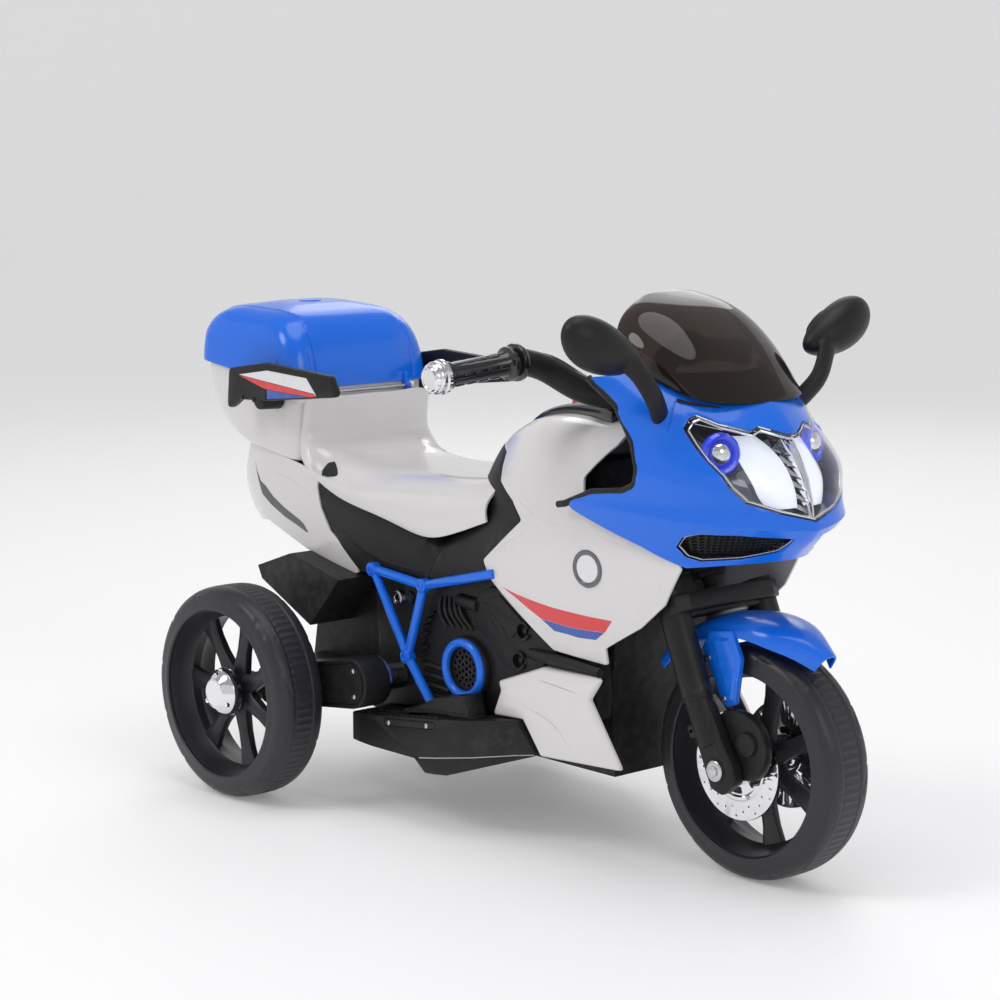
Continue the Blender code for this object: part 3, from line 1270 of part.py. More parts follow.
# Charging socket through the right engine cover
SOCKET_AT = (0.176, 0.132)
socket_x, socket_z = SOCKET_AT
socket = rod("charging_socket", rear(socket_x, -ENGINE_FACE - GAP, socket_z), rear(socket_x, -ENGINE_FACE - 0.008,
                                                                                 socket_z), 0.0105, STEEL, 24)
join(socket, rod("barrel", rear(socket_x, -ENGINE_FACE + 0.018, socket_z), rear(socket_x, -ENGINE_FACE - 0.001,
                                                                               socket_z), 0.0070, None, 20))
cut(socket, rod("jack", rear(socket_x, -ENGINE_FACE + 0.014, socket_z), rear(socket_x, -ENGINE_FACE - 0.02,
                                                                            socket_z), 0.0045, None, 16))
cut(cover_engine_right, rod("socket_hole", rear(socket_x, -ENGINE_FACE + 0.01, socket_z),
                            rear(socket_x, -ENGINE_FACE - 0.01, socket_z), 0.0075, None, 20))
smooth(socket)


# Trellis tubes over the engine, one moulding a side
TRELLIS_KNOTS = {"A": (0.134, 0.166), "B": (0.233, 0.157), "C": (0.200, 0.061), "D": (0.245, 0.012),
                 "E": (0.353, 0.1885)}


def trellis(name, side):
    """Round bars between three bosses."""
    def at(knot, out=0.0):
        dx, dz = TRELLIS_KNOTS[knot]
        return rear(dx, side * (TRELLIS_FACE + out), dz)

    made = rod(name, at("A"), at("B"), TRELLIS_RADIUS, BLUE, 8)
    for place, (first, second) in enumerate(("BE", "AC", "BC", "CD")):
        step = 0.0003 * (place + 1)
        join(made, rod("bar", at(first, step), at(second, step), TRELLIS_RADIUS - step / 2, None, 8))
    for knot in "ABC":
        join(made, rod("boss", at(knot, -0.0058), at(knot, 0.0085), TRELLIS_RADIUS + 0.0028, None, 12))
    return smooth(made)


trellis_right = trellis("trellis_right", -1)
trellis_left = trellis("trellis_left", 1)


# Lower fairings in front of the footboard
FAIRING_LINE = [(-0.327, 0.059), (-0.249, 0.088), (-0.145, 0.090), (-0.165, 0.062), (-0.110, -0.015),
                (-0.249, -0.023), (-0.281, 0.017), (-0.337, 0.014), (-0.322, 0.048)]
FAIRING_OUT = 0.126


def lower_fairing(name, side):
    made = plate(name, front_line(FAIRING_LINE), *sorted((side * (ENGINE_FACE + 0.001), side * FAIRING_OUT)), WHITE,
                 0.004)
    cut(made, plate("hollow", inset(front_line(FAIRING_LINE), 0.003),
                    *sorted((side * (ENGINE_FACE - 0.01), side * (FAIRING_OUT - 0.003)))))
    return smooth(largest(carve(made, board)))


fairing_right = lower_fairing("lower_fairing_right", -1)
fairing_left = lower_fairing("lower_fairing_left", 1)

# Handle wings on the sides of the box
WING_LINE = [(-0.115, 0.416), (-0.036, 0.425), (0.092, 0.418), (0.117, 0.390), (0.017, 0.376), (-0.044, 0.371),
             (-0.082, 0.372), (-0.121, 0.351)]
WING_IN = 0.148
WING_OUT = 0.160
WING_BOSS = (-0.062, 0.372)


def handle_wing(name, side):
    """A flat grab plate held off the box on a round boss."""
    made = plate(name, rear_line(WING_LINE), *sorted((side * WING_IN, side * WING_OUT)), BLACK, 0.003)
    x, z = WING_BOSS
    join(made, rod("boss", rear(x, side * (BOX_HALF + GAP), z), rear(x, side * (WING_IN + 0.004), z), 0.0135, None, 20),
         box("root", [min(a, b) for a, b in zip(rear(-0.110, side * 0.1265, 0.372), rear(-0.085, side * 0.150, 0.410))],
             [max(a, b) for a, b in zip(rear(-0.110, side * 0.1265, 0.372), rear(-0.085, side * 0.150, 0.410))]))
    return smooth(made)


wing_right = handle_wing("handle_wing_right", -1)
wing_left = handle_wing("handle_wing_left", 1)

# Lid hinge: lugs on the lid and on the box, round one pin
HINGE_DX = -0.020
HINGE_DZ = 0.380
LUG_RADIUS = 0.0055
LUG_HALF = 0.003
LUG_Y = 0.070
pin = rod("lid_hinge_pin", rear(HINGE_DX, -LUG_Y - 0.014, HINGE_DZ), rear(HINGE_DX, LUG_Y + 0.014, HINGE_DZ),
          HINGE_RADIUS, STEEL, 12)
for side in (1, -1):
    middle = side * LUG_Y
    join(lid, rod("lug", rear(HINGE_DX, middle - LUG_HALF, HINGE_DZ), rear(HINGE_DX, middle + LUG_HALF, HINGE_DZ),
                  LUG_RADIUS, None, 16),
         box("tab", rear(HINGE_DX - 0.0055, middle - LUG_HALF, HINGE_DZ),
             rear(HINGE_DX + 0.0055, middle + LUG_HALF, HINGE_DZ + 0.030)))
    beside = side * (LUG_Y + 2 * LUG_HALF + 0.0012)
    join(case, rod("lug", rear(HINGE_DX, beside - LUG_HALF, HINGE_DZ), rear(HINGE_DX, beside + LUG_HALF, HINGE_DZ),
                   LUG_RADIUS - 0.0005, None, 16),
         box("tab", rear(-0.0315, beside - LUG_HALF, HINGE_DZ - 0.005),
             rear(HINGE_DX, beside + LUG_HALF, HINGE_DZ + 0.0045)))
for piece in (lid, case):
    cut(piece, rod("pin_hole", rear(HINGE_DX, -0.1, HINGE_DZ), rear(HINGE_DX, 0.1, HINGE_DZ),
                   HINGE_RADIUS + RUNNING_CLEARANCE, None, 12))
    smooth(largest(piece))


# Joints: each moving group hangs from an empty on its axis
steering = pivot("steering_axis", FRONT_HUB)
steering.rotation_euler = (0.0, -RAKE, 0.0)
hang(steering, fork_left, fork_right, yoke, column, guard, cover_left, cover_right, front_axle, bar, grip_left,
     grip_right, barcap_left, barcap_right)
front_spin = pivot("front_wheel_axis", FRONT_HUB)
hang(steering, front_spin)
hang(front_spin, wheel_front, disc_left, disc_right)
hang(pivot("left_wheel_axis", left_hub), wheel_left, cap_left)
hang(pivot("right_wheel_axis", right_hub), wheel_right, cap_right)
hang(pivot("lid_axis", rear(HINGE_DX, 0.0, HINGE_DZ)), lid)
hang(pivot("pedal_axis", rear(PEDAL_HINGE[0], -(PEDAL_OUT + PEDAL_IN) / 2, PEDAL_HINGE[1])), pedal)
hang(pivot("power_switch_axis", on_dash(POWER_AT)), power)
hang(pivot("direction_switch_axis", on_dash(DIRECTION_AT)), direction)
hang(pivot("horn_axis", on_dash(HORN_AT)), horn)
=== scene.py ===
"""Looks of a child's battery ride-on motorcycle with a top box: shells, wheels, lamps, trim and finishes.

Metres, +Z up, +X forward, +Y the rider's left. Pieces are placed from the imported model's own axles.
"""
import math

import bmesh
import bpy
from mathutils import Matrix, Vector
from mathutils.bvhtree import BVHTree


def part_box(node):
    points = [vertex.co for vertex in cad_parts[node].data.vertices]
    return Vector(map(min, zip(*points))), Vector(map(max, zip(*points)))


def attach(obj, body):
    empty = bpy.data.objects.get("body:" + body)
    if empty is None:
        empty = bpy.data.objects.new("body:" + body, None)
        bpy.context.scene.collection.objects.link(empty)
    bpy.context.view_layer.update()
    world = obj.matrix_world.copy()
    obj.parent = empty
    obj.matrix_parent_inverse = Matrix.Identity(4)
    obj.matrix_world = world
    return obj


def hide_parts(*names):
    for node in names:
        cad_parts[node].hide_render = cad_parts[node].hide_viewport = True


bl_info = {
    "name": "Ride-on motorcycle looks",
    "version": (1, 0, 0),
    "blender": (4, 5, 0),
    "location": "3D View > Sidebar > Ride-on",
    "description": "Dresses the packed ride-on motorcycle with its shells, wheels, lamps, trim and finishes",
    "category": "Object",
}

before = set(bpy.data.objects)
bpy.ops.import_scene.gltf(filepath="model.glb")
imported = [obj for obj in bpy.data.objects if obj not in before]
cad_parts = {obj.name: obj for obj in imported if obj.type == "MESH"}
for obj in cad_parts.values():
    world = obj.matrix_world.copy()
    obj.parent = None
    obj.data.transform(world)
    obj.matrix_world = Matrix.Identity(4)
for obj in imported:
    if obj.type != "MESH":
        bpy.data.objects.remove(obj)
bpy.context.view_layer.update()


def middle_of(node):
    low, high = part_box(node)
    return (low + high) / 2


def size_of(node):
    low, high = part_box(node)
    return high - low


FRONT_HUB = middle_of("front_axle")
REAR_HUB = middle_of("rear_axle")
LEFT_HUB = middle_of("wheel_rear_left")
RIGHT_HUB = middle_of("wheel_rear_right")
WHEEL_RADIUS = size_of("wheel_front").z / 2
RAKE = math.radians(23.0)
STEER_AXIS = Vector((-math.sin(RAKE), 0.0, math.cos(RAKE)))
STEER_AHEAD = Vector((math.cos(RAKE), 0.0, math.sin(RAKE)))
RIGHT = -1
LEFT = 1
SIDES = ((RIGHT, "right"), (LEFT, "left"))


def front(dx, dy, dz):
    """A point measured from the middle of the front axle."""
    return FRONT_HUB + Vector((dx, dy, dz))


def rear(dx, dy, dz):
    """A point measured from the middle of the rear axle."""
    return REAR_HUB + Vector((dx, dy, dz))


def steer(along, dy=0.0, ahead=0.0):
    """A point on the steering axis, with an offset to the side and square to it forwards."""
    return FRONT_HUB + STEER_AXIS * along + STEER_AHEAD * ahead + Vector((0.0, dy, 0.0))


# Handling of objects
def clear_choice():
    if bpy.context.object and bpy.context.object.mode != "OBJECT":
        bpy.ops.object.mode_set(mode="OBJECT")
    bpy.ops.object.select_all(action="DESELECT")


def choose(piece):
    clear_choice()
    piece.select_set(True)
    bpy.context.view_layer.objects.active = piece
    return piece


def named(name):
    """Name the primitive that was just added, with its mesh."""
    piece = bpy.context.object
    piece.name = name
    piece.data.name = name
    return piece


def change(piece, kind, **settings):
    """Add a modifier, set it up and apply it."""
    choose(piece)
    modifier = piece.modifiers.new(kind.title(), kind)
    for key, value in settings.items():
        setattr(modifier, key, value)
    bpy.ops.object.modifier_apply(modifier=modifier.name)
    return piece


def settle(piece):
    """Put an object's place into its mesh."""
    choose(piece)
    bpy.ops.object.transform_apply(location=True, rotation=True, scale=True)
    return piece


def tidy_shell(piece, weld=0.00001):
    """Merge doubles and point all faces outwards."""
    choose(piece)
    bpy.ops.object.mode_set(mode="EDIT")
    bpy.ops.mesh.select_all(action="SELECT")
    bpy.ops.mesh.remove_doubles(threshold=weld)
    bpy.ops.mesh.normals_make_consistent(inside=False)
    bpy.ops.object.mode_set(mode="OBJECT")
    return piece


def soft_edges(piece, width=0.0006, segments=2, degrees=40.0):
    """Break the sharp edges of a moulding."""
    return change(piece, "BEVEL", width=width, segments=segments, limit_method="ANGLE",
                  angle_limit=math.radians(degrees), use_clamp_overlap=True, harden_normals=False)


def smooth(piece, degrees=35.0):
    choose(piece)
    bpy.ops.object.shade_smooth_by_angle(angle=math.radians(degrees))
    return piece


def cut(piece, *cutters, operation="DIFFERENCE"):
    """Cut a piece with others, which are used up."""
    for cutter in cutters:
        change(piece, "BOOLEAN", operation=operation, solver="EXACT", object=cutter)
        bpy.data.objects.remove(cutter, do_unlink=True)
    return piece


def join(piece, *others):
    return cut(piece, *others, operation="UNION")


def gather(piece, *others):
    """Lay separate bodies into one object without a union."""
    choose(piece)
    for other in others:
        other.select_set(True)
    bpy.ops.object.join()
    return piece


def copy_of(piece, name):
    made = piece.copy()
    made.data = piece.data.copy()
    made.name = name
    made.data.name = name
    bpy.context.scene.collection.objects.link(made)
    return made


def show(piece, body, finish, replaces=(), degrees=35.0):
    """Smooth a finished piece, give it its material and let it ride on its body."""
    smooth(piece, degrees)
    piece.data.materials.clear()
    piece.data.materials.append(bpy.data.materials[finish])
    for face in piece.data.polygons:
        face.material_index = 0
    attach(piece, body)
    if replaces:
        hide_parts(*replaces)
    return piece


# Basic forms
def fair_curve(points, per_span):
    """Points on a smooth natural curve through the given ones, with as many steps in each span."""
    count = len(points)
    spans = [max((b - a).length, 1e-7) for a, b in zip(points, points[1:])]
    slopes = [(b - a) / span for a, b, span in zip(points, points[1:], spans)]
    bends = [Vector((0.0, 0.0, 0.0))] * count
    if count > 2:
        diagonal, right = [], []
        for i in range(1, count - 1):
            level = 2.0 * (spans[i - 1] + spans[i])
            load = (slopes[i] - slopes[i - 1]) * 6.0
            if diagonal:
                share = spans[i - 1] / diagonal[-1]
                level -= share * spans[i - 1]
                load = load - right[-1] * share
            diagonal.append(level)
            right.append(load)
        for i in range(count - 2, 0, -1):
            bends[i] = (right[i - 1] - bends[i + 1] * spans[i]) / diagonal[i - 1]
    made = []
    for i, span in enumerate(spans):
        for step in range(per_span):
            t = span * step / per_span
            line = slopes[i] - (bends[i] * 2.0 + bends[i + 1]) * (span / 6.0)
            made.append(points[i] + line * t + bends[i] * (t * t / 2.0)
                        + (bends[i + 1] - bends[i]) * (t ** 3 / (6.0 * span)))
    made.append(points[-1].copy())
    return made


def fair_with_creases(points, per_span, creases=()):
    """A smooth curve that may turn sharply at the numbered points."""
    made = []
    stops = [0, *creases, len(points) - 1]
    for start, stop in zip(stops, stops[1:]):
        made = made[:-1] + fair_curve(points[start:stop + 1], per_span)
    return made


def fair_rows(rows, along=6, across=6, row_creases=(), point_creases=()):
    """Fill in section rows both ways."""
    lines = [fair_with_creases(row, across, point_creases) for row in rows]
    columns = [fair_with_creases(list(column), along, row_creases) for column in zip(*lines)]
    return [list(row) for row in zip(*columns)]


def sheet(name, rows, cyclic=False):
    """A grid laid through rows of points, as an open skin."""
    clear_choice()
    bpy.ops.mesh.primitive_grid_add(x_subdivisions=len(rows[0]) - 1, y_subdivisions=len(rows) - 1, size=1.0)
    made = named(name)
    flat = [co for row in rows for point in row for co in point]
    made.data.vertices.foreach_set("co", flat)
    made.data.update()
    made.location = (0.0, 0.0, 0.0)
    return tidy_shell(made) if cyclic else made


def face_out(piece, outside):
    """Turn an open skin so that it faces a point outside it."""
    mesh = piece.data
    votes = sum(1 if face.normal.dot(outside - face.center) > 0 else -1 for face in mesh.polygons)
    if votes < 0:
        mesh.flip_normals()
    return piece


def loft(name, rings):
    """A closed solid through closed rings of points, with flat ends."""
    rows = [list(ring) + [ring[0]] for ring in rings]
    made = sheet(name, rows)
    choose(made)
    bpy.ops.object.mode_set(mode="EDIT")
    bpy.ops.mesh.select_all(action="SELECT")
    bpy.ops.mesh.remove_doubles(threshold=0.000001)
    bpy.ops.mesh.select_all(action="DESELECT")
    bpy.ops.mesh.select_non_manifold()
    bpy.ops.mesh.edge_face_add()
    bpy.ops.mesh.select_all(action="SELECT")
    bpy.ops.mesh.normals_make_consistent(inside=False)
    bpy.ops.object.mode_set(mode="OBJECT")
    return made


def both_sides(half):
    """A row from one side over the middle to the other, from the half that starts at the middle."""
    return list(reversed(half)) + [Vector((p.x, -p.y, p.z)) for p in half[1:]]


def beside(side, near, far):
    """Two distances from the middle as the lower and the higher sideways place on one side."""
    return sorted((side * near, side * far))


def rounded(outline, radius, steps=4):
    """An outline with its corners rounded; a point may carry its own radius as a third number."""
    made = []
    count = len(outline)
    for i, here in enumerate(outline):
        corner = Vector(here[:2])
        reach = here[2] if len(here) > 2 else radius
        before = Vector(outline[i - 1][:2]) - corner
        after = Vector(outline[(i + 1) % count][:2]) - corner
        limit = 0.45 * min(before.length, after.length)
        bend = before.angle(after, math.pi)
        if reach <= 0.0 or bend > math.radians(176):
            made.append((corner.x, corner.y))
            continue
        back = min(limit, reach / max(math.tan(bend / 2), 0.05))
        start = corner + before.normalized() * back
        end = corner + after.normalized() * back
        for step in range(steps + 1):
            t = step / steps
            point = start * (1 - t) ** 2 + corner * 2 * t * (1 - t) + end * t ** 2
            made.append((point.x, point.y))
    return made


def block(name, outline, low, high, plane="XZ"):
    """An outline drawn in one plane and extruded square to it."""
    clear_choice()
    bpy.ops.mesh.primitive_circle_add(vertices=len(outline), radius=1.0, fill_type="NGON")
    made = named(name)
    for vert, (a, b) in zip(made.data.vertices, outline):
        if plane == "XZ":
            vert.co = (a, low, b)
        elif plane == "YZ":
            vert.co = (low, a, b)
        else:
            vert.co = (a, b, low)
    run = {"XZ": (0.0, high - low, 0.0), "YZ": (high - low, 0.0, 0.0), "XY": (0.0, 0.0, high - low)}[plane]
    bpy.ops.object.mode_set(mode="EDIT")
    bpy.ops.mesh.select_all(action="SELECT")
    bpy.ops.mesh.extrude_region_move(TRANSFORM_OT_translate={"value": run})
    bpy.ops.mesh.select_all(action="SELECT")
    bpy.ops.mesh.normals_make_consistent(inside=False)
    bpy.ops.object.mode_set(mode="OBJECT")
    return made


def turned(name, centre, profile, axis=(0.0, 1.0, 0.0), steps=64):
    """A closed profile of (radius, sideways) points spun about an axle."""
    axle = Vector(axis).normalized()
    square = axle.orthogonal().normalized()
    clear_choice()
    bpy.ops.mesh.primitive_circle_add(vertices=len(profile), radius=1.0, fill_type="NOTHING")
    made = named(name)
    for vert, (radius, along) in zip(made.data.vertices, profile):
        vert.co = Vector(centre) + square * radius + axle * along
    bpy.ops.object.mode_set(mode="EDIT")
    bpy.ops.mesh.select_all(action="SELECT")
    bpy.ops.mesh.spin(steps=steps, angle=math.tau, center=centre, axis=axle)
    bpy.ops.mesh.select_all(action="SELECT")
    bpy.ops.mesh.remove_doubles(threshold=0.000002)
    bpy.ops.mesh.dissolve_degenerate(threshold=0.000001)
    bpy.ops.mesh.delete_loose(use_verts=True, use_edges=True, use_faces=False)
    bpy.ops.mesh.normals_make_consistent(inside=False)
    bpy.ops.object.mode_set(mode="OBJECT")
    return made


def rod(name, start, end, radius, end_radius=None, sides=32, edge=0.0):
    """A straight round bar or cone between two points, with its rims broken."""
    start, end = Vector(start), Vector(end)
    run = end - start
    clear_choice()
    bpy.ops.mesh.primitive_cone_add(vertices=sides, radius1=radius,
                                    radius2=radius if end_radius is None else end_radius, depth=run.length,
                                    location=(start + end) / 2,
                                    rotation=run.to_track_quat("Z", "Y").to_euler())
    made = settle(named(name))
    return soft_edges(made, edge, 3, 50.0) if edge else made


def slab(name, low, high, edge=0.0):
    """A block between two corners, with its edges rounded."""
    low, high = Vector(low), Vector(high)
    corners = [(min(a, b), max(a, b)) for a, b in zip(low, high)]
    size = Vector([b - a for a, b in corners])
    clear_choice()
    bpy.ops.mesh.primitive_cube_add(size=1.0, location=[(a + b) / 2 for a, b in corners])
    made = named(name)
    made.scale = size
    settle(made)
    return soft_edges(made, edge, 3, 50.0) if edge else made


def tube(name, points, radius, radii=None, fine=8, sides=6, loose=False):
    """A round bar along a smooth line through points, with closed ends."""
    clear_choice()
    bpy.ops.curve.primitive_bezier_curve_add()
    line = bpy.context.object
    line.name = name
    curve = line.data
    curve.splines.clear()
    spline = curve.splines.new("POLY")
    path = list(points) if loose else fair_curve(points, fine)
    spline.points.add(len(path) - 1)
    for place, point in enumerate(path):
        spline.points[place].co = (*point, 1.0)
        if radii:
            share = place / (len(path) - 1) * (len(radii) - 1)
            low = min(int(share), len(radii) - 2)
            spline.points[place].radius = radii[low] + (radii[low + 1] - radii[low]) * (share - low)
    curve.dimensions = "3D"
    curve.bevel_depth = radius
    curve.bevel_resolution = sides
    curve.use_fill_caps = True
    line.location = (0.0, 0.0, 0.0)
    line.rotation_euler = (0.0, 0.0, 0.0)
    choose(line)
    bpy.ops.object.convert(target="MESH")
    return tidy_shell(named(name))


def front_line(points):
    """A side-view outline measured from the front axle."""
    return [(FRONT_HUB.x + p[0], FRONT_HUB.z + p[1], *p[2:]) for p in points]


def rear_line(points):
    """A side-view outline measured from the rear axle."""
    return [(REAR_HUB.x + p[0], REAR_HUB.z + p[1], *p[2:]) for p in points]


def moved_rows(rows, distance):
    """Rows set off square to their own surface; a positive distance is outwards."""
    made = []
    middle = sum((p for row in rows for p in row), Vector()) / (len(rows) * len(rows[0]))
    for r, row in enumerate(rows):
        line = []
        for c, point in enumerate(row):
            down = rows[min(r + 1, len(rows) - 1)][c] - rows[max(r - 1, 0)][c]
            over = row[min(c + 1, len(row) - 1)] - row[max(c - 1, 0)]
            normal = down.cross(over)
            if normal.length < 1e-12:
                normal = point - middle
            line.append((point, normal.normalized()))
        made.append(line)
    votes = sum(1 if normal.dot(point - middle) > 0 else -1 for line in made for point, normal in line)
    turn = distance if votes > 0 else -distance
    return [[point + normal * turn for point, normal in line] for line in made]


def panel(name, rows, outline, thickness, lift=0.0, span=(-0.3, 0.3), plane="XZ"):
    """A patch of a skin, cut out by an outline, with its own wall."""
    laid = moved_rows(rows, lift) if lift else rows
    made = sheet(name, laid)
    centre = sum((v.co for v in made.data.vertices), Vector()) / len(made.data.vertices)
    votes = sum(1 if face.normal.dot(face.center - centre) > 0 else -1 for face in made.data.polygons)
    if votes < 0:
        made.data.flip_normals()
    change(made, "SOLIDIFY", thickness=thickness, offset=-1.0, use_even_offset=True, thickness_clamp=1.0)
    return cut(made, block("blank", outline, *span, plane), operation="INTERSECT")


def largest(piece):
    """Keep the biggest loose part of a piece."""
    work = bmesh.new()
    work.from_mesh(piece.data)
    unseen = set(work.verts)
    groups = []
    while unseen:
        stack = [unseen.pop()]
        group = set(stack)
        while stack:
            for edge in stack.pop().link_edges:
                for vert in edge.verts:
                    if vert in unseen:
                        unseen.discard(vert)
                        group.add(vert)
                        stack.append(vert)
        groups.append(group)
    groups.sort(key=len, reverse=True)
    for group in groups[1:]:
        bmesh.ops.delete(work, geom=list(group), context="VERTS")
    work.to_mesh(piece.data)
    work.free()
    return piece


# Sizes and colours a user would change
def length_prop(name, description, default, low, high):
    return bpy.props.FloatProperty(name=name, description=description, default=default, min=low, max=high,
                                   subtype="DISTANCE", unit="LENGTH")


class RideOnSizes(bpy.types.PropertyGroup):
    """Fine sizes of the mouldings and their trim"""
    edge: length_prop("Edge radius", "Rounding of the moulded edges", 0.0007, 0.0002, 0.002)
    decal: length_prop("Decal thickness", "Height of the printed film", 0.0003, 0.0001, 0.001)
    groove: length_prop("Groove radius", "Half width of a moulded line", 0.0008, 0.0003, 0.002)
    screw: length_prop("Screw head radius", "Radius of the visible pan heads", 0.0034, 0.002, 0.006)
    tread_depth: length_prop("Tread depth", "Depth of the fine ribs and grooves", 0.0011, 0.0003, 0.003)
    mesh_pitch: length_prop("Grille pitch", "Distance between the grille's holes", 0.0046, 0.003, 0.01)


def colour_prop(name, description, default):
    return bpy.props.FloatVectorProperty(name=name, description=description, default=default, size=3, min=0.0,
                                         max=1.0, subtype="COLOR")


class RideOnColours(bpy.types.PropertyGroup):
    """Colours of the plastics and prints"""
    white: colour_prop("White shells", "Gloss white of tank, seat, box and tail", (0.74, 0.715, 0.715))
    blue: colour_prop("Blue shells", "Gloss blue of nose, lid, mudguard and tubes", (0.004, 0.15, 0.8))
    black: colour_prop("Black plastic", "Satin black of the chassis and covers", (0.012, 0.0115, 0.012))
    smoke: colour_prop("Smoked screen", "Tint of the windscreen", (0.05, 0.034, 0.027))
    red: colour_prop("Red print", "Red of the stripes and the switch", (0.72, 0.022, 0.028))


def size(name):
    return getattr(bpy.context.scene.ride_on_sizes, name)


def colour(name):
    return tuple(getattr(bpy.context.scene.ride_on_colours, name))


# Shader groups: each puts out only colours, masks, values or heights
def new_group(name, inputs, outputs):
    tree = bpy.data.node_groups.new(name, "ShaderNodeTree")
    for label, kind, default in inputs:
        socket = tree.interface.new_socket(label, in_out="INPUT", socket_type=kind)
        socket.default_value = default
    for label, kind in outputs:
        tree.interface.new_socket(label, in_out="OUTPUT", socket_type=kind)
    source = tree.nodes.new("NodeGroupInput")
    sink = tree.nodes.new("NodeGroupOutput")
    return tree, source.outputs, sink.inputs


def node(tree, kind, links=(), **settings):
    """Add a node, set its fields and link its inputs."""
    made = tree.nodes.new(kind)
    for key, value in settings.items():
        setattr(made, key, value)
    for key, value in dict(links).items():
        if isinstance(value, bpy.types.NodeSocket):
            tree.links.new(value, made.inputs[key])
        else:
            made.inputs[key].default_value = value
    return made.outputs


def value_math(tree, operation, first, second=0.0, third=0.0):
    return node(tree, "ShaderNodeMath", {0: first, 1: second, 2: third}, operation=operation)[0]


def span(tree, value, low, high, to_low=0.0, to_high=1.0):
    return node(tree, "ShaderNodeMapRange", {"Value": value, "From Min": low, "From Max": high,
                                             "To Min": to_low,
                                             "To Max": to_high})["Result"]


def moulded_group():
    """Slow drift of tone, uneven gloss and a fine moulded grain."""
    tree, source, sink = new_group(
        "Moulded surface",
        [("Colour", "NodeSocketColor", (0.5, 0.5, 0.5, 1.0)), ("Roughness", "NodeSocketFloat", 0.3),
         ("Drift", "NodeSocketFloat", 0.06), ("Unevenness", "NodeSocketFloat", 0.1),
         ("Grain scale", "NodeSocketFloat", 900.0)],
        [("Colour", "NodeSocketColor"), ("Roughness", "NodeSocketFloat"), ("Height", "NodeSocketFloat")])
    place = node(tree, "ShaderNodeTexCoord")["Object"]
    slow = node(tree, "ShaderNodeTexNoise", {"Vector": place, "Scale": 9.0, "Detail": 3.0,
                                             "Roughness": 0.55})["Fac"]
    cloud = node(tree, "ShaderNodeTexNoise", {"Vector": place, "Scale": 46.0, "Detail": 4.0})["Fac"]
    grain = node(tree, "ShaderNodeTexNoise", {"Vector": place, "Scale": source["Grain scale"],
                                              "Detail": 2.0})["Fac"]
    tone = value_math(tree, "MULTIPLY_ADD", value_math(tree, "SUBTRACT", slow, 0.5), source["Drift"], 1.0)
    shade = node(tree, "ShaderNodeHueSaturation", {"Value": tone, "Color": source["Colour"]})["Color"]
    tree.links.new(shade, sink["Colour"])
    gloss = value_math(tree, "MULTIPLY_ADD", value_math(tree, "SUBTRACT", cloud, 0.5), source["Unevenness"],
                       source["Roughness"])
    tree.links.new(value_math(tree, "MAXIMUM", gloss, 0.02), sink["Roughness"])
    tree.links.new(value_math(tree, "MULTIPLY_ADD", cloud, 0.4, grain), sink["Height"])
    return tree


def wear_group():
    """A mask of rubbed corners and edges, broken up by noise."""
    tree, source, sink = new_group("Edge wear", [("Reach", "NodeSocketFloat", 0.06),
                                                 ("Break-up", "NodeSocketFloat", 60.0)],
                                   [("Mask", "NodeSocketFloat")])
    point = node(tree, "ShaderNodeNewGeometry")["Pointiness"]
    place = node(tree, "ShaderNodeTexCoord")["Object"]
    noise = node(tree, "ShaderNodeTexNoise", {"Vector": place, "Scale": source["Break-up"],
                                              "Detail": 4.0})["Fac"]
    high = value_math(tree, "ADD", 0.52, source["Reach"])
    edge = span(tree, point, 0.52, high)
    broken = value_math(tree, "MULTIPLY", edge, span(tree, noise, 0.42, 0.62))
    tree.links.new(broken, sink["Mask"])
    return tree


def scuff_group():
    """Hairline scratches in two directions and a little handling haze."""
    tree, source, sink = new_group("Fine scuffs", [("Scale", "NodeSocketFloat", 30.0),
                                                   ("Amount", "NodeSocketFloat", 0.5)],
                                   [("Mask", "NodeSocketFloat"), ("Height", "NodeSocketFloat")])
    place = node(tree, "ShaderNodeTexCoord")["Object"]
    lines = None
    for turn, stretch in ((0.6, (1.0, 9.0, 1.6)), (2.1, (8.0, 1.0, 1.4))):
        laid = node(tree, "ShaderNodeMapping", {"Vector": place, "Rotation": (turn, turn * 0.7, turn),
                                                "Scale": stretch})["Vector"]
        noise = node(tree, "ShaderNodeTexNoise", {"Vector": laid, "Scale": source["Scale"], "Detail": 1.0,
                                                  "Distortion": 0.6})["Fac"]
        off = value_math(tree, "ABSOLUTE", value_math(tree, "SUBTRACT", noise, 0.5))
        line = span(tree, off, 0.0, 0.004, 1.0, 0.0)
        lines = line if lines is None else value_math(tree, "MAXIMUM", lines, line)
    patch = node(tree, "ShaderNodeTexNoise", {"Vector": place, "Scale": 14.0, "Detail": 2.0})["Fac"]
    kept = value_math(tree, "MULTIPLY", lines, span(tree, patch, 0.48, 0.66))
    mask = value_math(tree, "MULTIPLY", kept, source["Amount"])
    tree.links.new(mask, sink["Mask"])
    tree.links.new(value_math(tree, "MULTIPLY", mask, -1.0), sink["Height"])
    return tree


def blank_material(name, **constants):
    """A material with its Principled shader and the plain values on the shader's own sockets."""
    made = bpy.data.materials.new(name)
    made.use_nodes = True
    shader = made.node_tree.nodes["Principled BSDF"]
    for key, value in constants.items():
        shader.inputs[key.replace("_", " ").title().replace("Ior", "IOR")].default_value = value
    return made, made.node_tree, shader


def place_group(tree, name, links=()):
    made = node(tree, "ShaderNodeGroup", node_tree=bpy.data.node_groups[name])
    holder = tree.nodes[-1]
    for key, value in dict(links).items():
        holder.inputs[key].default_value = value
    return made


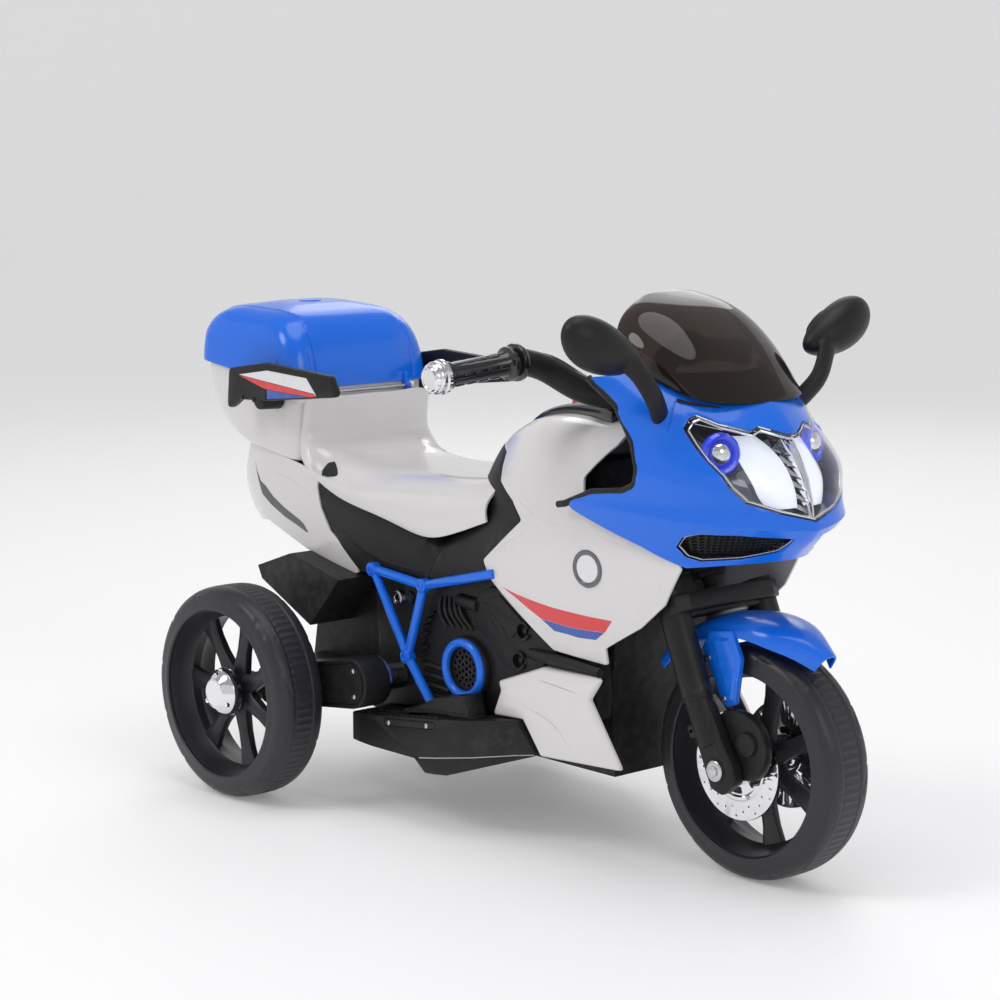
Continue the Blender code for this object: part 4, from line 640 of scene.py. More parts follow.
def plastic(name, base, roughness, drift=0.05, unevenness=0.08, grain=900.0, relief=0.04, worn=None,
            wear=0.25,
            scuffs=0.35, **constants):
    """A moulded plastic: its own tone, grain, edge wear and hairlines."""
    made, tree, shader = blank_material(name, **constants)
    surface = place_group(tree, "Moulded surface", {"Colour": (*base, 1.0), "Roughness": roughness,
                                                    "Drift": drift,
                                                    "Unevenness": unevenness, "Grain scale": grain})
    edges = place_group(tree, "Edge wear", {"Reach": 0.07, "Break-up": 75.0})["Mask"]
    hair = place_group(tree, "Fine scuffs", {"Scale": 26.0, "Amount": scuffs})
    worn = worn or tuple(min(1.0, 0.35 * c + 0.25) for c in base)
    share = value_math(tree, "MULTIPLY", edges, wear)
    tint = node(tree, "ShaderNodeMix", {"Factor": share, 6: surface["Colour"], 7: (*worn, 1.0)},
                data_type="RGBA")[2]
    tree.links.new(tint, shader.inputs["Base Color"])
    dull = value_math(tree, "MULTIPLY_ADD", hair["Mask"], 0.25, surface["Roughness"])
    tree.links.new(dull, shader.inputs["Roughness"])
    height = value_math(tree, "ADD", surface["Height"], hair["Height"])
    bump = node(tree, "ShaderNodeBump", {"Strength": relief, "Distance": 0.0004, "Height": height})["Normal"]
    tree.links.new(bump, shader.inputs["Normal"])
    return made


def metal(name, base, roughness, unevenness, relief, brushed=False, **constants):
    """A plated or turned metal with smudges, and brushing lines where it was turned."""
    made, tree, shader = blank_material(name, metallic=1.0, **constants)
    surface = place_group(tree, "Moulded surface", {"Colour": (*base, 1.0), "Roughness": roughness,
                                                    "Drift": 0.1,
                                                    "Unevenness": unevenness, "Grain scale": 1400.0})
    hair = place_group(tree, "Fine scuffs", {"Scale": 40.0, "Amount": 0.6})
    tree.links.new(surface["Colour"], shader.inputs["Base Color"])
    tree.links.new(value_math(tree, "MULTIPLY_ADD", hair["Mask"], 0.2, surface["Roughness"]),
                   shader.inputs["Roughness"])
    height = surface["Height"]
    if brushed:
        place = node(tree, "ShaderNodeTexCoord")["Object"]
        laid = node(tree, "ShaderNodeMapping", {"Vector": place, "Scale": (900.0, 40.0, 900.0)})["Vector"]
        height = value_math(tree, "ADD", height,
                            node(tree, "ShaderNodeTexNoise", {"Vector": laid, "Scale": 1.0,
                                                              "Detail": 1.0})["Fac"])
    bump = node(tree, "ShaderNodeBump", {"Strength": relief, "Distance": 0.0003, "Height": height})["Normal"]
    tree.links.new(bump, shader.inputs["Normal"])
    return made


def glass(name, base, roughness, **constants):
    """A clear or smoked polycarbonate, with faint waves of the mould and hairlines."""
    made, tree, shader = blank_material(name, **constants)
    surface = place_group(tree, "Moulded surface", {"Colour": (*base, 1.0), "Roughness": roughness,
                                                    "Drift": 0.05,
                                                    "Unevenness": 0.02, "Grain scale": 300.0})
    hair = place_group(tree, "Fine scuffs", {"Scale": 22.0, "Amount": 0.5})
    tree.links.new(surface["Colour"], shader.inputs["Base Color"])
    tree.links.new(value_math(tree, "MULTIPLY_ADD", hair["Mask"], 0.15, surface["Roughness"]),
                   shader.inputs["Roughness"])
    bump = node(tree, "ShaderNodeBump", {"Strength": 0.02, "Distance": 0.0003, "Height": surface["Height"]})
    tree.links.new(bump["Normal"], shader.inputs["Normal"])
    return made


def make_finishes():
    moulded_group()
    wear_group()
    scuff_group()
    white, blue, black, red = colour("white"), colour("blue"), colour("black"), colour("red")
    plastic("white_shell", white, 0.22, 0.03, 0.06, worn=(0.62, 0.6, 0.58), wear=0.15, coat_weight=0.6,
            coat_roughness=0.06)
    plastic("blue_shell", blue, 0.24, 0.06, 0.06, worn=(0.06, 0.26, 0.92), wear=0.25, coat_weight=0.35,
            coat_roughness=0.05, specular_ior_level=0.35)
    plastic("satin_black", black, 0.42, 0.3, 0.16, 1500.0, 0.1, worn=(0.05, 0.05, 0.051), wear=0.4,
            specular_ior_level=0.28)
    plastic("gloss_black", (0.01, 0.01, 0.011), 0.17, 0.2, 0.06, worn=(0.05, 0.05, 0.05), wear=0.4,
            coat_weight=0.5, coat_roughness=0.05)
    plastic("tyre_black", (0.0165, 0.0162, 0.016), 0.47, 0.45, 0.18, 1100.0, 0.16, worn=(0.075, 0.072, 0.07),
            wear=0.5, scuffs=0.9, specular_ior_level=0.35)
    # Near-black for the windscreen's real seal, and for the sheets behind the grilles, where it is painted
    # shade.
    plastic("seam_black", (0.006, 0.006, 0.006), 0.6, 0.2, 0.1, 1300.0, 0.08, wear=0.0)
    plastic("red_switch", red, 0.28, 0.08, 0.06, coat_weight=0.3)
    plastic("yellow_button", (0.85, 0.52, 0.03), 0.32, 0.08, 0.06)
    plastic("battery_case", (0.085, 0.088, 0.095), 0.5, 0.25, 0.15, 700.0, 0.1)
    inks = (("ink_red", red, 0.05), ("ink_blue", (0.012, 0.075, 0.42), 0.05),
            ("ink_black", (0.012, 0.012, 0.014), 0.05), ("ink_white", (0.8, 0.8, 0.81), 0.03),
            ("ink_grey", (0.11, 0.11, 0.125), 0.05))
    for name, base, drift in inks:
        plastic(name, base, 0.2, drift, 0.05, relief=0.02, wear=0.1, coat_weight=0.7, coat_roughness=0.04)
    plastic("lamp_blue", (0.03, 0.06, 0.85), 0.12, 0.1, 0.05, relief=0.02, wear=0.0, coat_weight=0.8,
            emission_strength=0.25, emission_color=(0.05, 0.1, 1.0, 1.0))
    # The white lamp plastic's emission is painted light: a glow that stands in for the light the clear cover
    # keeps from the sweep.
    plastic("lamp_white", (0.88, 0.9, 0.95), 0.18, 0.03, 0.06, relief=0.05, wear=0.0, coat_weight=0.5,
            emission_strength=0.55, emission_color=(0.85, 0.9, 1.0, 1.0))
    metal("chrome", (0.8, 0.8, 0.82), 0.07, 0.05, 0.03)
    metal("grey_plating", (0.42, 0.42, 0.44), 0.24, 0.12, 0.05)
    # This plating is darkened as painted shade of the lamp's hollow, for the reflector bowl and its skirt.
    metal("dark_plating", (0.13, 0.13, 0.16), 0.12, 0.1, 0.04)
    metal("bright_steel", (0.6, 0.6, 0.62), 0.24, 0.12, 0.08, brushed=True)
    glass("tinted_screen", colour("smoke"), 0.045, transmission_weight=0.75, ior=1.4)
    glass("lens_plastic", (0.965, 0.975, 0.99), 0.02, transmission_weight=1.0, ior=1.3)


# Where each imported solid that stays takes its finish
KEPT_NODES = {"satin_black": ("chassis", "steering_bush", "battery", "steering_column"),
              "bright_steel": ("rear_axle", "drive_motor", "lid_hinge_pin")}


def dress_kept_nodes():
    for finish, nodes in KEPT_NODES.items():
        for name in nodes:
            kept = bpy.data.objects[name]
            look = bpy.data.materials["battery_case" if name == "battery" else finish]
            if kept.material_slots:
                for holder in kept.material_slots:
                    holder.material = look
            else:
                kept.data.materials.append(look)


# Surfaces that several pieces share
def skin_tree(rows):
    """A surface to cast rays at, from section rows."""
    wide = len(rows[0])
    points = [p for row in rows for p in row]
    faces = [(r * wide + c, r * wide + c + 1, (r + 1) * wide + c + 1, (r + 1) * wide + c)
             for r in range(len(rows) - 1) for c in range(wide - 1)]
    return BVHTree.FromPolygons(points, faces)


def hit(tree, start, direction):
    """The first point of a surface along a ray, with its outward normal."""
    place, normal = tree.ray_cast(Vector(start), Vector(direction))[:2]
    if place is None:
        raise ValueError("a detail lies off its surface")
    if normal.dot(Vector(direction)) > 0:
        normal = -normal
    return place, normal


def from_side(tree, side, dx, dz):
    """A point of a skin at a side-view place measured from the front axle."""
    return hit(tree, (FRONT_HUB.x + dx, side * 0.5, FRONT_HUB.z + dz), (0.0, -side, 0.0))


def from_ahead(tree, dy, dz):
    """A point of a skin at a front-view place."""
    return hit(tree, (FRONT_HUB.x + 0.4, dy, FRONT_HUB.z + dz), (-1.0, 0.0, 0.0))


def body_rows():
    """Section rows of the tank and flanks, from the right side over the top to the left."""
    deck = [(-0.7, (0.0, 0.29), (0.05, 0.294), (0.088, 0.297), (0.101, 0.296), (0.1185, 0.235),
             (0.1175, 0.185), (0.112, 0.145)),
            (-0.63, (0.0, 0.25), (0.05, 0.256), (0.09, 0.263), (0.111, 0.262), (0.1185, 0.22),
             (0.1175, 0.18), (0.112, 0.14)),
            (-0.545, (0.0, 0.23), (0.05, 0.235), (0.088, 0.24), (0.11, 0.238), (0.1175, 0.205),
             (0.1165, 0.175), (0.111, 0.135)),
            (-0.475, (0.0, 0.222), (0.045, 0.225), (0.082, 0.228), (0.107, 0.225), (0.1165, 0.196),
             (0.116, 0.17), (0.11, 0.13))]
    tank = [(-0.447, (0.0, 0.3), (0.014, 0.292), (0.032, 0.262), (0.072, 0.232), (0.106, 0.212),
             (0.115, 0.168), (0.109, 0.125)),
            (-0.43, (0.0, 0.326), (0.028, 0.316), (0.05, 0.286), (0.08, 0.25), (0.108, 0.218),
             (0.115, 0.168), (0.109, 0.12)),
            (-0.405, (0.0, 0.353), (0.04, 0.341), (0.066, 0.308), (0.09, 0.268), (0.111, 0.225),
             (0.1165, 0.168), (0.109, 0.11)),
            (-0.366, (0.0, 0.374), (0.05, 0.362), (0.08, 0.33), (0.103, 0.285), (0.117, 0.23),
             (0.12, 0.168), (0.11, 0.1)),
            (-0.311, (0.0, 0.385), (0.06, 0.373), (0.093, 0.34), (0.114, 0.295), (0.1245, 0.235),
             (0.124, 0.168), (0.11, 0.095)),
            (-0.241, (0.0, 0.388), (0.066, 0.376), (0.1, 0.342), (0.12, 0.297), (0.129, 0.235),
             (0.126, 0.168), (0.11, 0.09)),
            (-0.161, (0.0, 0.385), (0.066, 0.372), (0.101, 0.338), (0.12, 0.294), (0.1265, 0.235),
             (0.119, 0.165), (0.103, 0.088)),
            (-0.081, (0.0, 0.37), (0.064, 0.356), (0.097, 0.324), (0.112, 0.284), (0.115, 0.232),
             (0.105, 0.165), (0.093, 0.095)),
            (-0.02, (0.0, 0.35), (0.056, 0.338), (0.086, 0.31), (0.099, 0.275), (0.101, 0.23),
             (0.093, 0.175), (0.084, 0.12))]
    rows = []
    for dx, *section in deck + tank:
        half = [front(dx, -y, dz) for y, dz in section]
        rows.append(both_sides(half))
    return rows


def fair_body():
    return fair_rows(body_rows(), along=4, across=4, row_creases=(3,))


KNEE_LINE = [(-0.44, 0.45), (-0.425, 0.347), (-0.362, 0.336), (-0.345, 0.304), (-0.308, 0.285),
             (-0.284, 0.264),
             (-0.358, 0.206)]
WHITE_LINE = [*KNEE_LINE, (-0.345, 0.186), (-0.236, 0.11), (-0.152, 0.103), (-0.152, 0.124), (-0.097, 0.156),
              (-0.06, 0.188), (-0.034, 0.234), (-0.05, 0.262), (-0.18, 0.3), (-0.19, 0.325),
              (-0.165, 0.363), (-0.17, 0.45)]
BLACK_LINE = [*KNEE_LINE, (-0.349, 0.186), (-0.48, 0.153), (-0.579, 0.162), (-0.606, 0.156), (-0.644, 0.188),
              (-0.692, 0.243), (-0.6885, 0.275), (-0.695, 0.33), (-0.56, 0.33)]
HALF_SPAN = 0.17
SEAM = 0.0003
SHELL_WALL = 0.003

NOSE_LEVELS = (
    (0.232, (0.034, 0.0), (0.022, 0.035), (0.0, 0.068), (-0.03, 0.098), (-0.075, 0.117), (-0.13, 0.125),
     (-0.21, 0.127)),
    (0.255, (0.05, 0.0), (0.04, 0.037), (0.014, 0.075), (-0.018, 0.105), (-0.07, 0.124), (-0.13, 0.132),
     (-0.21, 0.134)),
    (0.273, (0.068, 0.0), (0.058, 0.039), (0.034, 0.079), (0.001, 0.109), (-0.062, 0.13), (-0.126, 0.137),
     (-0.21, 0.138)),
    (0.292, (0.079, 0.0), (0.07, 0.042), (0.049, 0.083), (0.016, 0.114), (-0.051, 0.135), (-0.121, 0.142),
     (-0.21, 0.142)),
    (0.308, (0.0775, 0.0), (0.068, 0.042), (0.046, 0.0815), (0.012, 0.1125), (-0.052, 0.1335),
     (-0.117, 0.1415),
     (-0.2, 0.143)),
    (0.34, (0.069, 0.0), (0.061, 0.042), (0.042, 0.083), (0.01, 0.115), (-0.045, 0.137), (-0.1, 0.146),
     (-0.17, 0.148)),
    (0.38, (0.046, 0.0), (0.036, 0.042), (0.014, 0.081), (-0.018, 0.111), (-0.062, 0.134), (-0.105, 0.147),
     (-0.15, 0.15)),
    (0.41, (0.02, 0.0), (0.008, 0.042), (-0.016, 0.08), (-0.044, 0.112), (-0.08, 0.135), (-0.112, 0.147),
     (-0.15, 0.152)),
    (0.435, (-0.012, 0.0), (-0.022, 0.04), (-0.044, 0.075), (-0.072, 0.106), (-0.101, 0.131), (-0.13, 0.146),
     (-0.15, 0.153)),
    (0.465, (-0.052, 0.0), (-0.062, 0.036), (-0.086, 0.068), (-0.112, 0.097), (-0.13, 0.124), (-0.145, 0.145),
     (-0.155, 0.155)))
RIDGE_LEVEL = 3
RIDGE_RISE = (0.0, -0.004, -0.006, -0.011, -0.006, 0.0, 0.0, 0.0, 0.0, 0.0)
OPENING_BAND = [(-0.205, 0.2935), (-0.1925, 0.296), (-0.145, 0.315), (-0.095, 0.321), (-0.0755, 0.33),
                (-0.07, 0.3492), (-0.08, 0.38), (-0.105, 0.421), (-0.1345, 0.441), (-0.144, 0.45)]
NOSE_LINE = [(0.1, 0.246), (0.06, 0.246), (-0.03, 0.236), (-0.08, 0.259), *OPENING_BAND[1:],
             (-0.1, 0.455), (0.1, 0.455)]
LENS_HALF = [(0.0, 0.389), (-0.008, 0.389), (-0.037, 0.399), (-0.05, 0.394), (-0.074, 0.402), (-0.089, 0.412),
             (-0.099, 0.408), (-0.108, 0.398), (-0.107, 0.364), (-0.096, 0.333), (-0.082, 0.317),
             (-0.047, 0.304),
             (0.0, 0.292)]
GRILLE_LINE = [(-0.1195, 0.276), (-0.1133, 0.2811), (-0.085, 0.2801), (-0.0216, 0.2732), (-0.029, 0.2565),
               (-0.0615, 0.248), (-0.0935, 0.245), (-0.1058, 0.25), (-0.116, 0.262)]


def nose_rows():
    """Levels of the nose from the lip up; the ridge under the lamp drops towards the prow."""
    rows = []
    for (height, *plan), drop in zip(NOSE_LEVELS, RIDGE_RISE):
        half = []
        for place, (dx, y) in enumerate(plan):
            share = place / (len(plan) - 1)
            half.append(front(dx, -y, height + drop * (1.0 - 2.0 * share)))
        rows.append(both_sides(half))
    return rows


def fair_nose():
    centre = len(NOSE_LEVELS[0]) - 2
    return fair_rows(nose_rows(), along=5, across=5, row_creases=(RIDGE_LEVEL,), point_creases=(centre,))


def lens_line(margin=0.0):
    """The lamp's outline in front view, both halves, moved inwards by a margin."""
    near = LENS_HALF[1:-1]
    ring = [LENS_HALF[0]] + near + [LENS_HALF[-1]] + [(-y, dz) for y, dz in reversed(near)]
    return inset([(y, FRONT_HUB.z + dz) for y, dz in ring], margin)


def inset(outline, margin):
    """Move a closed outline inwards by a margin, mitring its corners."""
    area = sum(a[0] * b[1] - b[0] * a[1] for a, b in zip(outline, outline[1:] + outline[:1]))
    turn = 1.0 if area > 0 else -1.0
    moved = []
    for before, here, after in zip(outline[-1:] + outline[:-1], outline, outline[1:] + outline[:1]):
        first = Vector((here[0] - before[0], here[1] - before[1])).normalized()
        second = Vector((after[0] - here[0], after[1] - here[1])).normalized()
        normal_one = Vector((-first.y, first.x)) * turn
        normal_two = Vector((-second.y, second.x)) * turn
        middle = (normal_one + normal_two).normalized()
        reach = margin / max(0.35, middle.dot(normal_one))
        moved.append((here[0] + middle.x * reach, here[1] + middle.y * reach))
    return moved


def screw_head(name, place, normal, radius=None):
    """A pan-head screw with a cross recess, seated on a surface."""
    radius = radius or size("screw")
    normal = Vector(normal).normalized()
    dome = [(radius, -0.0006), (radius, 0.0003), (radius * 0.92, radius * 0.3),
            (radius * 0.62, radius * 0.48),
            (0.0, radius * 0.54), (0.0, -0.0006)]
    made = turned(name, place, dome, axis=normal, steps=20)
    across = normal.orthogonal().normalized()
    for bar in (across, normal.cross(across)):
        frame_turn = Matrix((bar, normal.cross(bar), normal)).transposed().to_4x4()
        slot = slab("slot", (-radius * 0.55, -radius * 0.12, radius * 0.28),
                    (radius * 0.55, radius * 0.12, radius))
        slot.data.transform(Matrix.Translation(place) @ frame_turn)
        cut(made, slot)
    return made


def add_screws(body, places, radius=None):
    """Screws at (name, point, normal), each its own piece."""
    for name, place, normal in places:
        show(screw_head(name, place, normal, radius), body, "bright_steel")


# Wheels
TYRE_POINTS = 264
SECTORS = 12
TREAD_RIBS = 88
RIM_OPENING = 0.1127
WELL_RADIUS = 0.1
HUB_RADIUS = 0.022
HUB_HALF = 0.029
BORE_RADIUS = 0.0056
SPOKES = 7


def tread_lowering(share_round, radius, side):
    """How far the tread is sunk at a place: fine ribs in the middle, bent grooves on the shoulders."""
    depth = size("tread_depth")
    reach = abs(side)
    if reach < 0.0125:
        return depth if (share_round * TREAD_RIBS) % 1.0 < 0.36 else 0.0
    if reach < 0.015:
        return depth * 0.9
    if reach < 0.0185 or reach > 0.0375 or radius < RIM_OPENING + 0.004:
        return 0.0
    stagger = 0.5 if side > 0 else 0.0
    place = (share_round * SECTORS + stagger) % 1.0
    run = (reach - 0.0185) / 0.019
    bent = 0.25 + 0.5 * min(1.0, run * 1.6) if run < 0.62 else 0.75 - (run - 0.62) * 0.2
    on_arm = abs(place - bent) < 0.045
    on_foot = run > 0.62 and 0.4 < place < bent and abs(run - 0.68) < 0.1
    return depth * 1.1 if on_arm or on_foot else 0.0


def tyre():
    """The tread and side walls as a closed ring about the origin, with its pattern sunk in."""
    r = WHEEL_RADIUS
    half = fair_curve([Vector((r - 0.0002, 0.0, 0.0)), Vector((r - 0.0004, 0.012, 0.0)),
                       Vector((r - 0.001, 0.02, 0.0)), Vector((r - 0.0042, 0.03, 0.0)),
                       Vector((r - 0.011, 0.0356, 0.0)), Vector((r - 0.019, 0.0372, 0.0)),
                       Vector((RIM_OPENING + 0.002, 0.0384, 0.0))], 4)
    half = [(p.x, p.y) for p in half]
    lip = [(RIM_OPENING, 0.039), (RIM_OPENING - 0.002, 0.0388), (RIM_OPENING - 0.0032, 0.0374),
           (RIM_OPENING - 0.003, 0.034), (RIM_OPENING - 0.0016, 0.03)]
    ring = [(a, -b) for a, b in reversed(lip)] + [(a, -b) for a, b in reversed(half[1:])] + half + lip
    rows = []
    for step in range(TYRE_POINTS + 1):
        share = (step % TYRE_POINTS) / TYRE_POINTS
        turn = math.tau * share
        row = []
        for radius, side in ring + ring[:1]:
            lowered = radius - tread_lowering(share, radius, side)
            row.append(Vector((lowered * math.cos(turn), side, lowered * math.sin(turn))))
        rows.append(row)
    return tidy_shell(sheet("tyre", rows), 0.000002)


def spoke(turn):
    """One broad spoke with a twisted ridge on each face, widest at the hub and the rim."""
    stations = ((0.0195, 0.015, 0.0105, 0.3), (0.034, 0.0118, 0.0112, 0.3), (0.055, 0.0096, 0.0105, 0.05),
                (0.078, 0.011, 0.0095, -0.3), (0.096, 0.015, 0.0085, -0.55), (0.104, 0.019, 0.008, -0.65))
    rings = []
    for radius, half, high, ridge in stations:
        low = high * 0.46
        section = [(-half, -low), (ridge * half, -high), (half, -low), (half, low), (-ridge * half, high),
                   (-half, low)]
        rings.append([Vector((radius * math.cos(turn) - t * math.sin(turn), side,
                              radius * math.sin(turn) + t * math.cos(turn))) for t, side in section])
    made = loft("spoke", rings)
    return soft_edges(made, 0.0012, 2, 20.0)


def rim():
    """The deep well, its web ring and the hub, with the spokes let in."""
    half = [(RIM_OPENING - 0.0014, 0.035), (RIM_OPENING - 0.0048, 0.0355), (RIM_OPENING - 0.007, 0.025),
            (WELL_RADIUS + 0.0015, 0.01), (WELL_RADIUS - 0.0015, 0.0062)]
    well = [(RIM_OPENING + 0.004, 0.033)] + half
    made = turned("rim", (0, 0, 0), well + [(r, -y) for r, y in reversed(well)], steps=96)
    collar = [(HUB_RADIUS, 0.0), (HUB_RADIUS, 0.0215), (HUB_RADIUS - 0.0015, 0.0235),
              (HUB_RADIUS - 0.004, 0.024),
              (HUB_RADIUS - 0.005, HUB_HALF - 0.001), (HUB_RADIUS - 0.006, HUB_HALF), (BORE_RADIUS, HUB_HALF)]
    hub = turned("hub", (0, 0, 0), collar + [(r, -y) for r, y in reversed(collar[1:])], steps=48)
    join(made, *[spoke(math.tau * (n + 0.5) / SPOKES) for n in range(SPOKES)])
    return join(made, hub)


def wheels():
    ring, middle = tyre(), rim()
    smooth(ring, 32.0)
    whole = gather(ring, middle)
    for name, hub, body in (("front", FRONT_HUB, "front_wheel"), ("rear_left", LEFT_HUB, "left_wheel"),
                            ("rear_right", RIGHT_HUB, "right_wheel")):
        made = copy_of(whole, f"{name}_wheel_moulding")
        made.data.transform(Matrix.Translation(hub))
        show(made, body, "tyre_black", (f"wheel_{name}",), 32.0)
    bpy.data.objects.remove(whole, do_unlink=True)


CAP_RADIUS = 0.031
CAP_FACE = 0.0424


def hub_cap(name, hub, side):
    """A plated dome with a flat face, three bolt bosses and a locating tab, open towards the wheel."""
    base = HUB_HALF + 0.0005
    wall = [(CAP_RADIUS, base - 0.01), (CAP_RADIUS, base + 0.0005), (CAP_RADIUS - 0.0008, base + 0.002),
            (CAP_RADIUS - 0.0035, base + 0.0052), (CAP_RADIUS - 0.0072, base + 0.0088),
            (CAP_RADIUS - 0.0112, CAP_FACE - 0.0012), (CAP_RADIUS - 0.0122, CAP_FACE - 0.0003),
            (CAP_RADIUS - 0.0132, CAP_FACE), (CAP_RADIUS - 0.0142, CAP_FACE - 0.0007),
            (0.0, CAP_FACE - 0.0007),
            (0.0, CAP_FACE - 0.003), (CAP_RADIUS - 0.014, CAP_FACE - 0.003),
            (CAP_RADIUS - 0.0045, base + 0.001),
            (CAP_RADIUS - 0.004, base - 0.01)]
    made = turned(name, hub, [(r, side * y) for r, y in wall], steps=72)
    for n in range(3):
        turn = math.radians(92 + 120 * n)
        reach = CAP_RADIUS - 0.007
        foot = hub + Vector((reach * math.cos(turn), side * (base + 0.005), reach * math.sin(turn)))
        boss = rod("boss", foot, foot + Vector((0.0, side * 0.005, 0.0)), 0.004, 0.0034, 24, 0.0008)
        well = rod("well", foot + Vector((0.0, side * 0.0038, 0.0)), foot + Vector((0.0, side * 0.008, 0.0)),
                   0.0021, None, 6)
        join(made, cut(boss, well))
    tab_low = hub + Vector((-0.004, side * (base - 0.006), CAP_RADIUS - 0.002))
    return join(made, slab("tab", tab_low, tab_low + Vector((0.008, side * 0.009, 0.0038)), 0.0012))


def hub_caps():
    for name, hub, side, body in (("hub_cap_left", LEFT_HUB, LEFT, "left_wheel"),
                                  ("hub_cap_right", RIGHT_HUB, RIGHT, "right_wheel")):
        show(hub_cap(f"{name}_dome", hub, side), body, "chrome", (name,), 30.0)


DISC_RADIUS = 0.065
DISC_OUT = 0.04


def brake_disc(name, side):
    """A plated disc with two rows of holes, windows round its carrier and a raised hub."""
    out = DISC_OUT
    wall = [(DISC_RADIUS - 0.0006, out), (DISC_RADIUS, out + 0.0008), (DISC_RADIUS - 0.0006, out + 0.003),
            (0.0425, out + 0.003), (0.0405, out + 0.0044), (0.037, out + 0.0044), (0.035, out + 0.0022),
            (0.023, out + 0.0022), (0.02, out + 0.0048), (BORE_RADIUS, out + 0.006),
            (BORE_RADIUS, HUB_HALF + 0.0005),
            (0.018, HUB_HALF + 0.0005), (0.02, out)]
    made = turned(name, FRONT_HUB, [(r, side * y) for r, y in wall], steps=96)
    drills = []
    for n in range(36):
        reach = (DISC_RADIUS - 0.0055, DISC_RADIUS - 0.0105, DISC_RADIUS - 0.0155)[n % 3]
        turn = math.tau * (n + 0.15 * (n % 3)) / 36
        middle = FRONT_HUB + Vector((reach * math.cos(turn), side * out, reach * math.sin(turn)))
        drills.append(rod("drill", middle - Vector((0, 0.008, 0)), middle + Vector((0, 0.008, 0)), 0.0013,
                          None, 10))
    for n in range(6):
        turn = math.tau * (n + 0.5) / 6
        spread = math.radians(15)
        arc = [(0.0335, turn - spread), (0.0335, turn), (0.0335, turn + spread), (0.025, turn + spread),
               (0.025, turn), (0.025, turn - spread)]
        outline = [(FRONT_HUB.x + r * math.cos(t), FRONT_HUB.z + r * math.sin(t)) for r, t in arc]
        drills.append(block("window", rounded(outline, 0.002, 3), side * out - 0.01, side * out + 0.01))
    drill = gather(*drills)
    return cut(made, drill)


def brake_discs():
    for side, label in SIDES:
        made = brake_disc(f"brake_disc_{label}_plated", side)
        show(soft_edges(made, 0.0002, 1, 50.0), "front_wheel", "chrome",
             (f"brake_disc_{label}",), 30.0)
        rivets = []
        for n in range(6):
            turn = math.tau * n / 6
            place = FRONT_HUB + Vector((0.0388 * math.cos(turn), side * (DISC_OUT + 0.004),
                                        0.0388 * math.sin(turn)))
            rivets.append(rod("rivet", place, place + Vector((0.0, side * 0.0016, 0.0)), 0.003, 0.0024, 16,
                              0.0004))
        rivets[0].name = f"disc_rivets_{label}"
        show(gather(*rivets), "front_wheel", "grey_plating")


# Front fork and mudguard
FORK_HALF = 0.074
FORK_TUBE = 0.0185
FORK_TOP = 0.196
SHOE_OUT = 0.081
COVER_OUT = 0.0615


def side_block(name, points, side, low, high, edge=0.0015, place=None):
    """A side-view outline with rounded corners, extruded between two distances from the middle."""
    line = (place or front_line)(points)
    made = block(name, rounded(line, 0.004, 4), *beside(side, low, high))
    return soft_edges(made, edge, 2, 35.0) if edge else made


def shoe_line(points):
    """An outline given ahead of and along the steering axis, as a side view."""
    made = []
    for ahead, along, *radius in points:
        p = steer(along, 0.0, ahead)
        made.append((p.x, p.z, *radius))
    return made


def fork_leg(name, side):
    """A tapered tube stepping into a flat shoe with a raised spine, a bracket boss and the axle seat."""
    upper = tube(name, [steer(0.088, side * FORK_HALF), steer(0.12, side * FORK_HALF),
                        steer(0.17, side * FORK_HALF), steer(FORK_TOP + 0.016, side * FORK_HALF)],
                 FORK_TUBE, fine=3, sides=14)
    collar = rod("collar", steer(0.084, side * FORK_HALF), steer(0.0925, side * FORK_HALF), FORK_TUBE
                 - 0.0006,
                 FORK_TUBE + 0.0004, 48, 0.0012)
    lower = rod("lower", steer(0.03, side * (FORK_HALF - 0.002)), steer(0.088, side * FORK_HALF), 0.015,
                0.0172,
                48, 0.002)
    outline = shoe_line([(-0.0188, 0.076), (0.0165, 0.076), (0.0205, 0.03), (0.0265, 0.0), (0.0235, -0.0215),
                         (-0.002, -0.0295), (-0.0165, -0.0175), (-0.0175, 0.03)])
    shoe = block("shoe", rounded(outline, 0.006, 5), *beside(side, SHOE_OUT - 0.019, SHOE_OUT - 0.0015))
    soft_edges(shoe, 0.003, 4, 35.0)
    spine = rod("spine", steer(-0.012, side * (SHOE_OUT - 0.0105), 0.0125),
                steer(0.078, side * (SHOE_OUT - 0.0105), 0.006),
                0.0085, 0.0115, 40, 0.003)
    seat = rod("seat", front(0, side * (SHOE_OUT - 0.004), 0), front(0, side * (SHOE_OUT - 0.0002), 0),
               0.0158, 0.0148,
               48, 0.0008)
    bracket = slab("bracket", (-0.006, -0.0045, -0.0075), (0.006, 0.0045, 0.0075), 0.0018)
    bracket.data.transform(Matrix.Translation(steer(0.052, side * (FORK_HALF + 0.0035), -0.0175))
                           @ Matrix.Rotation(-RAKE, 4, "Y"))
    join(upper, collar, lower, shoe, spine, seat, bracket)
    hole_at = steer(0.052, side * (FORK_HALF + 0.006), -0.0185)
    hole = rod("hole", hole_at - Vector((0, 0.012, 0)), hole_at + Vector((0, 0.012, 0)), 0.0024, None, 20)
    bore = rod("bore", front(0, side * 0.04, 0), front(0, side * 0.12, 0), BORE_RADIUS, None, 32)
    line = steer(0.0895, side * FORK_HALF)
    step_line = rod("line", line - STEER_AXIS * 0.0006, line + STEER_AXIS * 0.0006, 0.024, None, 48)
    core = rod("core", line - STEER_AXIS * 0.002, line + STEER_AXIS * 0.002, FORK_TUBE - 0.0012, None, 48)
    return cut(upper, hole, bore, cut(step_line, core))


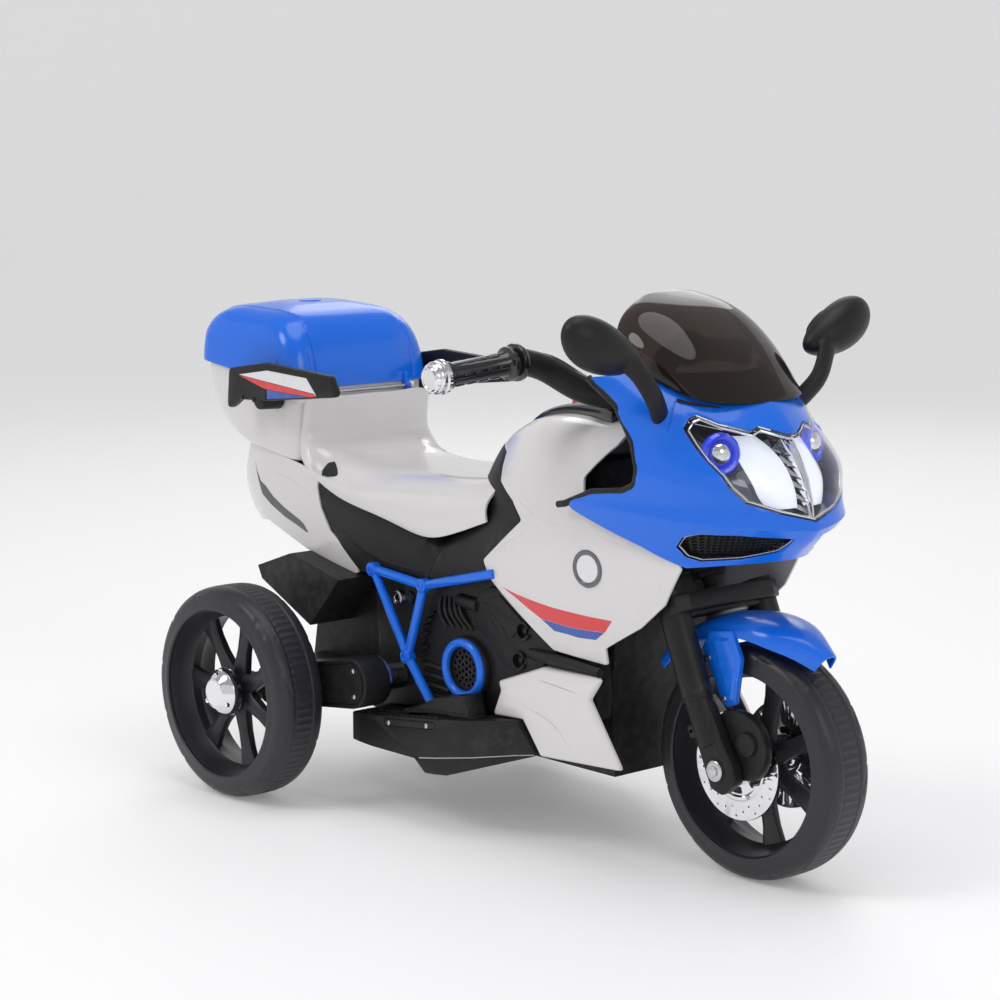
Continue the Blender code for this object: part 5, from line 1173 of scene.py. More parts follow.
def caliper_cover(name, side):
    """A round blind cover between shoe and disc, with a dished boss."""
    outline = []
    for n in range(19):
        turn = math.radians(-50 + 200 * n / 18)
        outline.append((0.014 + 0.046 * math.cos(turn), 0.026 + 0.044 * math.sin(turn), 0.0))
    outline += [(-0.026, 0.012), (-0.012, -0.016)]
    inner, outer = DISC_OUT + 0.0075, COVER_OUT
    made = side_block(name, outline, side, inner, outer, 0.0022)
    at = front(0.033, side * (outer - 0.002), 0.034)
    boss = rod("boss", at, at + Vector((0, side * 0.0078, 0)), 0.0148, 0.0138, 48, 0.0014)
    dish = rod("dish", at + Vector((0, side * 0.0068, 0)), at + Vector((0, side * 0.012, 0)), 0.0112, 0.0122,
               48)
    clear = rod("clear", front(0, side * 0.03, 0), front(0, side * 0.12, 0), 0.009, None, 32)
    return cut(join(made, boss), clear, dish)


def axle_nut(side):
    """A flange nut and washer over the axle's end, with the threaded tip showing."""
    face = SHOE_OUT + 0.0003
    base = front(0, side * face, 0)
    out = Vector((0, side, 0))
    washer = turned("nut", base, [(0.0055, 0.0), (0.0118, 0.0), (0.0124, 0.0006), (0.0118, 0.0012),
                                  (0.0092, 0.002),
                                  (0.0055, 0.002)], axis=out, steps=48)
    hexagon = rod("hexagon", base + out * 0.0018, base + out * 0.005, 0.0078, 0.0074, 6, 0.0006)
    tip = turned("tip", base, [(0.0, 0.0), (0.0048, 0.0)] + [(0.0048 - 0.0005 * (n % 2), 0.001 + 0.0005 * n)
                                                              for n in range(9)]
                 + [(0.0036, 0.0055), (0.0, 0.0057)], axis=out, steps=32)
    return gather(washer, hexagon, tip)


def forks():
    for side, label in SIDES:
        show(fork_leg(f"fork_leg_{label}_moulding", side), "steering", "satin_black",
             (f"fork_leg_{label}",), 30.0)
        show(caliper_cover(f"disc_cover_{label}", side), "steering", "satin_black",
             (f"caliper_cover_{label}",), 30.0)
    nuts = gather(axle_nut(RIGHT), axle_nut(LEFT), rod("bar", front(0, -0.08, 0), front(0, 0.08, 0), 0.005))
    nuts.name = "front_axle_and_nuts"
    show(nuts, "steering", "bright_steel", ("front_axle",))
    plan = [(-0.02, -0.0905), (0.018, -0.0905), (0.028, -0.07), (0.03, 0.0), (0.028, 0.07), (0.018, 0.0905),
            (-0.02, 0.0905), (-0.028, 0.07), (-0.03, 0.0), (-0.028, -0.07)]
    yoke = block("fork_yoke_moulding", rounded(plan, 0.01, 5), -0.011, 0.011, "XY")
    rib = block("rib", rounded([(-0.012, -0.06), (0.014, -0.06), (0.018, 0.0), (0.014, 0.06),
                                (-0.012, 0.06)], 0.006),
                -0.016, 0.0108, "XY")
    join(soft_edges(yoke, 0.0025, 3), soft_edges(rib, 0.002, 2))
    yoke.data.transform(Matrix.Translation(steer(FORK_TOP)) @ Matrix.Rotation(-RAKE, 4, "Y"))
    show(yoke, "steering", "satin_black", ("fork_yoke",))


GUARD_RADIUS = 0.176
GUARD_HALF = 0.048


def mudguard_rows():
    """The blade's section at each angle: a soft roof with a shoulder line and a turned-down skirt."""
    rows = []
    for step in range(10):
        turn = math.radians(53 + 87 * step / 9)
        pointed = min(1.0, 0.3 + step * 0.3)
        half = []
        for share, drop in ((0.0, 0.0), (0.3, 0.0008), (0.62, 0.0034), (0.86, 0.01), (1.0, 0.024)):
            reach = GUARD_RADIUS - drop
            half.append(front(reach * math.cos(turn), -share * GUARD_HALF * pointed, reach * math.sin(turn)))
        rows.append(both_sides(half))
    return rows


def guard_leg(side):
    """The blade's leg over the fork: a faceted flange that narrows to its lower screw."""
    line = [(-0.05, 0.134), (-0.0385, 0.1555), (-0.004, 0.16), (0.0115, 0.129), (0.004, 0.0735),
            (-0.0095, 0.0695),
            (-0.0165, 0.0745)]
    made = side_block("leg", line, side, 0.044, 0.052, 0.0016)
    raised = [(-0.034, 0.148), (-0.006, 0.152), (0.0085, 0.128), (0.0015, 0.078), (-0.007, 0.076)]
    rings = []
    for margin, out in ((0.0, 0.0505), (0.0005, 0.0522), (0.004, 0.0545)):
        rings.append([Vector((x, side * out, z)) for x, z in inset(front_line(raised), margin)])
    return join(made, loft("facet", rings))


def mudguard():
    rows = fair_rows(mudguard_rows(), along=5, across=4)
    blade = sheet("mudguard_blade", rows)
    face_out(blade, front(0, 0, 0.6))
    change(blade, "SOLIDIFY", thickness=0.003, offset=-1.0, use_even_offset=True)
    soft_edges(blade, 0.001, 3, 60.0)
    join(blade, guard_leg(RIGHT), guard_leg(LEFT))
    show(blade, "steering", "blue_shell", ("mudguard_front",), 28.0)
    places = []
    for side, label in SIDES:
        for level, dx, dz in (("upper", -0.0385, 0.1235), ("lower", -0.0125, 0.079)):
            places.append((f"guard_screw_{level}_{label}", front(dx, side * 0.0522, dz), (0, side, 0)))
    add_screws("steering", places)


# Handlebar, grips and their end weights
BAR_HALF = 0.262
BAR_RADIUS = 0.01
GRIP_RADIUS = 0.0175
GRIP_LENGTH = 0.112


def bar_point(side, share):
    return front(-0.268 - 0.01 * share, side * (0.14 + (BAR_HALF - 0.14) * share), 0.459 - 0.012 * share)


def along_bar(side, distance):
    """A point on the straight end of the bar, a distance in from its tip."""
    tip, inner = bar_point(side, 1.0), bar_point(side, 0.0)
    return tip + (inner - tip).normalized() * distance


def along_axis(origin, direction):
    """Turns a shape modelled along +Z to run along a direction from a point."""
    return Matrix.Translation(origin) @ direction.to_track_quat("Z", "Y").to_matrix().to_4x4()


def grip(name, side):
    """A rubber sleeve with rows of raised oblong pads and two flange rings at its inner end."""
    start, end = along_bar(side, 0.01), along_bar(side, GRIP_LENGTH + 0.01)
    run = end - start
    length = run.length
    wall = [(0.0106, 0.0), (GRIP_RADIUS - 0.0026, 0.0), (GRIP_RADIUS - 0.0008, 0.002),
            (GRIP_RADIUS - 0.0008, 0.0062),
            (GRIP_RADIUS - 0.003, 0.0085), (GRIP_RADIUS - 0.003, length - 0.025),
            (GRIP_RADIUS - 0.0016, length - 0.0225), (GRIP_RADIUS + 0.003, length - 0.0205),
            (GRIP_RADIUS + 0.0035, length - 0.0185), (GRIP_RADIUS + 0.003, length - 0.0168),
            (GRIP_RADIUS - 0.0012, length - 0.0152), (GRIP_RADIUS - 0.0012, length - 0.0112),
            (GRIP_RADIUS + 0.0052, length - 0.009), (GRIP_RADIUS + 0.0058, length - 0.006),
            (GRIP_RADIUS + 0.005, length - 0.002), (GRIP_RADIUS + 0.003, length), (0.0106, length)]
    made = turned(name, (0, 0, 0), wall, axis=(0, 0, 1), steps=56)
    pads = []
    for row in range(6):
        turn = math.tau * row / 6
        for n in range(4):
            low = 0.0105 + n * 0.0172 + (0.0086 if row % 2 else 0.0)
            if low + 0.014 > length - 0.026:
                continue
            pad = slab("pad", (GRIP_RADIUS - 0.0042, -0.0016, low), (GRIP_RADIUS - 0.002, 0.0016,
                                                                     low + 0.012), 0.0006)
            pad.data.transform(Matrix.Rotation(turn, 4, "Z"))
            pads.append(pad)
    join(made, gather(*pads))
    made.data.transform(along_axis(start, run))
    return made


def bar_weight(name, side):
    """A plated end weight, turned with a groove and a ribbed rim."""
    outward = (along_bar(side, 0.0) - along_bar(side, 0.05)).normalized()
    wall = [(0.0106, -0.0095), (0.0196, -0.0095), (0.0205, -0.0085), (0.0205, -0.0045), (0.0196, -0.0035),
            (0.0188, -0.0022), (0.0194, -0.001), (0.0194, 0.0042), (0.0186, 0.0058), (0.0176, 0.0068),
            (0.0176, 0.0082), (0.0168, 0.0096), (0.015, 0.0104), (0.0138, 0.0128), (0.012, 0.013),
            (0.0112, 0.0122),
            (0.0, 0.0118), (0.0, 0.002), (0.0106, 0.0)]
    made = turned(name, (0, 0, 0), wall, axis=(0, 0, 1), steps=64)
    notches = []
    for n in range(16):
        turn = math.tau * n / 16
        notches.append(rod("notch", (0.0176 * math.cos(turn), 0.0176 * math.sin(turn), 0.0072),
                           (0.0148 * math.cos(turn), 0.0148 * math.sin(turn), 0.0135), 0.001, None, 8))
    cut(made, gather(*notches))
    made.data.transform(along_axis(along_bar(side, 0.0), outward))
    return made


def handlebar():
    half = [front(-0.188, 0.0, 0.4165), front(-0.206, 0.03, 0.417), front(-0.24, 0.062, 0.429),
            front(-0.262, 0.1, 0.455), bar_point(LEFT, 0.02), bar_point(LEFT, 0.15), bar_point(LEFT, 0.55),
            bar_point(LEFT, 0.97)]
    right = [Vector((p.x, -p.y, p.z)) for p in reversed(half[1:])]
    made = tube("handlebar_moulding", right + half, BAR_RADIUS, fine=6, sides=10)
    clamp = rod("clamp", steer(0.43), steer(0.464), 0.019, 0.018, 48, 0.003)
    bridge = tube("bridge", [front(-0.222, -0.048, 0.42), front(-0.19, 0.0, 0.414),
                             front(-0.222, 0.048, 0.42)],
                  0.0128, fine=6, sides=8)
    cap = rod("cap", steer(0.4635), steer(0.4655), 0.0085, None, 6, 0.0006)
    join(made, clamp, bridge, cap)
    for side in (RIGHT, LEFT):
        arm = [along_bar(side, GRIP_LENGTH + 0.0115), front(-0.262, side * 0.104, 0.448),
               front(-0.242, side * 0.07, 0.425),
               front(-0.212, side * 0.036, 0.413)]
        join(made, tube("arm", arm, 0.0158, radii=(1.0, 1.04, 1.06, 1.0), fine=6, sides=8))
    show(made, "steering", "satin_black", ("handlebar",))
    for side, label in SIDES:
        show(grip(f"grip_{label}_rubber", side), "steering", "gloss_black", (f"grip_{label}",))
        show(bar_weight(f"bar_weight_{label}", side), "steering", "chrome",
             (f"bar_cap_{label}",))


# Nose, its inner band, the lamp and the grilles
def opening_curve():
    """The edge of the nose's side opening as a side-view curve with softened corners."""
    ends = (0, len(OPENING_BAND) - 1)
    return rounded([(dx, dz, 0.0 if n in ends else 0.014) for n, (dx, dz) in enumerate(OPENING_BAND)], 0.0, 6)


def nose():
    rows = fair_nose()
    tree = skin_tree(rows)
    made = sheet("nose_shell", rows)
    face_out(made, front(0.8, 0.0, 0.5))
    change(made, "SOLIDIFY", thickness=SHELL_WALL, offset=-1.0, use_even_offset=True)
    line = [(dx, dz, 0.0) for dx, dz in NOSE_LINE[:4]] + [(dx, dz, 0.012) for dx, dz in NOSE_LINE[4:13]]
    line += [(dx, dz, 0.0) for dx, dz in NOSE_LINE[13:]]
    cut(made, block("blank", rounded(front_line(line), 0.0, 6), -0.2, 0.2), operation="INTERSECT")
    largest(made)
    opening = block("opening", rounded(lens_line(-0.0004), 0.003, 3), FRONT_HUB.x - 0.09, FRONT_HUB.x + 0.12,
                    "YZ")
    cut(made, opening)
    for side, label in SIDES:
        mouth = [(-side * y, FRONT_HUB.z + dz) for y, dz in GRILLE_LINE]
        cut(made, block("mouth", rounded(mouth, 0.004, 4), FRONT_HUB.x - 0.07, FRONT_HUB.x + 0.12, "YZ"))
    for side, label in SIDES:
        slot = []
        for dy, dz in ((0.058, 0.4185), (0.072, 0.4205), (0.086, 0.4228), (0.0965, 0.4268)):
            slot.append(from_ahead(tree, side * dy, dz)[0])
        cut(made, tube("slot", slot, 0.0018, radii=(0.3, 0.8, 1.2, 1.5), fine=4, sides=2))
        # A black fill lies in each slot as painted shade of the vent's depth.
        show(tube(f"vent_slot_{label}", [place - Vector((0.0012, 0.0, 0.0)) for place in slot], 0.0018,
                  radii=(0.3, 0.8, 1.2, 1.5), fine=4, sides=2), "chassis", "satin_black")
        groove = [from_ahead(tree, side * dy, dz)[0] for dy, dz in ((0.0985, 0.4262), (0.111, 0.4119),
                                                                    (0.12, 0.3935))]
        cut(made, tube("line", groove, size("groove"), fine=4, sides=2))
    largest(made)
    soft_edges(made, size("edge"), 2, 50.0)
    show(made, "chassis", "blue_shell", ("nose_fairing",), 30.0)

    for side, label in SIDES:
        band_points = []
        for dx, dz in opening_curve():
            place, normal = from_side(tree, side, dx, dz)
            band_points.append(place - normal * 0.0035)
        band = tube(f"opening_band_{label}", band_points, 0.0042, sides=5, loose=True)
        show(band, "chassis", "satin_black")


LENS_WALL = 0.0022


def lamp_lens():
    """The clear cover, following the nose, with a stepped rim."""
    rows = fair_nose()
    tree = skin_tree(rows)
    made = sheet("lamp_cover", rows)
    face_out(made, front(0.8, 0.0, 0.5))
    change(made, "SOLIDIFY", thickness=LENS_WALL, offset=-1.0, use_even_offset=True)
    cut(made, block("blank", rounded(lens_line(0.0004), 0.003, 3), FRONT_HUB.x - 0.08, FRONT_HUB.x + 0.12,
                    "YZ"),
        operation="INTERSECT")
    largest(made)
    show(made, "chassis", "lens_plastic", ("headlight_lens",), 30.0)
    outline = rounded(lens_line(0.003), 0.003, 3)
    path = []
    for (y, z), (y2, z2) in zip(outline, outline[1:] + outline[:1]):
        for share in (0.0, 0.5):
            place, normal = from_ahead(tree, y + (y2 - y) * share, z + (z2 - z) * share - FRONT_HUB.z)
            path.append(place - normal * 0.0034)
    rim_tube = tube("lamp_rim", path + path[:1], 0.0016, sides=3, loose=True)
    show(rim_tube, "chassis", "chrome")


def lamp_inside():
    """The reflector bowl with its white sweep, whose glow is painted light, ring lamps, stepped blocks and
    the middle divider.
    """
    rows = fair_nose()
    bowl_rows = moved_rows(rows, -0.03)
    bowl = sheet("reflector_bowl", bowl_rows)
    face_out(bowl, front(0.8, 0.0, 0.5))
    change(bowl, "SOLIDIFY", thickness=0.002, offset=-1.0, use_even_offset=True)
    cut(bowl, block("blank", rounded(lens_line(0.003), 0.003, 3), FRONT_HUB.x - 0.13, FRONT_HUB.x + 0.12,
                    "YZ"),
        operation="INTERSECT")
    # The bowl's dark plating is painted shade of the lamp's hollow.
    show(largest(bowl), "chassis", "dark_plating", ("headlight_reflector",), 30.0)
    tree = skin_tree(moved_rows(rows, -0.003))
    deep = skin_tree(bowl_rows)
    wall_ring = [(y, z - FRONT_HUB.z) for y, z in rounded(lens_line(0.0022), 0.003, 3)]
    rings = []
    for share in (0.0, 0.35, 0.7, 1.0):
        ring = []
        for y, dz in wall_ring + wall_ring[:1]:
            near, far = from_ahead(tree, y, dz)[0], from_ahead(deep, y * 0.985, dz)[0]
            ring.append(near.lerp(far, share))
        rings.append(ring)
    skirt = sheet("reflector_skirt", rings)
    change(skirt, "SOLIDIFY", thickness=0.0012, offset=0.0, use_even_offset=True)
    # The skirt's dark plating is painted shade as well.
    show(skirt, "chassis", "dark_plating", (), 40.0)
    for side, label in SIDES:
        sweep = []
        for n, (inner, outer) in enumerate(((0.028, 0.056), (0.018, 0.059), (0.012, 0.06), (0.0095, 0.06),
                                            (0.0085, 0.058), (0.008, 0.054), (0.0085, 0.044))):
            dz = 0.386 - 0.0132 * n
            row = []
            for m in range(6):
                share = m / 5
                y = side * (inner + (outer - inner) * share)
                place = from_ahead(deep, y, dz)[0]
                row.append(place + Vector((0.015 - 0.02 * (share - 0.5) ** 2, 0.0, 0.0)))
            sweep.append(row)
        # The sweep's glow is painted light, in place of the light that would reach it through the clear
        # cover.
        glowing_sweep = sheet(f"lamp_sweep_{label}", fair_rows(sweep, 4, 4))
        change(glowing_sweep, "SOLIDIFY", thickness=0.0014, offset=0.0, use_even_offset=True)
        show(soft_edges(glowing_sweep, 0.0005, 2, 50.0), "chassis", "lamp_white")
        centre = Vector((from_ahead(tree, side * 0.102, 0.368)[0].x - 0.0055, side * 0.0765, FRONT_HUB.z
                         + 0.368))
        facing = Vector((1.0, side * 0.36, 0.1)).normalized()
        halo = turned(f"lamp_ring_{label}", centre, [(0.023, 0.0), (0.0246, 0.004), (0.024, 0.009),
                                                     (0.0215, 0.0115),
                                                     (0.0175, 0.0105), (0.0155, 0.007), (0.015, 0.0)],
                      axis=facing, steps=64)
        show(halo, "chassis", "lamp_blue")
        bulb = turned(f"lamp_bulb_{label}", centre, [(0.0148, 0.001), (0.0144, 0.0055), (0.012, 0.0105),
                                                     (0.0076, 0.014),
                                                     (0.0033, 0.0155), (0.0, 0.0158), (0.0, 0.001)],
                      axis=facing, steps=48)
        show(bulb, "chassis", "chrome")
        blocks = []
        for n in range(3):
            y, dz = side * (0.1005 - 0.005 * n), 0.396 - 0.0095 * n
            back = from_ahead(deep, y, dz)[0]
            made = slab("step", back + Vector((-0.002, -0.0052, -0.0036)),
                        back + Vector((0.0165, 0.0052, 0.0036)), 0.0012)
            well = slab("well", back + Vector((0.0125, -0.0036, -0.0021)),
                        back + Vector((0.02, 0.0036, 0.0021)), 0.0006)
            blocks.append(cut(made, well))
        steps = gather(*blocks)
        steps.name = f"lamp_steps_{label}"
        show(steps, "chassis", "grey_plating")
        rays = []
        for n in range(7):
            dz = 0.38 - 0.0125 * n
            y = side * (0.001 + 0.0016 * n * (1 if n < 3 else 0.4))
            back = from_ahead(deep, y, dz)[0]
            rays.append(rod("ray", back + Vector((0.0, side * 0.004, 0.004)),
                            back + Vector((0.022, 0.0, -0.004)),
                            0.0052, 0.0008, 4))
        fan = gather(*rays)
        fan.name = f"lamp_facets_{label}"
        show(fan, "chassis", "chrome", (), 20.0)
    spine = []
    for dz in (0.388, 0.365, 0.34, 0.315, 0.296):
        near = from_ahead(tree, 0.0, dz)[0]
        spine.append([near + Vector((-0.0265, 0.004, 0)), near + Vector((-0.0265, -0.004, 0)),
                      near + Vector((-0.002, -0.0012, 0)), near + Vector((-0.002, 0.0012, 0))])
    divider = loft("lamp_divider", spine)
    show(soft_edges(divider, 0.0004, 2, 30.0), "chassis", "chrome")


def grille(side, label):
    """A hexagon mesh behind the mouth, with a plated frame and a black sheet behind it as painted shade of
    the hollow nose.
    """
    rows = moved_rows(fair_nose(), -0.0085)
    tree = skin_tree(rows)
    pitch = size("mesh_pitch")
    rise = pitch * math.sqrt(3) / 2
    line = [(-side * y, dz) for y, dz in GRILLE_LINE]
    bound = inset(line, -0.0035)
    low_y, high_y = min(p[0] for p in bound), max(p[0] for p in bound)
    low_z, high_z = min(p[1] for p in bound), max(p[1] for p in bound)
    work = bmesh.new()
    known = {}

    def corner(y, dz):
        key = (round(y, 6), round(dz, 6))
        if key not in known:
            known[key] = work.verts.new(from_ahead(tree, y, dz)[0])
        return known[key]

    level = 0
    z = low_z
    while z < high_z:
        y = low_y + (pitch / 2 if level % 2 else 0.0)
        while y < high_y:
            if inside(bound, y, z):
                outer, inner = [], []
                for k in range(6):
                    turn = math.radians(30 + 60 * k)
                    outer.append(corner(y + pitch / math.sqrt(3) * math.cos(turn),
                                        z + pitch / math.sqrt(3) * math.sin(turn)))
                    inner.append(corner(y + pitch * 0.4 * math.cos(turn), z + pitch * 0.4 * math.sin(turn)))
                for k in range(6):
                    work.faces.new((outer[k], outer[(k + 1) % 6], inner[(k + 1) % 6], inner[k]))
            y += pitch
        z += rise
        level += 1
    mesh = bpy.data.meshes.new("grille")
    bmesh.ops.recalc_face_normals(work, faces=work.faces)
    work.to_mesh(mesh)
    work.free()
    made = bpy.data.objects.new(f"grille_mesh_{label}", mesh)
    bpy.context.scene.collection.objects.link(made)
    change(made, "SOLIDIFY", thickness=0.0013, offset=0.0, use_even_offset=True)
    show(made, "chassis", "satin_black", (f"intake_grille_{label}",), 20.0)
    # The black sheet behind the mesh is painted shade of the nose's hollow.
    shade_sheet = panel(f"grille_backing_{label}", moved_rows(rows, -0.006),
                    [(y, FRONT_HUB.z + z) for y, z in inset(line, -0.005)], 0.001,
                    span=(FRONT_HUB.x - 0.1, FRONT_HUB.x + 0.12), plane="YZ")
    show(largest(shade_sheet), "chassis", "seam_black")
    skin = skin_tree(fair_nose())
    path = []
    outline = rounded([(y, z) for y, z in inset(line, 0.001)], 0.004, 4)
    for (y, z), (y2, z2) in zip(outline, outline[1:] + outline[:1]):
        for share in (0.0, 0.5):
            place, normal = from_ahead(skin, y + (y2 - y) * share, z + (z2 - z) * share)
            path.append(place - normal * 0.0024)
    frame_bar = tube(f"grille_frame_{label}", path + path[:1], 0.0011, sides=3, loose=True)
    show(frame_bar, "chassis", "grey_plating")


def inside(outline, y, z):
    """Whether a point is inside a closed outline."""
    found = False
    for (ya, za), (yb, zb) in zip(outline, outline[1:] + outline[:1]):
        if (za > z) != (zb > z) and y < ya + (yb - ya) * (z - za) / (zb - za):
            found = not found
    return found


def grilles():
    for side, label in SIDES:
        grille(side, label)


# Tank, flanks and side panels
def skin_shell(name, rows, outline, side, thickness=SHELL_WALL):
    """One side's panel, cut out of the body's skin by its side-view outline."""
    made = sheet(name, rows)
    face_out(made, Vector((rows[0][0].x, 0.0, 5.0)))
    change(made, "SOLIDIFY", thickness=thickness, offset=-1.0, use_even_offset=True)
    low, high = beside(side, SEAM, HALF_SPAN)
    cut(made, block("blank", outline, low, high), operation="INTERSECT")
    return largest(made)


def surface_line(tree, side, points, depth=0.0, fine=6):
    """A smooth line laid on a skin through side-view places."""
    laid = [Vector((dx, 0.0, dz)) for dx, dz in points]
    path = fair_curve(laid, fine)
    made = []
    for p in path:
        place, normal = from_side(tree, side, p.x, p.z)
        made.append(place + normal * depth)
    return made


BODY_CREASE = [(-0.302, 0.29), (-0.29, 0.2853), (-0.27, 0.277), (-0.25, 0.271)]
KNEE_CREASE = [(-0.35, 0.2115), (-0.329, 0.2231), (-0.294, 0.2414), (-0.261, 0.2601)]
FAINT_CREASE = [(-0.24, 0.2686), (-0.171, 0.2648), (-0.11, 0.254)]


def flanks():
    rows = fair_body()
    tree = skin_tree(rows)
    line = rounded(inset(front_line(WHITE_LINE), SEAM), 0.004, 3)
    for side, label in SIDES:
        made = skin_shell(f"flank_{label}", rows, line, side)
        grooves = [tube("groove", surface_line(tree, side, path, 0.0002), size("groove"),
                        radii=(0.3, 1.0, 1.0, 0.3),
                        sides=2, loose=True) for path in (BODY_CREASE, KNEE_CREASE)]
        grooves.append(tube("groove", surface_line(tree, side, FAINT_CREASE, 0.0003), size("groove") * 0.7,
                            sides=2, loose=True))
        cut(made, *grooves)
        largest(made)
        soft_edges(made, 0.001, 3, 50.0)
        show(made, "chassis", "white_shell", (f"body_side_{label}",), 30.0)


def side_panels():
    rows = fair_body()
    tree = skin_tree(rows)
    line = rounded(inset(front_line(BLACK_LINE), SEAM), 0.004, 3)
    for side, label in SIDES:
        made = skin_shell(f"knee_panel_{label}", rows, line, side)
        seam = surface_line(tree, side, [(-0.47, 0.16), (-0.455, 0.195), (-0.44, 0.222), (-0.428, 0.25)], 0.0)
        cut(made, tube("groove", seam, size("groove"), sides=2, loose=True))
        ridge = surface_line(tree, side, [(-0.64, 0.205), (-0.585, 0.185), (-0.53, 0.176), (-0.48, 0.174)],
                             -0.0004)
        join(largest(made), tube("ridge", ridge, 0.0014, sides=3, loose=True))
        soft_edges(made, 0.001, 2, 50.0)
        show(made, "chassis", "satin_black", (f"side_panel_{label}",), 30.0)


# Prints: a plain two-colour stripe, a plain ring and a plain sweep
STRIPE_RED = [(-0.318, 0.1775), (-0.29, 0.1722), (-0.259, 0.1684), (-0.228, 0.165), (-0.198, 0.1631),
              (-0.1685, 0.1614),
              (-0.136, 0.1605), (-0.149, 0.1449), (-0.1714, 0.144), (-0.2023, 0.144), (-0.2263, 0.1462),
              (-0.2499, 0.1483),
              (-0.2706, 0.1573), (-0.294, 0.1684)]
STRIPE_BLUE = [(-0.2499, 0.1478), (-0.2263, 0.1457), (-0.2023, 0.1435), (-0.1714, 0.1435), (-0.15, 0.1443),
               (-0.1641, 0.1335),
               (-0.1919, 0.1327), (-0.2073, 0.1345), (-0.2296, 0.1356), (-0.2405, 0.1426)]
RING_AT = (-0.1665, 0.2203)
TAIL_SWEEP = [(-0.138, 0.28), (-0.131, 0.266), (-0.119, 0.2527), (-0.105, 0.2473), (-0.087, 0.2357),
              (-0.058, 0.2236),
              (-0.02, 0.2111), (-0.012, 0.2063), (-0.001, 0.194), (-0.027, 0.2025), (-0.061, 0.2115),
              (-0.096, 0.2249),
              (-0.116, 0.2358), (-0.127, 0.256)]


def film(name, rows, outline, side, finish, lift=0.0):
    """A thin printed film that lies on a skin."""
    made = panel(name, rows, outline, size("decal") + 0.0006, size("decal") + lift, beside(side, 0.03, 0.2))
    return show(largest(made), "chassis", finish, (), 30.0)


def prints():
    rows = fair_body()
    tree = skin_tree(rows)
    tail = fair_tail()
    for side, label in SIDES:
        film(f"stripe_red_{label}", rows, front_line(STRIPE_RED), side, "ink_red")
        film(f"stripe_blue_{label}", rows, front_line(STRIPE_BLUE), side, "ink_blue")
        place, normal = from_side(tree, side, *RING_AT)
        badge = turned(f"plain_ring_{label}", (0, 0, 0), [(0.0165, -0.001), (0.0227, -0.001),
                                                          (0.0227, 0.0004),
                                                          (0.0218, 0.0013), (0.02, 0.0016), (0.0182, 0.0013),
                                                          (0.0173, 0.0004), (0.0165, 0.0002)],
                                                          axis=(0, 0, 1), steps=72)
        badge.data.transform(along_axis(place, normal))
        show(badge, "chassis", "ink_grey")
        dish = turned(f"ring_field_{label}", (0, 0, 0), [(0.0, -0.001), (0.0174, -0.001), (0.0174, 0.0001),
                                                         (0.0, 0.0006)], axis=(0, 0, 1), steps=64)
        dish.data.transform(along_axis(place, normal))
        show(dish, "chassis", "ink_white")
        film(f"tail_sweep_{label}", tail, rounded(rear_line(TAIL_SWEEP), 0.004, 3), side, "ink_black")


# Seat
def seat():
    rows = []
    saddle = ((0.36, 0.306, 0.253), (0.3, 0.301, 0.232), (0.25, 0.297, 0.221), (0.19, 0.294, 0.229),
              (0.13, 0.292, 0.24), (0.076, 0.293, 0.25), (0.04, 0.297, 0.262), (0.012, 0.302, 0.275))
    for dx, top, edge in saddle:
        rows.append([rear(dx, 0.0, top), rear(dx, -0.05, top - 0.001), rear(dx, -0.09, top - 0.006),
                     rear(dx, -0.114, top - 0.022), rear(dx, -0.1215, (top + edge) / 2 - 0.006),
                     rear(dx, -0.1205, edge)])
    back = ((-0.006, 0.309, 0.112, 0.29), (-0.0135, 0.322, 0.11, 0.3), (-0.0135, 0.35, 0.108, 0.33),
            (-0.008, 0.3745, 0.107, 0.37))
    for dx, height, half, low in back:
        rows.append([rear(dx, 0.0, height), rear(dx, -0.05, height), rear(dx - 0.001, -half + 0.014, height),
                     rear(dx - 0.004, -half + 0.004, height - 0.002),
                     rear(dx - 0.008, -half, (height + low) / 2),
                     rear(dx - 0.012, -half - 0.001, low)])
    full = [both_sides(row) for row in rows]
    made = sheet("seat_shell", fair_rows(full, along=5, across=5))
    face_out(made, rear(0.15, 0.0, 3.0))
    change(made, "SOLIDIFY", thickness=SHELL_WALL, offset=-1.0, use_even_offset=True)
    soft_edges(made, 0.001, 3, 60.0)
    show(made, "chassis", "white_shell", ("seat",), 35.0)


# Storage box and its lid
BOX_WALL = 0.0028
JOINT_FRONT = 0.386
JOINT_REAR = 0.415


def joint_height(dx):
    """Height of the lid's joint over the axle, at a place behind the box's front."""
    share = (dx + 0.03) / (-0.253 + 0.03)
    return JOINT_FRONT + (JOINT_REAR - JOINT_FRONT) * share


def ring_outline(x_front, x_rear, half, corner, steps=8):
    """A rounded rectangle in plan, front to the right."""
    corners = ((x_front - corner, half - corner, 0), (x_rear + corner, half - corner, 90),
               (x_rear + corner, -half + corner, 180), (x_front - corner, -half + corner, 270))
    points = []
    for (cx, cy, start), (nx, ny, _) in zip(corners, corners[1:] + corners[:1]):
        for i in range(steps + 1):
            turn = math.radians(start + 90.0 * i / steps)
            points.append((cx + corner * math.cos(turn), cy + corner * math.sin(turn)))
        last = Vector(points[-1])
        after = Vector((nx + corner * math.cos(math.radians(start + 90)),
                        ny + corner * math.sin(math.radians(start + 90))))
        points += [tuple(last.lerp(after, k / 5)) for k in range(1, 5)]
    return points


def fair_rings(rings, fine, creases=()):
    """Fill in between closed rings with smooth curves from ring to ring."""
    columns = [fair_with_creases(list(column), fine, creases) for column in zip(*rings)]
    return [list(ring) for ring in zip(*columns)]


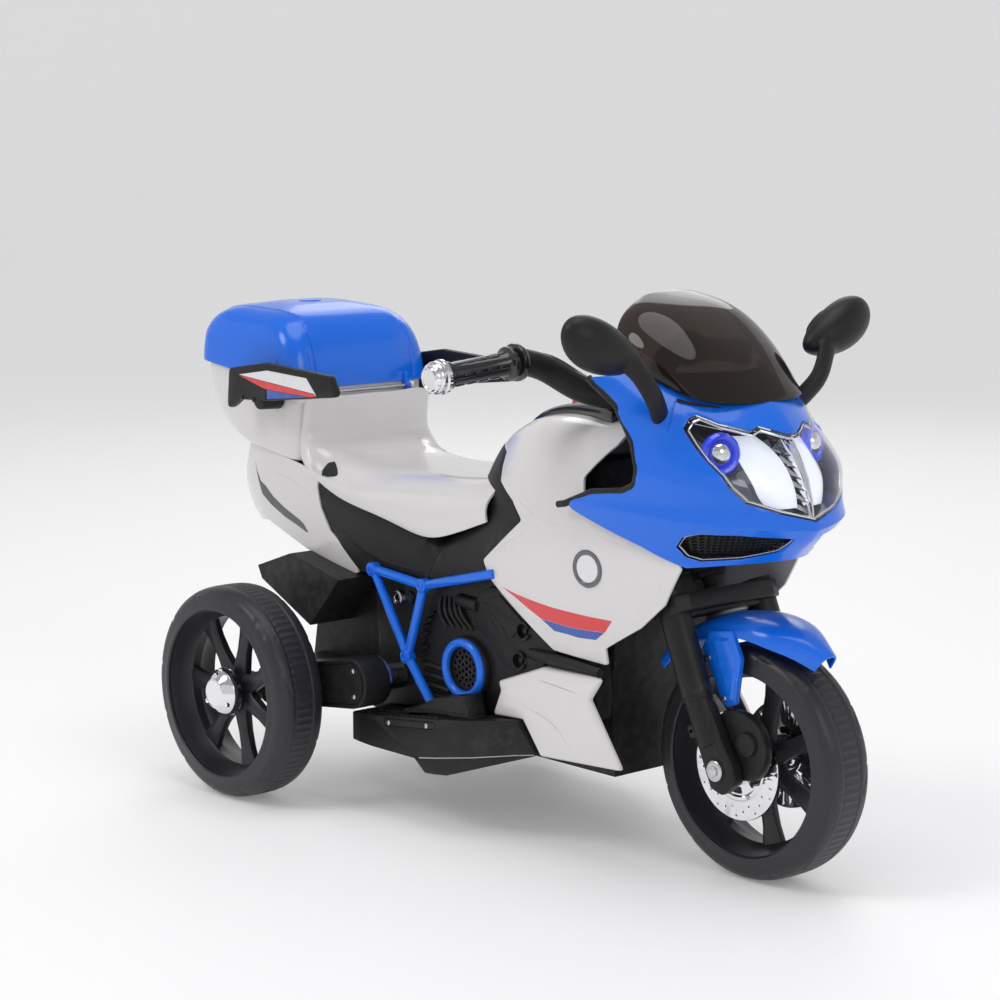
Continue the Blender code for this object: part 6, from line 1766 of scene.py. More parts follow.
def box_rings(inner=0.0):
    levels = ((0.262, -0.022, -0.1, 0.112, 0.026), (0.282, -0.021, -0.117, 0.1145, 0.028),
              (0.3, -0.02, -0.142, 0.116, 0.03),
              (0.32, -0.02, -0.187, 0.117, 0.032), (0.345, -0.02, -0.218, 0.1175, 0.034),
              (0.368, -0.02, -0.234, 0.118, 0.036),
              (0.374, -0.028, -0.237, 0.118, 0.036), (0.43, -0.028, -0.247, 0.119, 0.036))
    rings = []
    for height, ahead, back, half, corner in levels:
        lift = inner if height < 0.27 else 0.0
        ring = ring_outline(REAR_HUB.x + ahead - inner, REAR_HUB.x + back + inner, half - inner,
                            corner - inner)
        rings.append([Vector((x, y, REAR_HUB.z + height + lift)) for x, y in ring])
    return fair_rings(rings, 3, (5, 6))


WING_BOSS = (-0.062, 0.372)
BOX_SEAM = -0.028


def under_box(gap):
    """All that lies lower than a gap above the tail's top."""
    line = [(dx, dz + gap) for dx, dz in TAIL_TOP] + [(0.06, 0.2), (-0.3, 0.2)]
    return block("under", rear_line(line), -0.2, 0.2)


def storage_box():
    made = loft("box_shell", box_rings())
    cut(made, under_box(0.0008))
    cut(made, cut(loft("hollow", box_rings(BOX_WALL)), under_box(0.0008 + BOX_WALL)))
    top = [(0.05, joint_height(0.05)), (-0.3, joint_height(-0.3)), (-0.3, 0.5), (0.05, 0.5)]
    cut(made, block("top", rear_line(top), -0.2, 0.2))
    for side in (RIGHT, LEFT):
        ring_groove = turned("groove", rear(WING_BOSS[0] + 0.004, side * 0.1182, WING_BOSS[1] - 0.02),
                             [(0.0235, -0.002), (0.025, -0.002), (0.025, 0.0035), (0.0235, 0.0035)],
                             axis=(0, side, 0), steps=64)
        cut(made, ring_groove)
        seam = [rear(BOX_SEAM - 0.006, side * 0.12, 0.402), rear(BOX_SEAM - 0.006, side * 0.119, 0.37),
                rear(BOX_SEAM - 0.004, side * 0.113, 0.335), rear(BOX_SEAM + 0.004, side * 0.104, 0.305)]
        cut(made, tube("seam", [p - Vector((0.032, 0, 0)) for p in seam], 0.0009, fine=6, sides=2))
    soft_edges(largest(made), 0.001, 2, 50.0)
    pads = []
    for side in (RIGHT, LEFT):
        beside = side * (0.07 + 0.0072)
        lug = rod("lug", rear(-0.02, beside - 0.003, 0.38), rear(-0.02, beside + 0.003, 0.38), 0.005, None,
                  32, 0.0006)
        tab = slab("tab", rear(-0.0315, beside - 0.0028, 0.375), rear(-0.0192, beside + 0.0028, 0.3845),
                   0.0008)
        pads.append(cut(join(lug, tab), rod("eye", rear(-0.02, beside - 0.01, 0.38),
                                            rear(-0.02, beside + 0.01, 0.38),
                                            0.0031, None, 24)))
    gather(made, *pads)
    show(made, "chassis", "white_shell", ("storage_box",), 35.0)


LID_LEVELS = ((0.0, -0.0265, -0.249, 0.1225, 0.03), (0.012, -0.0275, -0.2488, 0.1222, 0.03),
              (0.026, -0.03, -0.248, 0.1212, 0.03), (0.04, -0.0345, -0.247, 0.1195, 0.03),
              (0.054, -0.041, -0.243, 0.1165, 0.031), (0.066, -0.05, -0.236, 0.1115, 0.032),
              (0.076, -0.061, -0.226, 0.1035, 0.032), (0.083, -0.073, -0.213, 0.092, 0.032),
              (0.0872, -0.088, -0.195, 0.076, 0.031), (0.09, -0.11, -0.17, 0.05, 0.03))
LID_BAND = 0.0815
BAND_RISE = 0.0022
LIFT_TOP = 0.09


def lid_height(dx, lift):
    level = JOINT_FRONT + (JOINT_REAR - JOINT_FRONT) * 0.5
    flatten = lift / LIFT_TOP
    return joint_height(dx) * (1 - 0.75 * flatten) + level * 0.75 * flatten + lift


def lid_rings(inner=0.0):
    rings = []
    for place, (lift, ahead, back, half, corner) in enumerate(LID_LEVELS):
        ring = ring_outline(REAR_HUB.x + ahead - inner, REAR_HUB.x + back + inner, half - inner,
                            corner - inner)
        drop = (inner if place == len(LID_LEVELS)
                - 1 else 0.0) + (0.01 if inner > 0.0 and place == 0 else 0.0)
        rings.append([Vector((x, y, REAR_HUB.z + lid_height(x - REAR_HUB.x, lift) + 0.0005 - drop)) for x,
                      y in ring])
    return fair_rings(rings, 3)


def lid_flutes(tree, side):
    """Hollows that run up the lid from its lower edge, beside the raised band and ahead on the side."""
    ahead = [hit(tree, (FRONT_HUB.x, side * (LID_BAND + 0.006), REAR_HUB.z + level), (-1.0, 0.0, 0.0))
             for level in (0.392, 0.408, 0.424, 0.44, 0.452)]
    beside = [hit(tree, (REAR_HUB.x - 0.062, side * 0.5, REAR_HUB.z + level), (0.0, -side, 0.0))
              for level in (0.396, 0.408, 0.42, 0.432)]
    made = []
    for marks, radius in ((ahead, 0.0042), (beside, 0.0034)):
        path = [place + normal * radius * 0.55 for place, normal in marks]
        made.append(tube("flute", path, radius, radii=(1.0, 1.0, 0.8, 0.2), fine=5, sides=5))
    return made


def box_lid():
    """The lid with its raised middle band, flutes, hinge lugs and an oval on top."""
    rings = lid_rings()
    tree = skin_tree([[*ring, ring[0]] for ring in rings])
    made = loft("lid_shell", rings)
    band = loft("band", lid_rings(-BAND_RISE))
    keep = slab("keep", rear(-0.3, -LID_BAND, 0.38), rear(0.0, LID_BAND, 0.6))
    join(made, soft_edges(cut(band, keep, operation="INTERSECT"), 0.0016, 2, 50.0))
    cut(made, loft("hollow", lid_rings(BOX_WALL)))
    for side in (RIGHT, LEFT):
        cut(made, *lid_flutes(tree, side))
        middle = side * 0.07
        lug = rod("lug", rear(-0.02, middle - 0.003, 0.38), rear(-0.02, middle + 0.003, 0.38), 0.0055, None,
                  32, 0.0006)
        tab = slab("tab", rear(-0.0285, middle - 0.003, 0.38), rear(-0.019, middle + 0.003, 0.3975), 0.001)
        join(made, cut(join(lug, tab), rod("eye", rear(-0.02, middle - 0.01, 0.38),
                                           rear(-0.02, middle + 0.01, 0.38),
                                           0.0031, None, 24)))
    largest(made)
    soft_edges(made, 0.0006, 2, 50.0)
    show(made, "lid", "blue_shell", ("box_lid",), 32.0)
    top = rear(-0.145, 0.0, lid_height(-0.145, LIFT_TOP) + BAND_RISE + 0.0003)
    oval = turned("lid_oval", (0, 0, 0), [(0.0, 0.0), (0.015, 0.0), (0.015, 0.0005), (0.0138, 0.0012),
                                          (0.012, 0.0008),
                                          (0.0, 0.0008)], axis=(0, 0, 1), steps=64)
    oval.data.transform(Matrix.Translation(top) @ Matrix.Diagonal((0.75, 1.2, 1.0, 1.0)))
    show(oval, "lid", "blue_shell")


# Tail
TAIL_TOP = [(-0.26, 0.33), (-0.15, 0.3075), (-0.078, 0.2968), (-0.009, 0.2853), (0.025, 0.275)]
TAIL_LINE = [*TAIL_TOP, (0.0226, 0.2598), (0.0299, 0.2343), (0.0477, 0.2042), (0.0761, 0.1849),
             (0.102, 0.154), (0.0762, 0.1506), (0.043, 0.158), (-0.03, 0.178), (-0.107, 0.2), (-0.16, 0.194),
             (-0.26, 0.2)]


def fair_tail():
    """Levels of the tail cowl from the box's seam down, from the right flank round to the left."""
    plan = ((0.125, 0.1175), (0.061, 0.121), (-0.019, 0.119), (-0.099, 0.111), (-0.164, 0.096),
            (-0.198, 0.07), (-0.211, 0.036), (-0.214, 0.0))
    levels = ((0.33, 0.02, 0.95), (0.29, 0.006, 0.985), (0.252, 0.0, 1.0), (0.215, 0.016, 0.99),
              (0.185, 0.05, 0.96), (0.145, 0.085, 0.92))
    rows = []
    for height, pull, width in levels:
        half = [rear(dx + pull * max(0.0, -dx / 0.214), -y * width, height) for dx, y in plan]
        rows.append(half + [Vector((p.x, -p.y, p.z)) for p in reversed(half[:-1])])
    return fair_rows(rows, along=6, across=4)


def tail():
    rows = fair_tail()
    tree = skin_tree(rows)
    line = rounded(inset(rear_line(TAIL_LINE), SEAM), 0.006, 4)
    for side, label in SIDES:
        made = sheet(f"tail_shell_{label}", rows)
        face_out(made, rear(-0.1, 0.0, 0.25))
        made.data.flip_normals()
        change(made, "SOLIDIFY", thickness=SHELL_WALL, offset=-1.0, use_even_offset=True)
        low, high = beside(side, SEAM, HALF_SPAN)
        cut(made, block("blank", line, low, high), operation="INTERSECT")
        largest(made)
        shift = REAR_HUB.x - FRONT_HUB.x
        crease = surface_line(tree, side, [(dx + shift, dz) for dx,
                                           dz in ((-0.08, 0.27), (-0.03, 0.262), (0.01, 0.248))])
        cut(made, tube("groove", crease, size("groove") * 0.8, radii=(0.2, 1.0, 0.2), sides=2, loose=True))
        soft_edges(made, 0.001, 3, 50.0)
        show(made, "chassis", "white_shell", (f"tail_panel_{label}",), 32.0)


# Windscreen
def windscreen():
    centre = ((0.0045, 0.423), (-0.026, 0.462), (-0.066, 0.499), (-0.11, 0.528), (-0.1565, 0.543))
    edge = ((-0.05, 0.092, 0.434), (-0.104, 0.106, 0.458), (-0.14, 0.106, 0.492), (-0.152, 0.086, 0.517),
            (-0.16, 0.045, 0.537))
    rows = []
    for (dx, dz), (ex, ey, ez) in zip(centre, edge):
        half = []
        for step in range(9):
            share = step / 8
            bow = share ** 2.2
            half.append(front(dx + (ex - dx) * bow, -ey * math.sin(share * math.pi / 2),
                              dz + (ez - dz) * bow))
        rows.append(both_sides(half))
    fine = fair_rows(rows, along=7, across=3)
    made = sheet("screen_shell", fine)
    face_out(made, front(0.6, 0.0, 0.9))
    change(made, "SOLIDIFY", thickness=0.0024, offset=-1.0, use_even_offset=True)
    soft_edges(made, 0.0008, 3, 60.0)
    show(made, "chassis", "tinted_screen", ("windscreen",), 40.0)
    laid = moved_rows(fine, -0.003)
    seal = sheet("screen_seal", laid[:3])
    change(seal, "SOLIDIFY", thickness=0.001, offset=0.0, use_even_offset=True)
    show(seal, "chassis", "seam_black")


# Mirrors
def mirror_body(side, label):
    """A teardrop head that flows into a broad flat stem."""
    stations = [(front(-0.059, side * 0.114, 0.406), 0.012, 0.0085), (front(-0.053, side * 0.125, 0.419),
                                                                      0.0125, 0.009),
                (front(-0.047, side * 0.14, 0.436), 0.0125, 0.0085), (front(-0.051, side * 0.158, 0.462),
                                                                      0.013, 0.008),
                (front(-0.06, side * 0.176, 0.482), 0.0165, 0.0085), (front(-0.068, side * 0.196, 0.492),
                                                                      0.026, 0.0105)]
    centres = fair_curve([s[0] for s in stations], 5)
    rings = []
    for place, centre in enumerate(centres):
        share = place / (len(centres) - 1) * (len(stations) - 1)
        low = min(int(share), len(stations) - 2)
        wide = stations[low][1] + (stations[low + 1][1] - stations[low][1]) * (share - low)
        deep = stations[low][2] + (stations[low + 1][2] - stations[low][2]) * (share - low)
        run = (centres[min(place + 1, len(centres) - 1)] - centres[max(place - 1, 0)]).normalized()
        ahead = (Vector((1.0, 0.0, 0.0)) - run * run.x).normalized()
        across = run.cross(ahead)
        rings.append([centre + across * wide * math.cos(t) + ahead * deep * math.sin(t)
                      for t in (math.tau * k / 20 for k in range(20))])
    stem = loft(f"mirror_{label}_moulding", rings)
    clear_choice()
    bpy.ops.mesh.primitive_uv_sphere_add(segments=48, ring_count=28, radius=1.0)
    head = named("head")
    for vert in head.data.vertices:
        x, y, z = vert.co
        outward = y * side
        swell = 1.0 + 0.2 * outward
        vert.co = Vector((max(x, -0.28) * 0.0285, y * 0.0575, z * 0.03 * swell + 0.01 * outward))
    head.data.transform(Matrix.Translation(front(-0.072, side * 0.2,
                                                 0.492)) @ Matrix.Rotation(math.radians(side * 10), 4, "X"))
    join(stem, head)
    change(stem, "REMESH", mode="VOXEL", voxel_size=0.0016)
    change(stem, "SMOOTH", factor=0.5, iterations=14)
    show(stem, "chassis", "satin_black", (f"mirror_{label}",), 60.0)
    pane = turned(f"mirror_glass_{label}", (0, 0, 0), [(0.0, 0.0), (0.024, 0.0), (0.0246, 0.0008),
                                                       (0.0236, 0.0014), (0.0, 0.0014)],
                  axis=(1, 0, 0), steps=64)
    pane.data.transform(Matrix.Translation(front(-0.0812, side * 0.2,
                                                 0.4925)) @ Matrix.Rotation(math.radians(side * 10), 4, "X")
                        @ Matrix.Diagonal((1.0, 1.85, 1.0, 1.0)))
    show(pane, "chassis", "chrome")
    base = rod("mirror_foot", front(-0.068, side * 0.108, 0.398), front(-0.06, side * 0.115, 0.407), 0.013,
               0.0115, 40, 0.002)
    base.name = f"mirror_foot_{label}"
    show(base, "chassis", "satin_black")


def mirrors():
    for side, label in SIDES:
        mirror_body(side, label)


# Dashboard and switches
DASH_ROWS = ((-0.402, 0.005, 0.36), (-0.385, 0.01, 0.372), (-0.35, 0.016, 0.388), (-0.3, 0.024, 0.398),
             (-0.26, 0.034, 0.4025), (-0.225, 0.044, 0.403), (-0.208, 0.047, 0.402))
POWER_AT = (-0.312, 0.0)
DIRECTION_AT = (-0.272, -0.014)
HORN_AT = (-0.272, 0.014)


def dash_top(dx):
    for (low, _, first), (high, _, second) in zip(DASH_ROWS, DASH_ROWS[1:]):
        if low <= dx <= high:
            return first + (second - first) * (dx - low) / (high - low)
    return DASH_ROWS[-1][2]


def on_dash(place, lift=0.0):
    return front(place[0], place[1], dash_top(place[0]) + lift)


def rocker(name, place, body, node_name, finish):
    """A rocker with two sloped faces and a moulded mark on each: a line and a ring."""
    half_long, half_wide, deep = 0.0085, 0.006, 0.007
    side_view = [(-half_long, -deep), (half_long, -deep), (half_long, 0.0034), (0.0, 0.0018),
                 (-half_long, 0.0034)]
    at = on_dash(place)
    outline = rounded([(at.x + a, at.z + b) for a, b in side_view], 0.0012, 4)
    made = soft_edges(block(name, outline, at.y - half_wide, at.y + half_wide), 0.0006, 2, 35.0)
    bar = slab("bar", at + Vector((-0.0058, -0.0018, 0.002)), at + Vector((-0.005, 0.0018, 0.005)))
    ring = turned("ring", at + Vector((0.005, 0.0, 0.0033)), [(0.0013, -0.001), (0.0019, -0.001),
                                                              (0.0019, 0.002), (0.0013, 0.002)],
                  axis=(0, 0, 1), steps=24)
    show(cut(made, bar, ring), body, finish, (node_name,), 35.0)


def dashboard():
    """The gloss tongue with pockets for its switches."""
    rings = []
    for dx, half, top in DASH_ROWS:
        edge = [(half, -0.022), (half, -0.008), (half * 0.96, -0.0035), (half * 0.8, -0.001),
                (half * 0.45, 0.0), (0.0, 0.0003)]
        edge += [(-y, dz) for y, dz in reversed(edge[:-1])]
        rings.append([front(dx, y, top + dz) for y, dz in edge])
    made = loft("dash_tongue", fair_rings(rings, 3))
    for place in (POWER_AT, DIRECTION_AT):
        room = Vector((0.01, 0.0068, 0))
        cut(made, slab("pocket", on_dash(place, -0.012) - room, on_dash(place, 0.02) + room, 0.0006))
    cut(made, rod("pocket", on_dash(HORN_AT, -0.008), on_dash(HORN_AT, 0.02), 0.0068, None, 40))
    soft_edges(made, 0.0005, 2, 50.0)
    show(made, "chassis", "gloss_black", ("dashboard",), 35.0)
    rocker("power_rocker_cap", POWER_AT, "power_rocker", "power_switch", "red_switch")
    rocker("direction_rocker_cap", DIRECTION_AT, "direction_rocker", "direction_switch",
           "satin_black")
    cap = turned("horn_cap", on_dash(HORN_AT, -0.005), [(0.0, 0.0), (0.0058, 0.0), (0.006, 0.0006),
                                                        (0.006, 0.0074),
                                                        (0.0052, 0.0086), (0.004, 0.0087), (0.003, 0.0083),
                                                        (0.0, 0.0081)],
                 axis=(0, 0, 1), steps=48)
    show(cap, "horn", "yellow_button", ("horn_button",), 35.0)


# Engine covers, speaker, charging socket and trellis
ENGINE_FACE = 0.104
CHASSIS_HALF = 0.078
COVER_LINE = [(-0.592, 0.182), (-0.48, 0.176), (-0.365, 0.196), (-0.255, 0.15), (-0.19, 0.122),
              (-0.172, 0.108),
              (-0.172, 0.032), (-0.2865, 0.019), (-0.577, -0.016)]
SPEAKER_AT = (0.309, 0.0595)
FINS = ((0.2436, 0.1245), (0.2374, 0.117), (0.2334, 0.1085), (0.2292, 0.0998), (0.2272, 0.0902),
        (0.2231, 0.0803),
        (0.225, 0.0712))
RIB_TOPS = ((0.256, 0.144), (0.265, 0.1456), (0.2739, 0.146), (0.2828, 0.1461), (0.2915, 0.146))
RIB_FEET = ((0.2679, 0.107), (0.281, 0.1075), (0.294, 0.108), (0.306, 0.109), (0.317, 0.11))
HEAD_LINE = [(0.3327, 0.1596), (0.3524, 0.1699), (0.3784, 0.1709), (0.4269, 0.1397), (0.4672, 0.118),
             (0.4762, 0.1046),
             (0.4388, 0.0756), (0.4015, 0.0695), (0.3747, 0.0779), (0.3411, 0.108), (0.325, 0.1117),
             (0.3215, 0.1371)]
POCKETS = ((0.4175, 0.1245), (0.4101, 0.0863))
SOCKET_AT = (0.176, 0.132)


def engine_cover(side, label):
    """The black moulding with slanted fins, curved ribs, a head cover with bolt pockets, and ribs below."""
    face = ENGINE_FACE
    made = block(f"engine_moulding_{label}", rounded(front_line(COVER_LINE), 0.004, 3),
                 *beside(side, CHASSIS_HALF + 0.0005, face))
    hollow = block("hollow", inset(front_line(COVER_LINE), 0.003),
                   *beside(side, CHASSIS_HALF - 0.01, face - 0.003))
    cut(made, hollow)
    soft_edges(made, 0.001, 2, 40.0)
    x, z = SPEAKER_AT
    add = []
    housing = turned("housing", rear(x, 0.0, z), [(0.0, side * (face - 0.002)),
                                                  (0.0415, side * (face - 0.002)), (0.041, side * 0.1105),
                                                  (0.04, side * 0.112), (0.0275, side * 0.112),
                                                  (0.027, side * 0.1085),
                                                  (0.0, side * 0.1085)], steps=72)
    add.append(housing)
    for fx, fz in FINS:
        line = [(fx - 0.0075, fz - 0.0058), (fx + 0.0075, fz + 0.003), (fx + 0.0075, fz + 0.0062),
                (fx - 0.0075, fz - 0.0026)]
        add.append(side_block("fin", line, side, face - 0.001, 0.1095, 0.0006, rear_line))
    for (tx, tz), (bx, bz) in zip(RIB_TOPS, RIB_FEET):
        path = []
        for k in range(7):
            share = k / 6
            bow = math.sin(share * math.pi)
            path.append(rear(tx + (bx - tx) * share - 0.004 * bow, side * (0.1045 + 0.004 * bow),
                             tz + (bz - tz) * share))
        add.append(tube("rib", path, 0.003, radii=(0.7, 1.0, 0.7), fine=3, sides=4))
    add.append(rod("barrel", rear(0.291, side * (face - 0.001), 0.1449),
                   rear(0.33, side * (face + 0.0015), 0.1423), 0.0085, 0.0088,
                   40, 0.0015))
    add.append(side_block("head", HEAD_LINE, side, face - 0.001, 0.109, 0.0024, rear_line))
    raised = [(0.348, 0.154), (0.374, 0.162), (0.418, 0.135), (0.396, 0.112), (0.38, 0.11), (0.356, 0.126)]
    add.append(side_block("raised", raised, side, face - 0.001, 0.1112, 0.0018, rear_line))
    for px, pz in POCKETS:
        add.append(rod("pocket_wall", rear(px, side * (face - 0.001), pz), rear(px, side * 0.1135, pz),
                       0.013, 0.0118, 40, 0.0012))
    for n in range(4):
        level = 0.052 - 0.0125 * n
        add.append(tube("rib", [rear(0.222 - 0.002 * n, side * (face - 0.0005), level),
                                rear(0.245, side * (face + 0.0012), level - 0.001),
                                rear(0.268 + 0.002 * n, side * (face - 0.0005), level - 0.003)], 0.004,
                                fine=6, sides=4))
    seam_path = [rear(0.34, side * 0.1092, 0.15), rear(0.356, side * 0.1112, 0.14),
                 rear(0.381, side * 0.1112, 0.1229),
                 rear(0.3925, side * 0.1095, 0.106)]
    join(made, *add)
    wells = [rod("well", rear(px, side * 0.106, pz), rear(px, side * 0.12, pz), 0.0088, 0.0092, 40)
             for px, pz in POCKETS]
    mouths = [slab("mouth", rear(px + 0.004, side * 0.1095, pz - 0.004),
                   rear(px + 0.018, side * 0.12, pz + 0.004))
              for px, pz in POCKETS]
    cut(made, *wells, *mouths, tube("seam", seam_path, 0.0009, fine=6, sides=2))
    join(made, *[rod("bolt", rear(px, side * 0.1055, pz), rear(px, side * 0.1092, pz), 0.0046, 0.0042, 6,
                     0.0006)
                 for px, pz in POCKETS])
    holes = []
    for ring_no, (reach, count) in enumerate(((0.0, 1), (0.0078, 6), (0.015, 12), (0.0218, 16))):
        for n in range(count):
            turn = math.tau * (n + 0.5 * (ring_no % 2)) / max(count, 1)
            place = rear(x + reach * math.cos(turn), 0.0, z + reach * math.sin(turn))
            holes.append(rod("hole", place + Vector((0, side * 0.1045, 0)),
                             place + Vector((0, side * 0.115, 0)), 0.0023, None, 12))
    cut(made, gather(*holes))
    if side == RIGHT:
        sx, sz = SOCKET_AT
        cut(made, rod("socket_hole", rear(sx, side * 0.09, sz), rear(sx, side * 0.12, sz), 0.0075, None, 32))
    show(largest(made), "chassis", "satin_black", (f"engine_cover_{label}",), 32.0)
    pipe = tube(f"engine_pipe_{label}", [rear(0.428, side * 0.106, 0.0975), rear(0.461, side * 0.112, 0.0985),
                                         rear(0.4915, side * 0.1135, 0.098),
                                         rear(0.5249, side * 0.113, 0.096),
                                         rear(0.5535, side * 0.111, 0.0935)], 0.0078,
                                         radii=(1.0, 1.0, 0.9, 0.75),
                fine=8, sides=7)
    show(pipe, "chassis", "satin_black")
    ring = turned(f"speaker_trim_{label}", rear(x, 0.0, z), [(0.039, side * 0.1125), (0.0392, side * 0.1145),
                                                             (0.038, side * 0.1172),
                                                             (0.0352, side * 0.1188), (0.0318, side * 0.119),
                                                             (0.0292, side * 0.1176),
                                                             (0.0281, side * 0.1155),
                                                             (0.028, side * 0.1125)], steps=80)
    show(ring, "chassis", "blue_shell", ("speaker_ring",) if side == RIGHT else (), 40.0)


def charging_socket():
    """The plated socket with its stepped rim, and the round blind plug beside it."""
    sx, sz = SOCKET_AT
    at = rear(sx, -ENGINE_FACE - 0.0005, sz)
    out = Vector((0, -1, 0))
    body = turned("socket_body", at, [(0.0045, -0.014), (0.007, -0.014), (0.007, 0.0), (0.0105, 0.0),
                                      (0.0105, 0.003),
                                      (0.0098, 0.0042), (0.0092, 0.0068), (0.008, 0.0075), (0.0052, 0.0075),
                                      (0.0045, 0.0068)],
                  axis=out, steps=56)
    show(body, "chassis", "grey_plating", ("charging_socket",))
    pin = rod("socket_pin", at - out * 0.0135, at + out * 0.004, 0.001, None, 16, 0.0003)
    show(pin, "chassis", "bright_steel")
    plug_at = rear(sx + 0.019, -ENGINE_FACE, sz + 0.002)
    plug = turned("blind_plug", plug_at, [(0.0, -0.002), (0.0092, -0.002), (0.0092, 0.0025),
                                          (0.0084, 0.0036), (0.006, 0.0036),
                                          (0.0052, 0.0022), (0.0, 0.0022)], axis=out, steps=48)
    show(plug, "chassis", "gloss_black")


TRELLIS_FACE = 0.1225
TRELLIS_RADIUS = 0.0062
TRELLIS_KNOTS = {"A": (0.143, 0.1665), "B": (0.243, 0.1585), "C": (0.211, 0.062), "D": (0.257, 0.008),
                 "E": (0.378, 0.1915)}


def trellis():
    """Round tubes between three bosses with raised rings."""
    for side, label in SIDES:
        def at(knot, out=0.0):
            dx, dz = TRELLIS_KNOTS[knot]
            return rear(dx, side * (TRELLIS_FACE + out), dz)

        bars = []
        for place, (first, second) in enumerate(("AB", "BE", "AC", "BC", "CD")):
            bars.append(rod("bar", at(first), at(second), TRELLIS_RADIUS - 0.00005 * place, None, 32, 0.001))
        for knot in "ABC":
            bars.append(rod("boss", at(knot, -0.0058), at(knot, 0.0068), TRELLIS_RADIUS + 0.0028, None, 40,
                            0.0014))
            bars.append(turned("ring", at(knot, 0.0066), [(0.0034, -0.002), (0.0056, -0.002),
                                                          (0.0056, 0.0012), (0.005, 0.0017),
                                                          (0.004, 0.0017), (0.0034, 0.0012)],
                                                          axis=(0, side, 0), steps=40))
        made = gather(*bars)
        made.name = f"trellis_tubes_{label}"
        show(made, "chassis", "blue_shell", (f"trellis_{label}",), 32.0)


# Gearbox cover
def gearbox():
    def line(margin=0.0):
        points = []
        for (cx, cz), radius, start in (((0.0, 0.0), 0.026, 100), ((0.175, 0.03), 0.033, -80)):
            for step in range(19):
                turn = math.radians(start + 9.0 * step)
                points.append((cx + (radius - margin) * math.cos(turn),
                               cz + (radius - margin) * math.sin(turn)))
        return rear_line(points)

    made = block("gearbox_cover", line(), -0.19, -0.149)
    cut(made, block("hollow", line(0.003), -0.187, -0.14))
    soft_edges(made, 0.003, 4, 50.0)
    cut(made, cut(block("recess", line(0.005), -0.195, -0.1888), block("keep", line(0.0068), -0.2, -0.18)))
    cut(made, rod("bore", rear(0, -0.25, 0), rear(0, -0.1, 0), BORE_RADIUS, None, 32))
    show(made, "chassis", "satin_black", ("gearbox_housing",), 35.0)
    add_screws("chassis", [(f"gearbox_screw_{n}", rear(dx, -0.19, dz), (0, -1, 0))
                           for n, (dx, dz) in enumerate(((0.182, 0.047), (0.184, 0.014), (0.09, 0.034),
                                                         (0.086, -0.002)))])


# Footboard and pedal
BOARD_SIDE = [(0.135, -0.018), (0.135, -0.05), (0.19, -0.053), (0.275, -0.053), (0.295, -0.068),
              (0.333, -0.065),
              (0.457, -0.023), (0.426, 0.017)]
BOARD_HOLLOW = [(0.139, -0.0225), (0.139, -0.1), (0.452, -0.1), (0.452, -0.024), (0.4235, 0.0125)]
BOARD_HALF_PLAN = [(0.135, 0.15), (0.148, 0.164), (0.165, 0.166), (0.312, 0.166), (0.372, 0.156),
                   (0.425, 0.132), (0.457, 0.125)]
PEDAL_OUT = 0.15
PEDAL_IN = 0.1205
PEDAL_HINGE = (0.24, -0.002)


def board_top(dx):
    return -0.018 + (dx - 0.135) / (0.426 - 0.135) * 0.035


def footboard():
    plan = [(REAR_HUB.x + dx, y) for dx, y in BOARD_HALF_PLAN]
    plan += [(x, -y) for x, y in reversed(plan)]
    made = block("footboard_moulding", rounded(rear_line(BOARD_SIDE), 0.006, 4), -0.2, 0.2)
    cut(made, block("plan", rounded(plan, 0.01, 5), 0.0, 0.3, "XY"), operation="INTERSECT")
    hollow = block("hollow", rear_line(BOARD_HOLLOW), -0.2, 0.2)
    cut(hollow, block("plan", rounded(inset(plan, 0.004), 0.008, 4), -0.1, 0.3, "XY"), operation="INTERSECT")
    cut(made, hollow)
    join(made, slab("strap", rear(0.185, -0.1, -0.053), rear(0.275, 0.1, -0.0405), 0.002))
    cut(made, slab("tunnel", rear(0.1, -CHASSIS_HALF - 0.001, -0.0385), rear(0.5, CHASSIS_HALF + 0.001, 0.1)))
    cut(made, slab("pedal_well", rear(0.262, -PEDAL_OUT - 0.002, -0.03),
                   rear(0.368, -PEDAL_IN + 0.002, 0.05)))
    for side in (RIGHT, LEFT):
        strip = [(0.214, -0.0115), (0.314, 0.0005), (0.3145, -0.0085), (0.308, -0.0105), (0.214, -0.022)]
        outer = side_block("strip", strip, side, 0.164, 0.17, 0.0, rear_line)
        inner = block("keep", inset(rear_line(strip), 0.0011), *beside(side, 0.15, 0.18))
        cut(made, cut(outer, inner))
        lip = [(0.278, -0.051), (0.456, -0.0215), (0.4555, -0.023), (0.279, -0.053)]
        cut(made, side_block("lip", lip, side, 0.12, 0.18, 0.0, rear_line))
    soft_edges(largest(made), 0.0008, 2, 40.0)
    show(made, "chassis", "satin_black", ("footboard",), 32.0)
    blocks = []
    for side in (RIGHT, LEFT):
        for n in range(15):
            dx = 0.152 + 0.0112 * n
            for y in ((0.1575, 0.1475, 0.1375) if dx < 0.225 else (0.1575,)):
                base = rear(dx, side * y, board_top(dx))
                tile = slab("tile", (-0.0036, -0.0036, -0.002), (0.0036, 0.0036, 0.0018), 0.0008)
                tile.data.transform(Matrix.Translation(base) @ Matrix.Rotation(-math.atan2(0.035, 0.291), 4,
                                                                               "Y"))
                blocks.append(tile)
    treads = gather(*blocks)
    treads.name = "footboard_treads"
    show(treads, "chassis", "satin_black", (), 40.0)
    places = []
    for side, label in SIDES:
        places += [(f"board_screw_{n}_{label}", rear(dx, side * 0.166, dz), (0, side, 0))
                   for n, (dx, dz) in enumerate(((0.224, -0.0163), (0.298, -0.0072)))]
    add_screws("chassis", places)


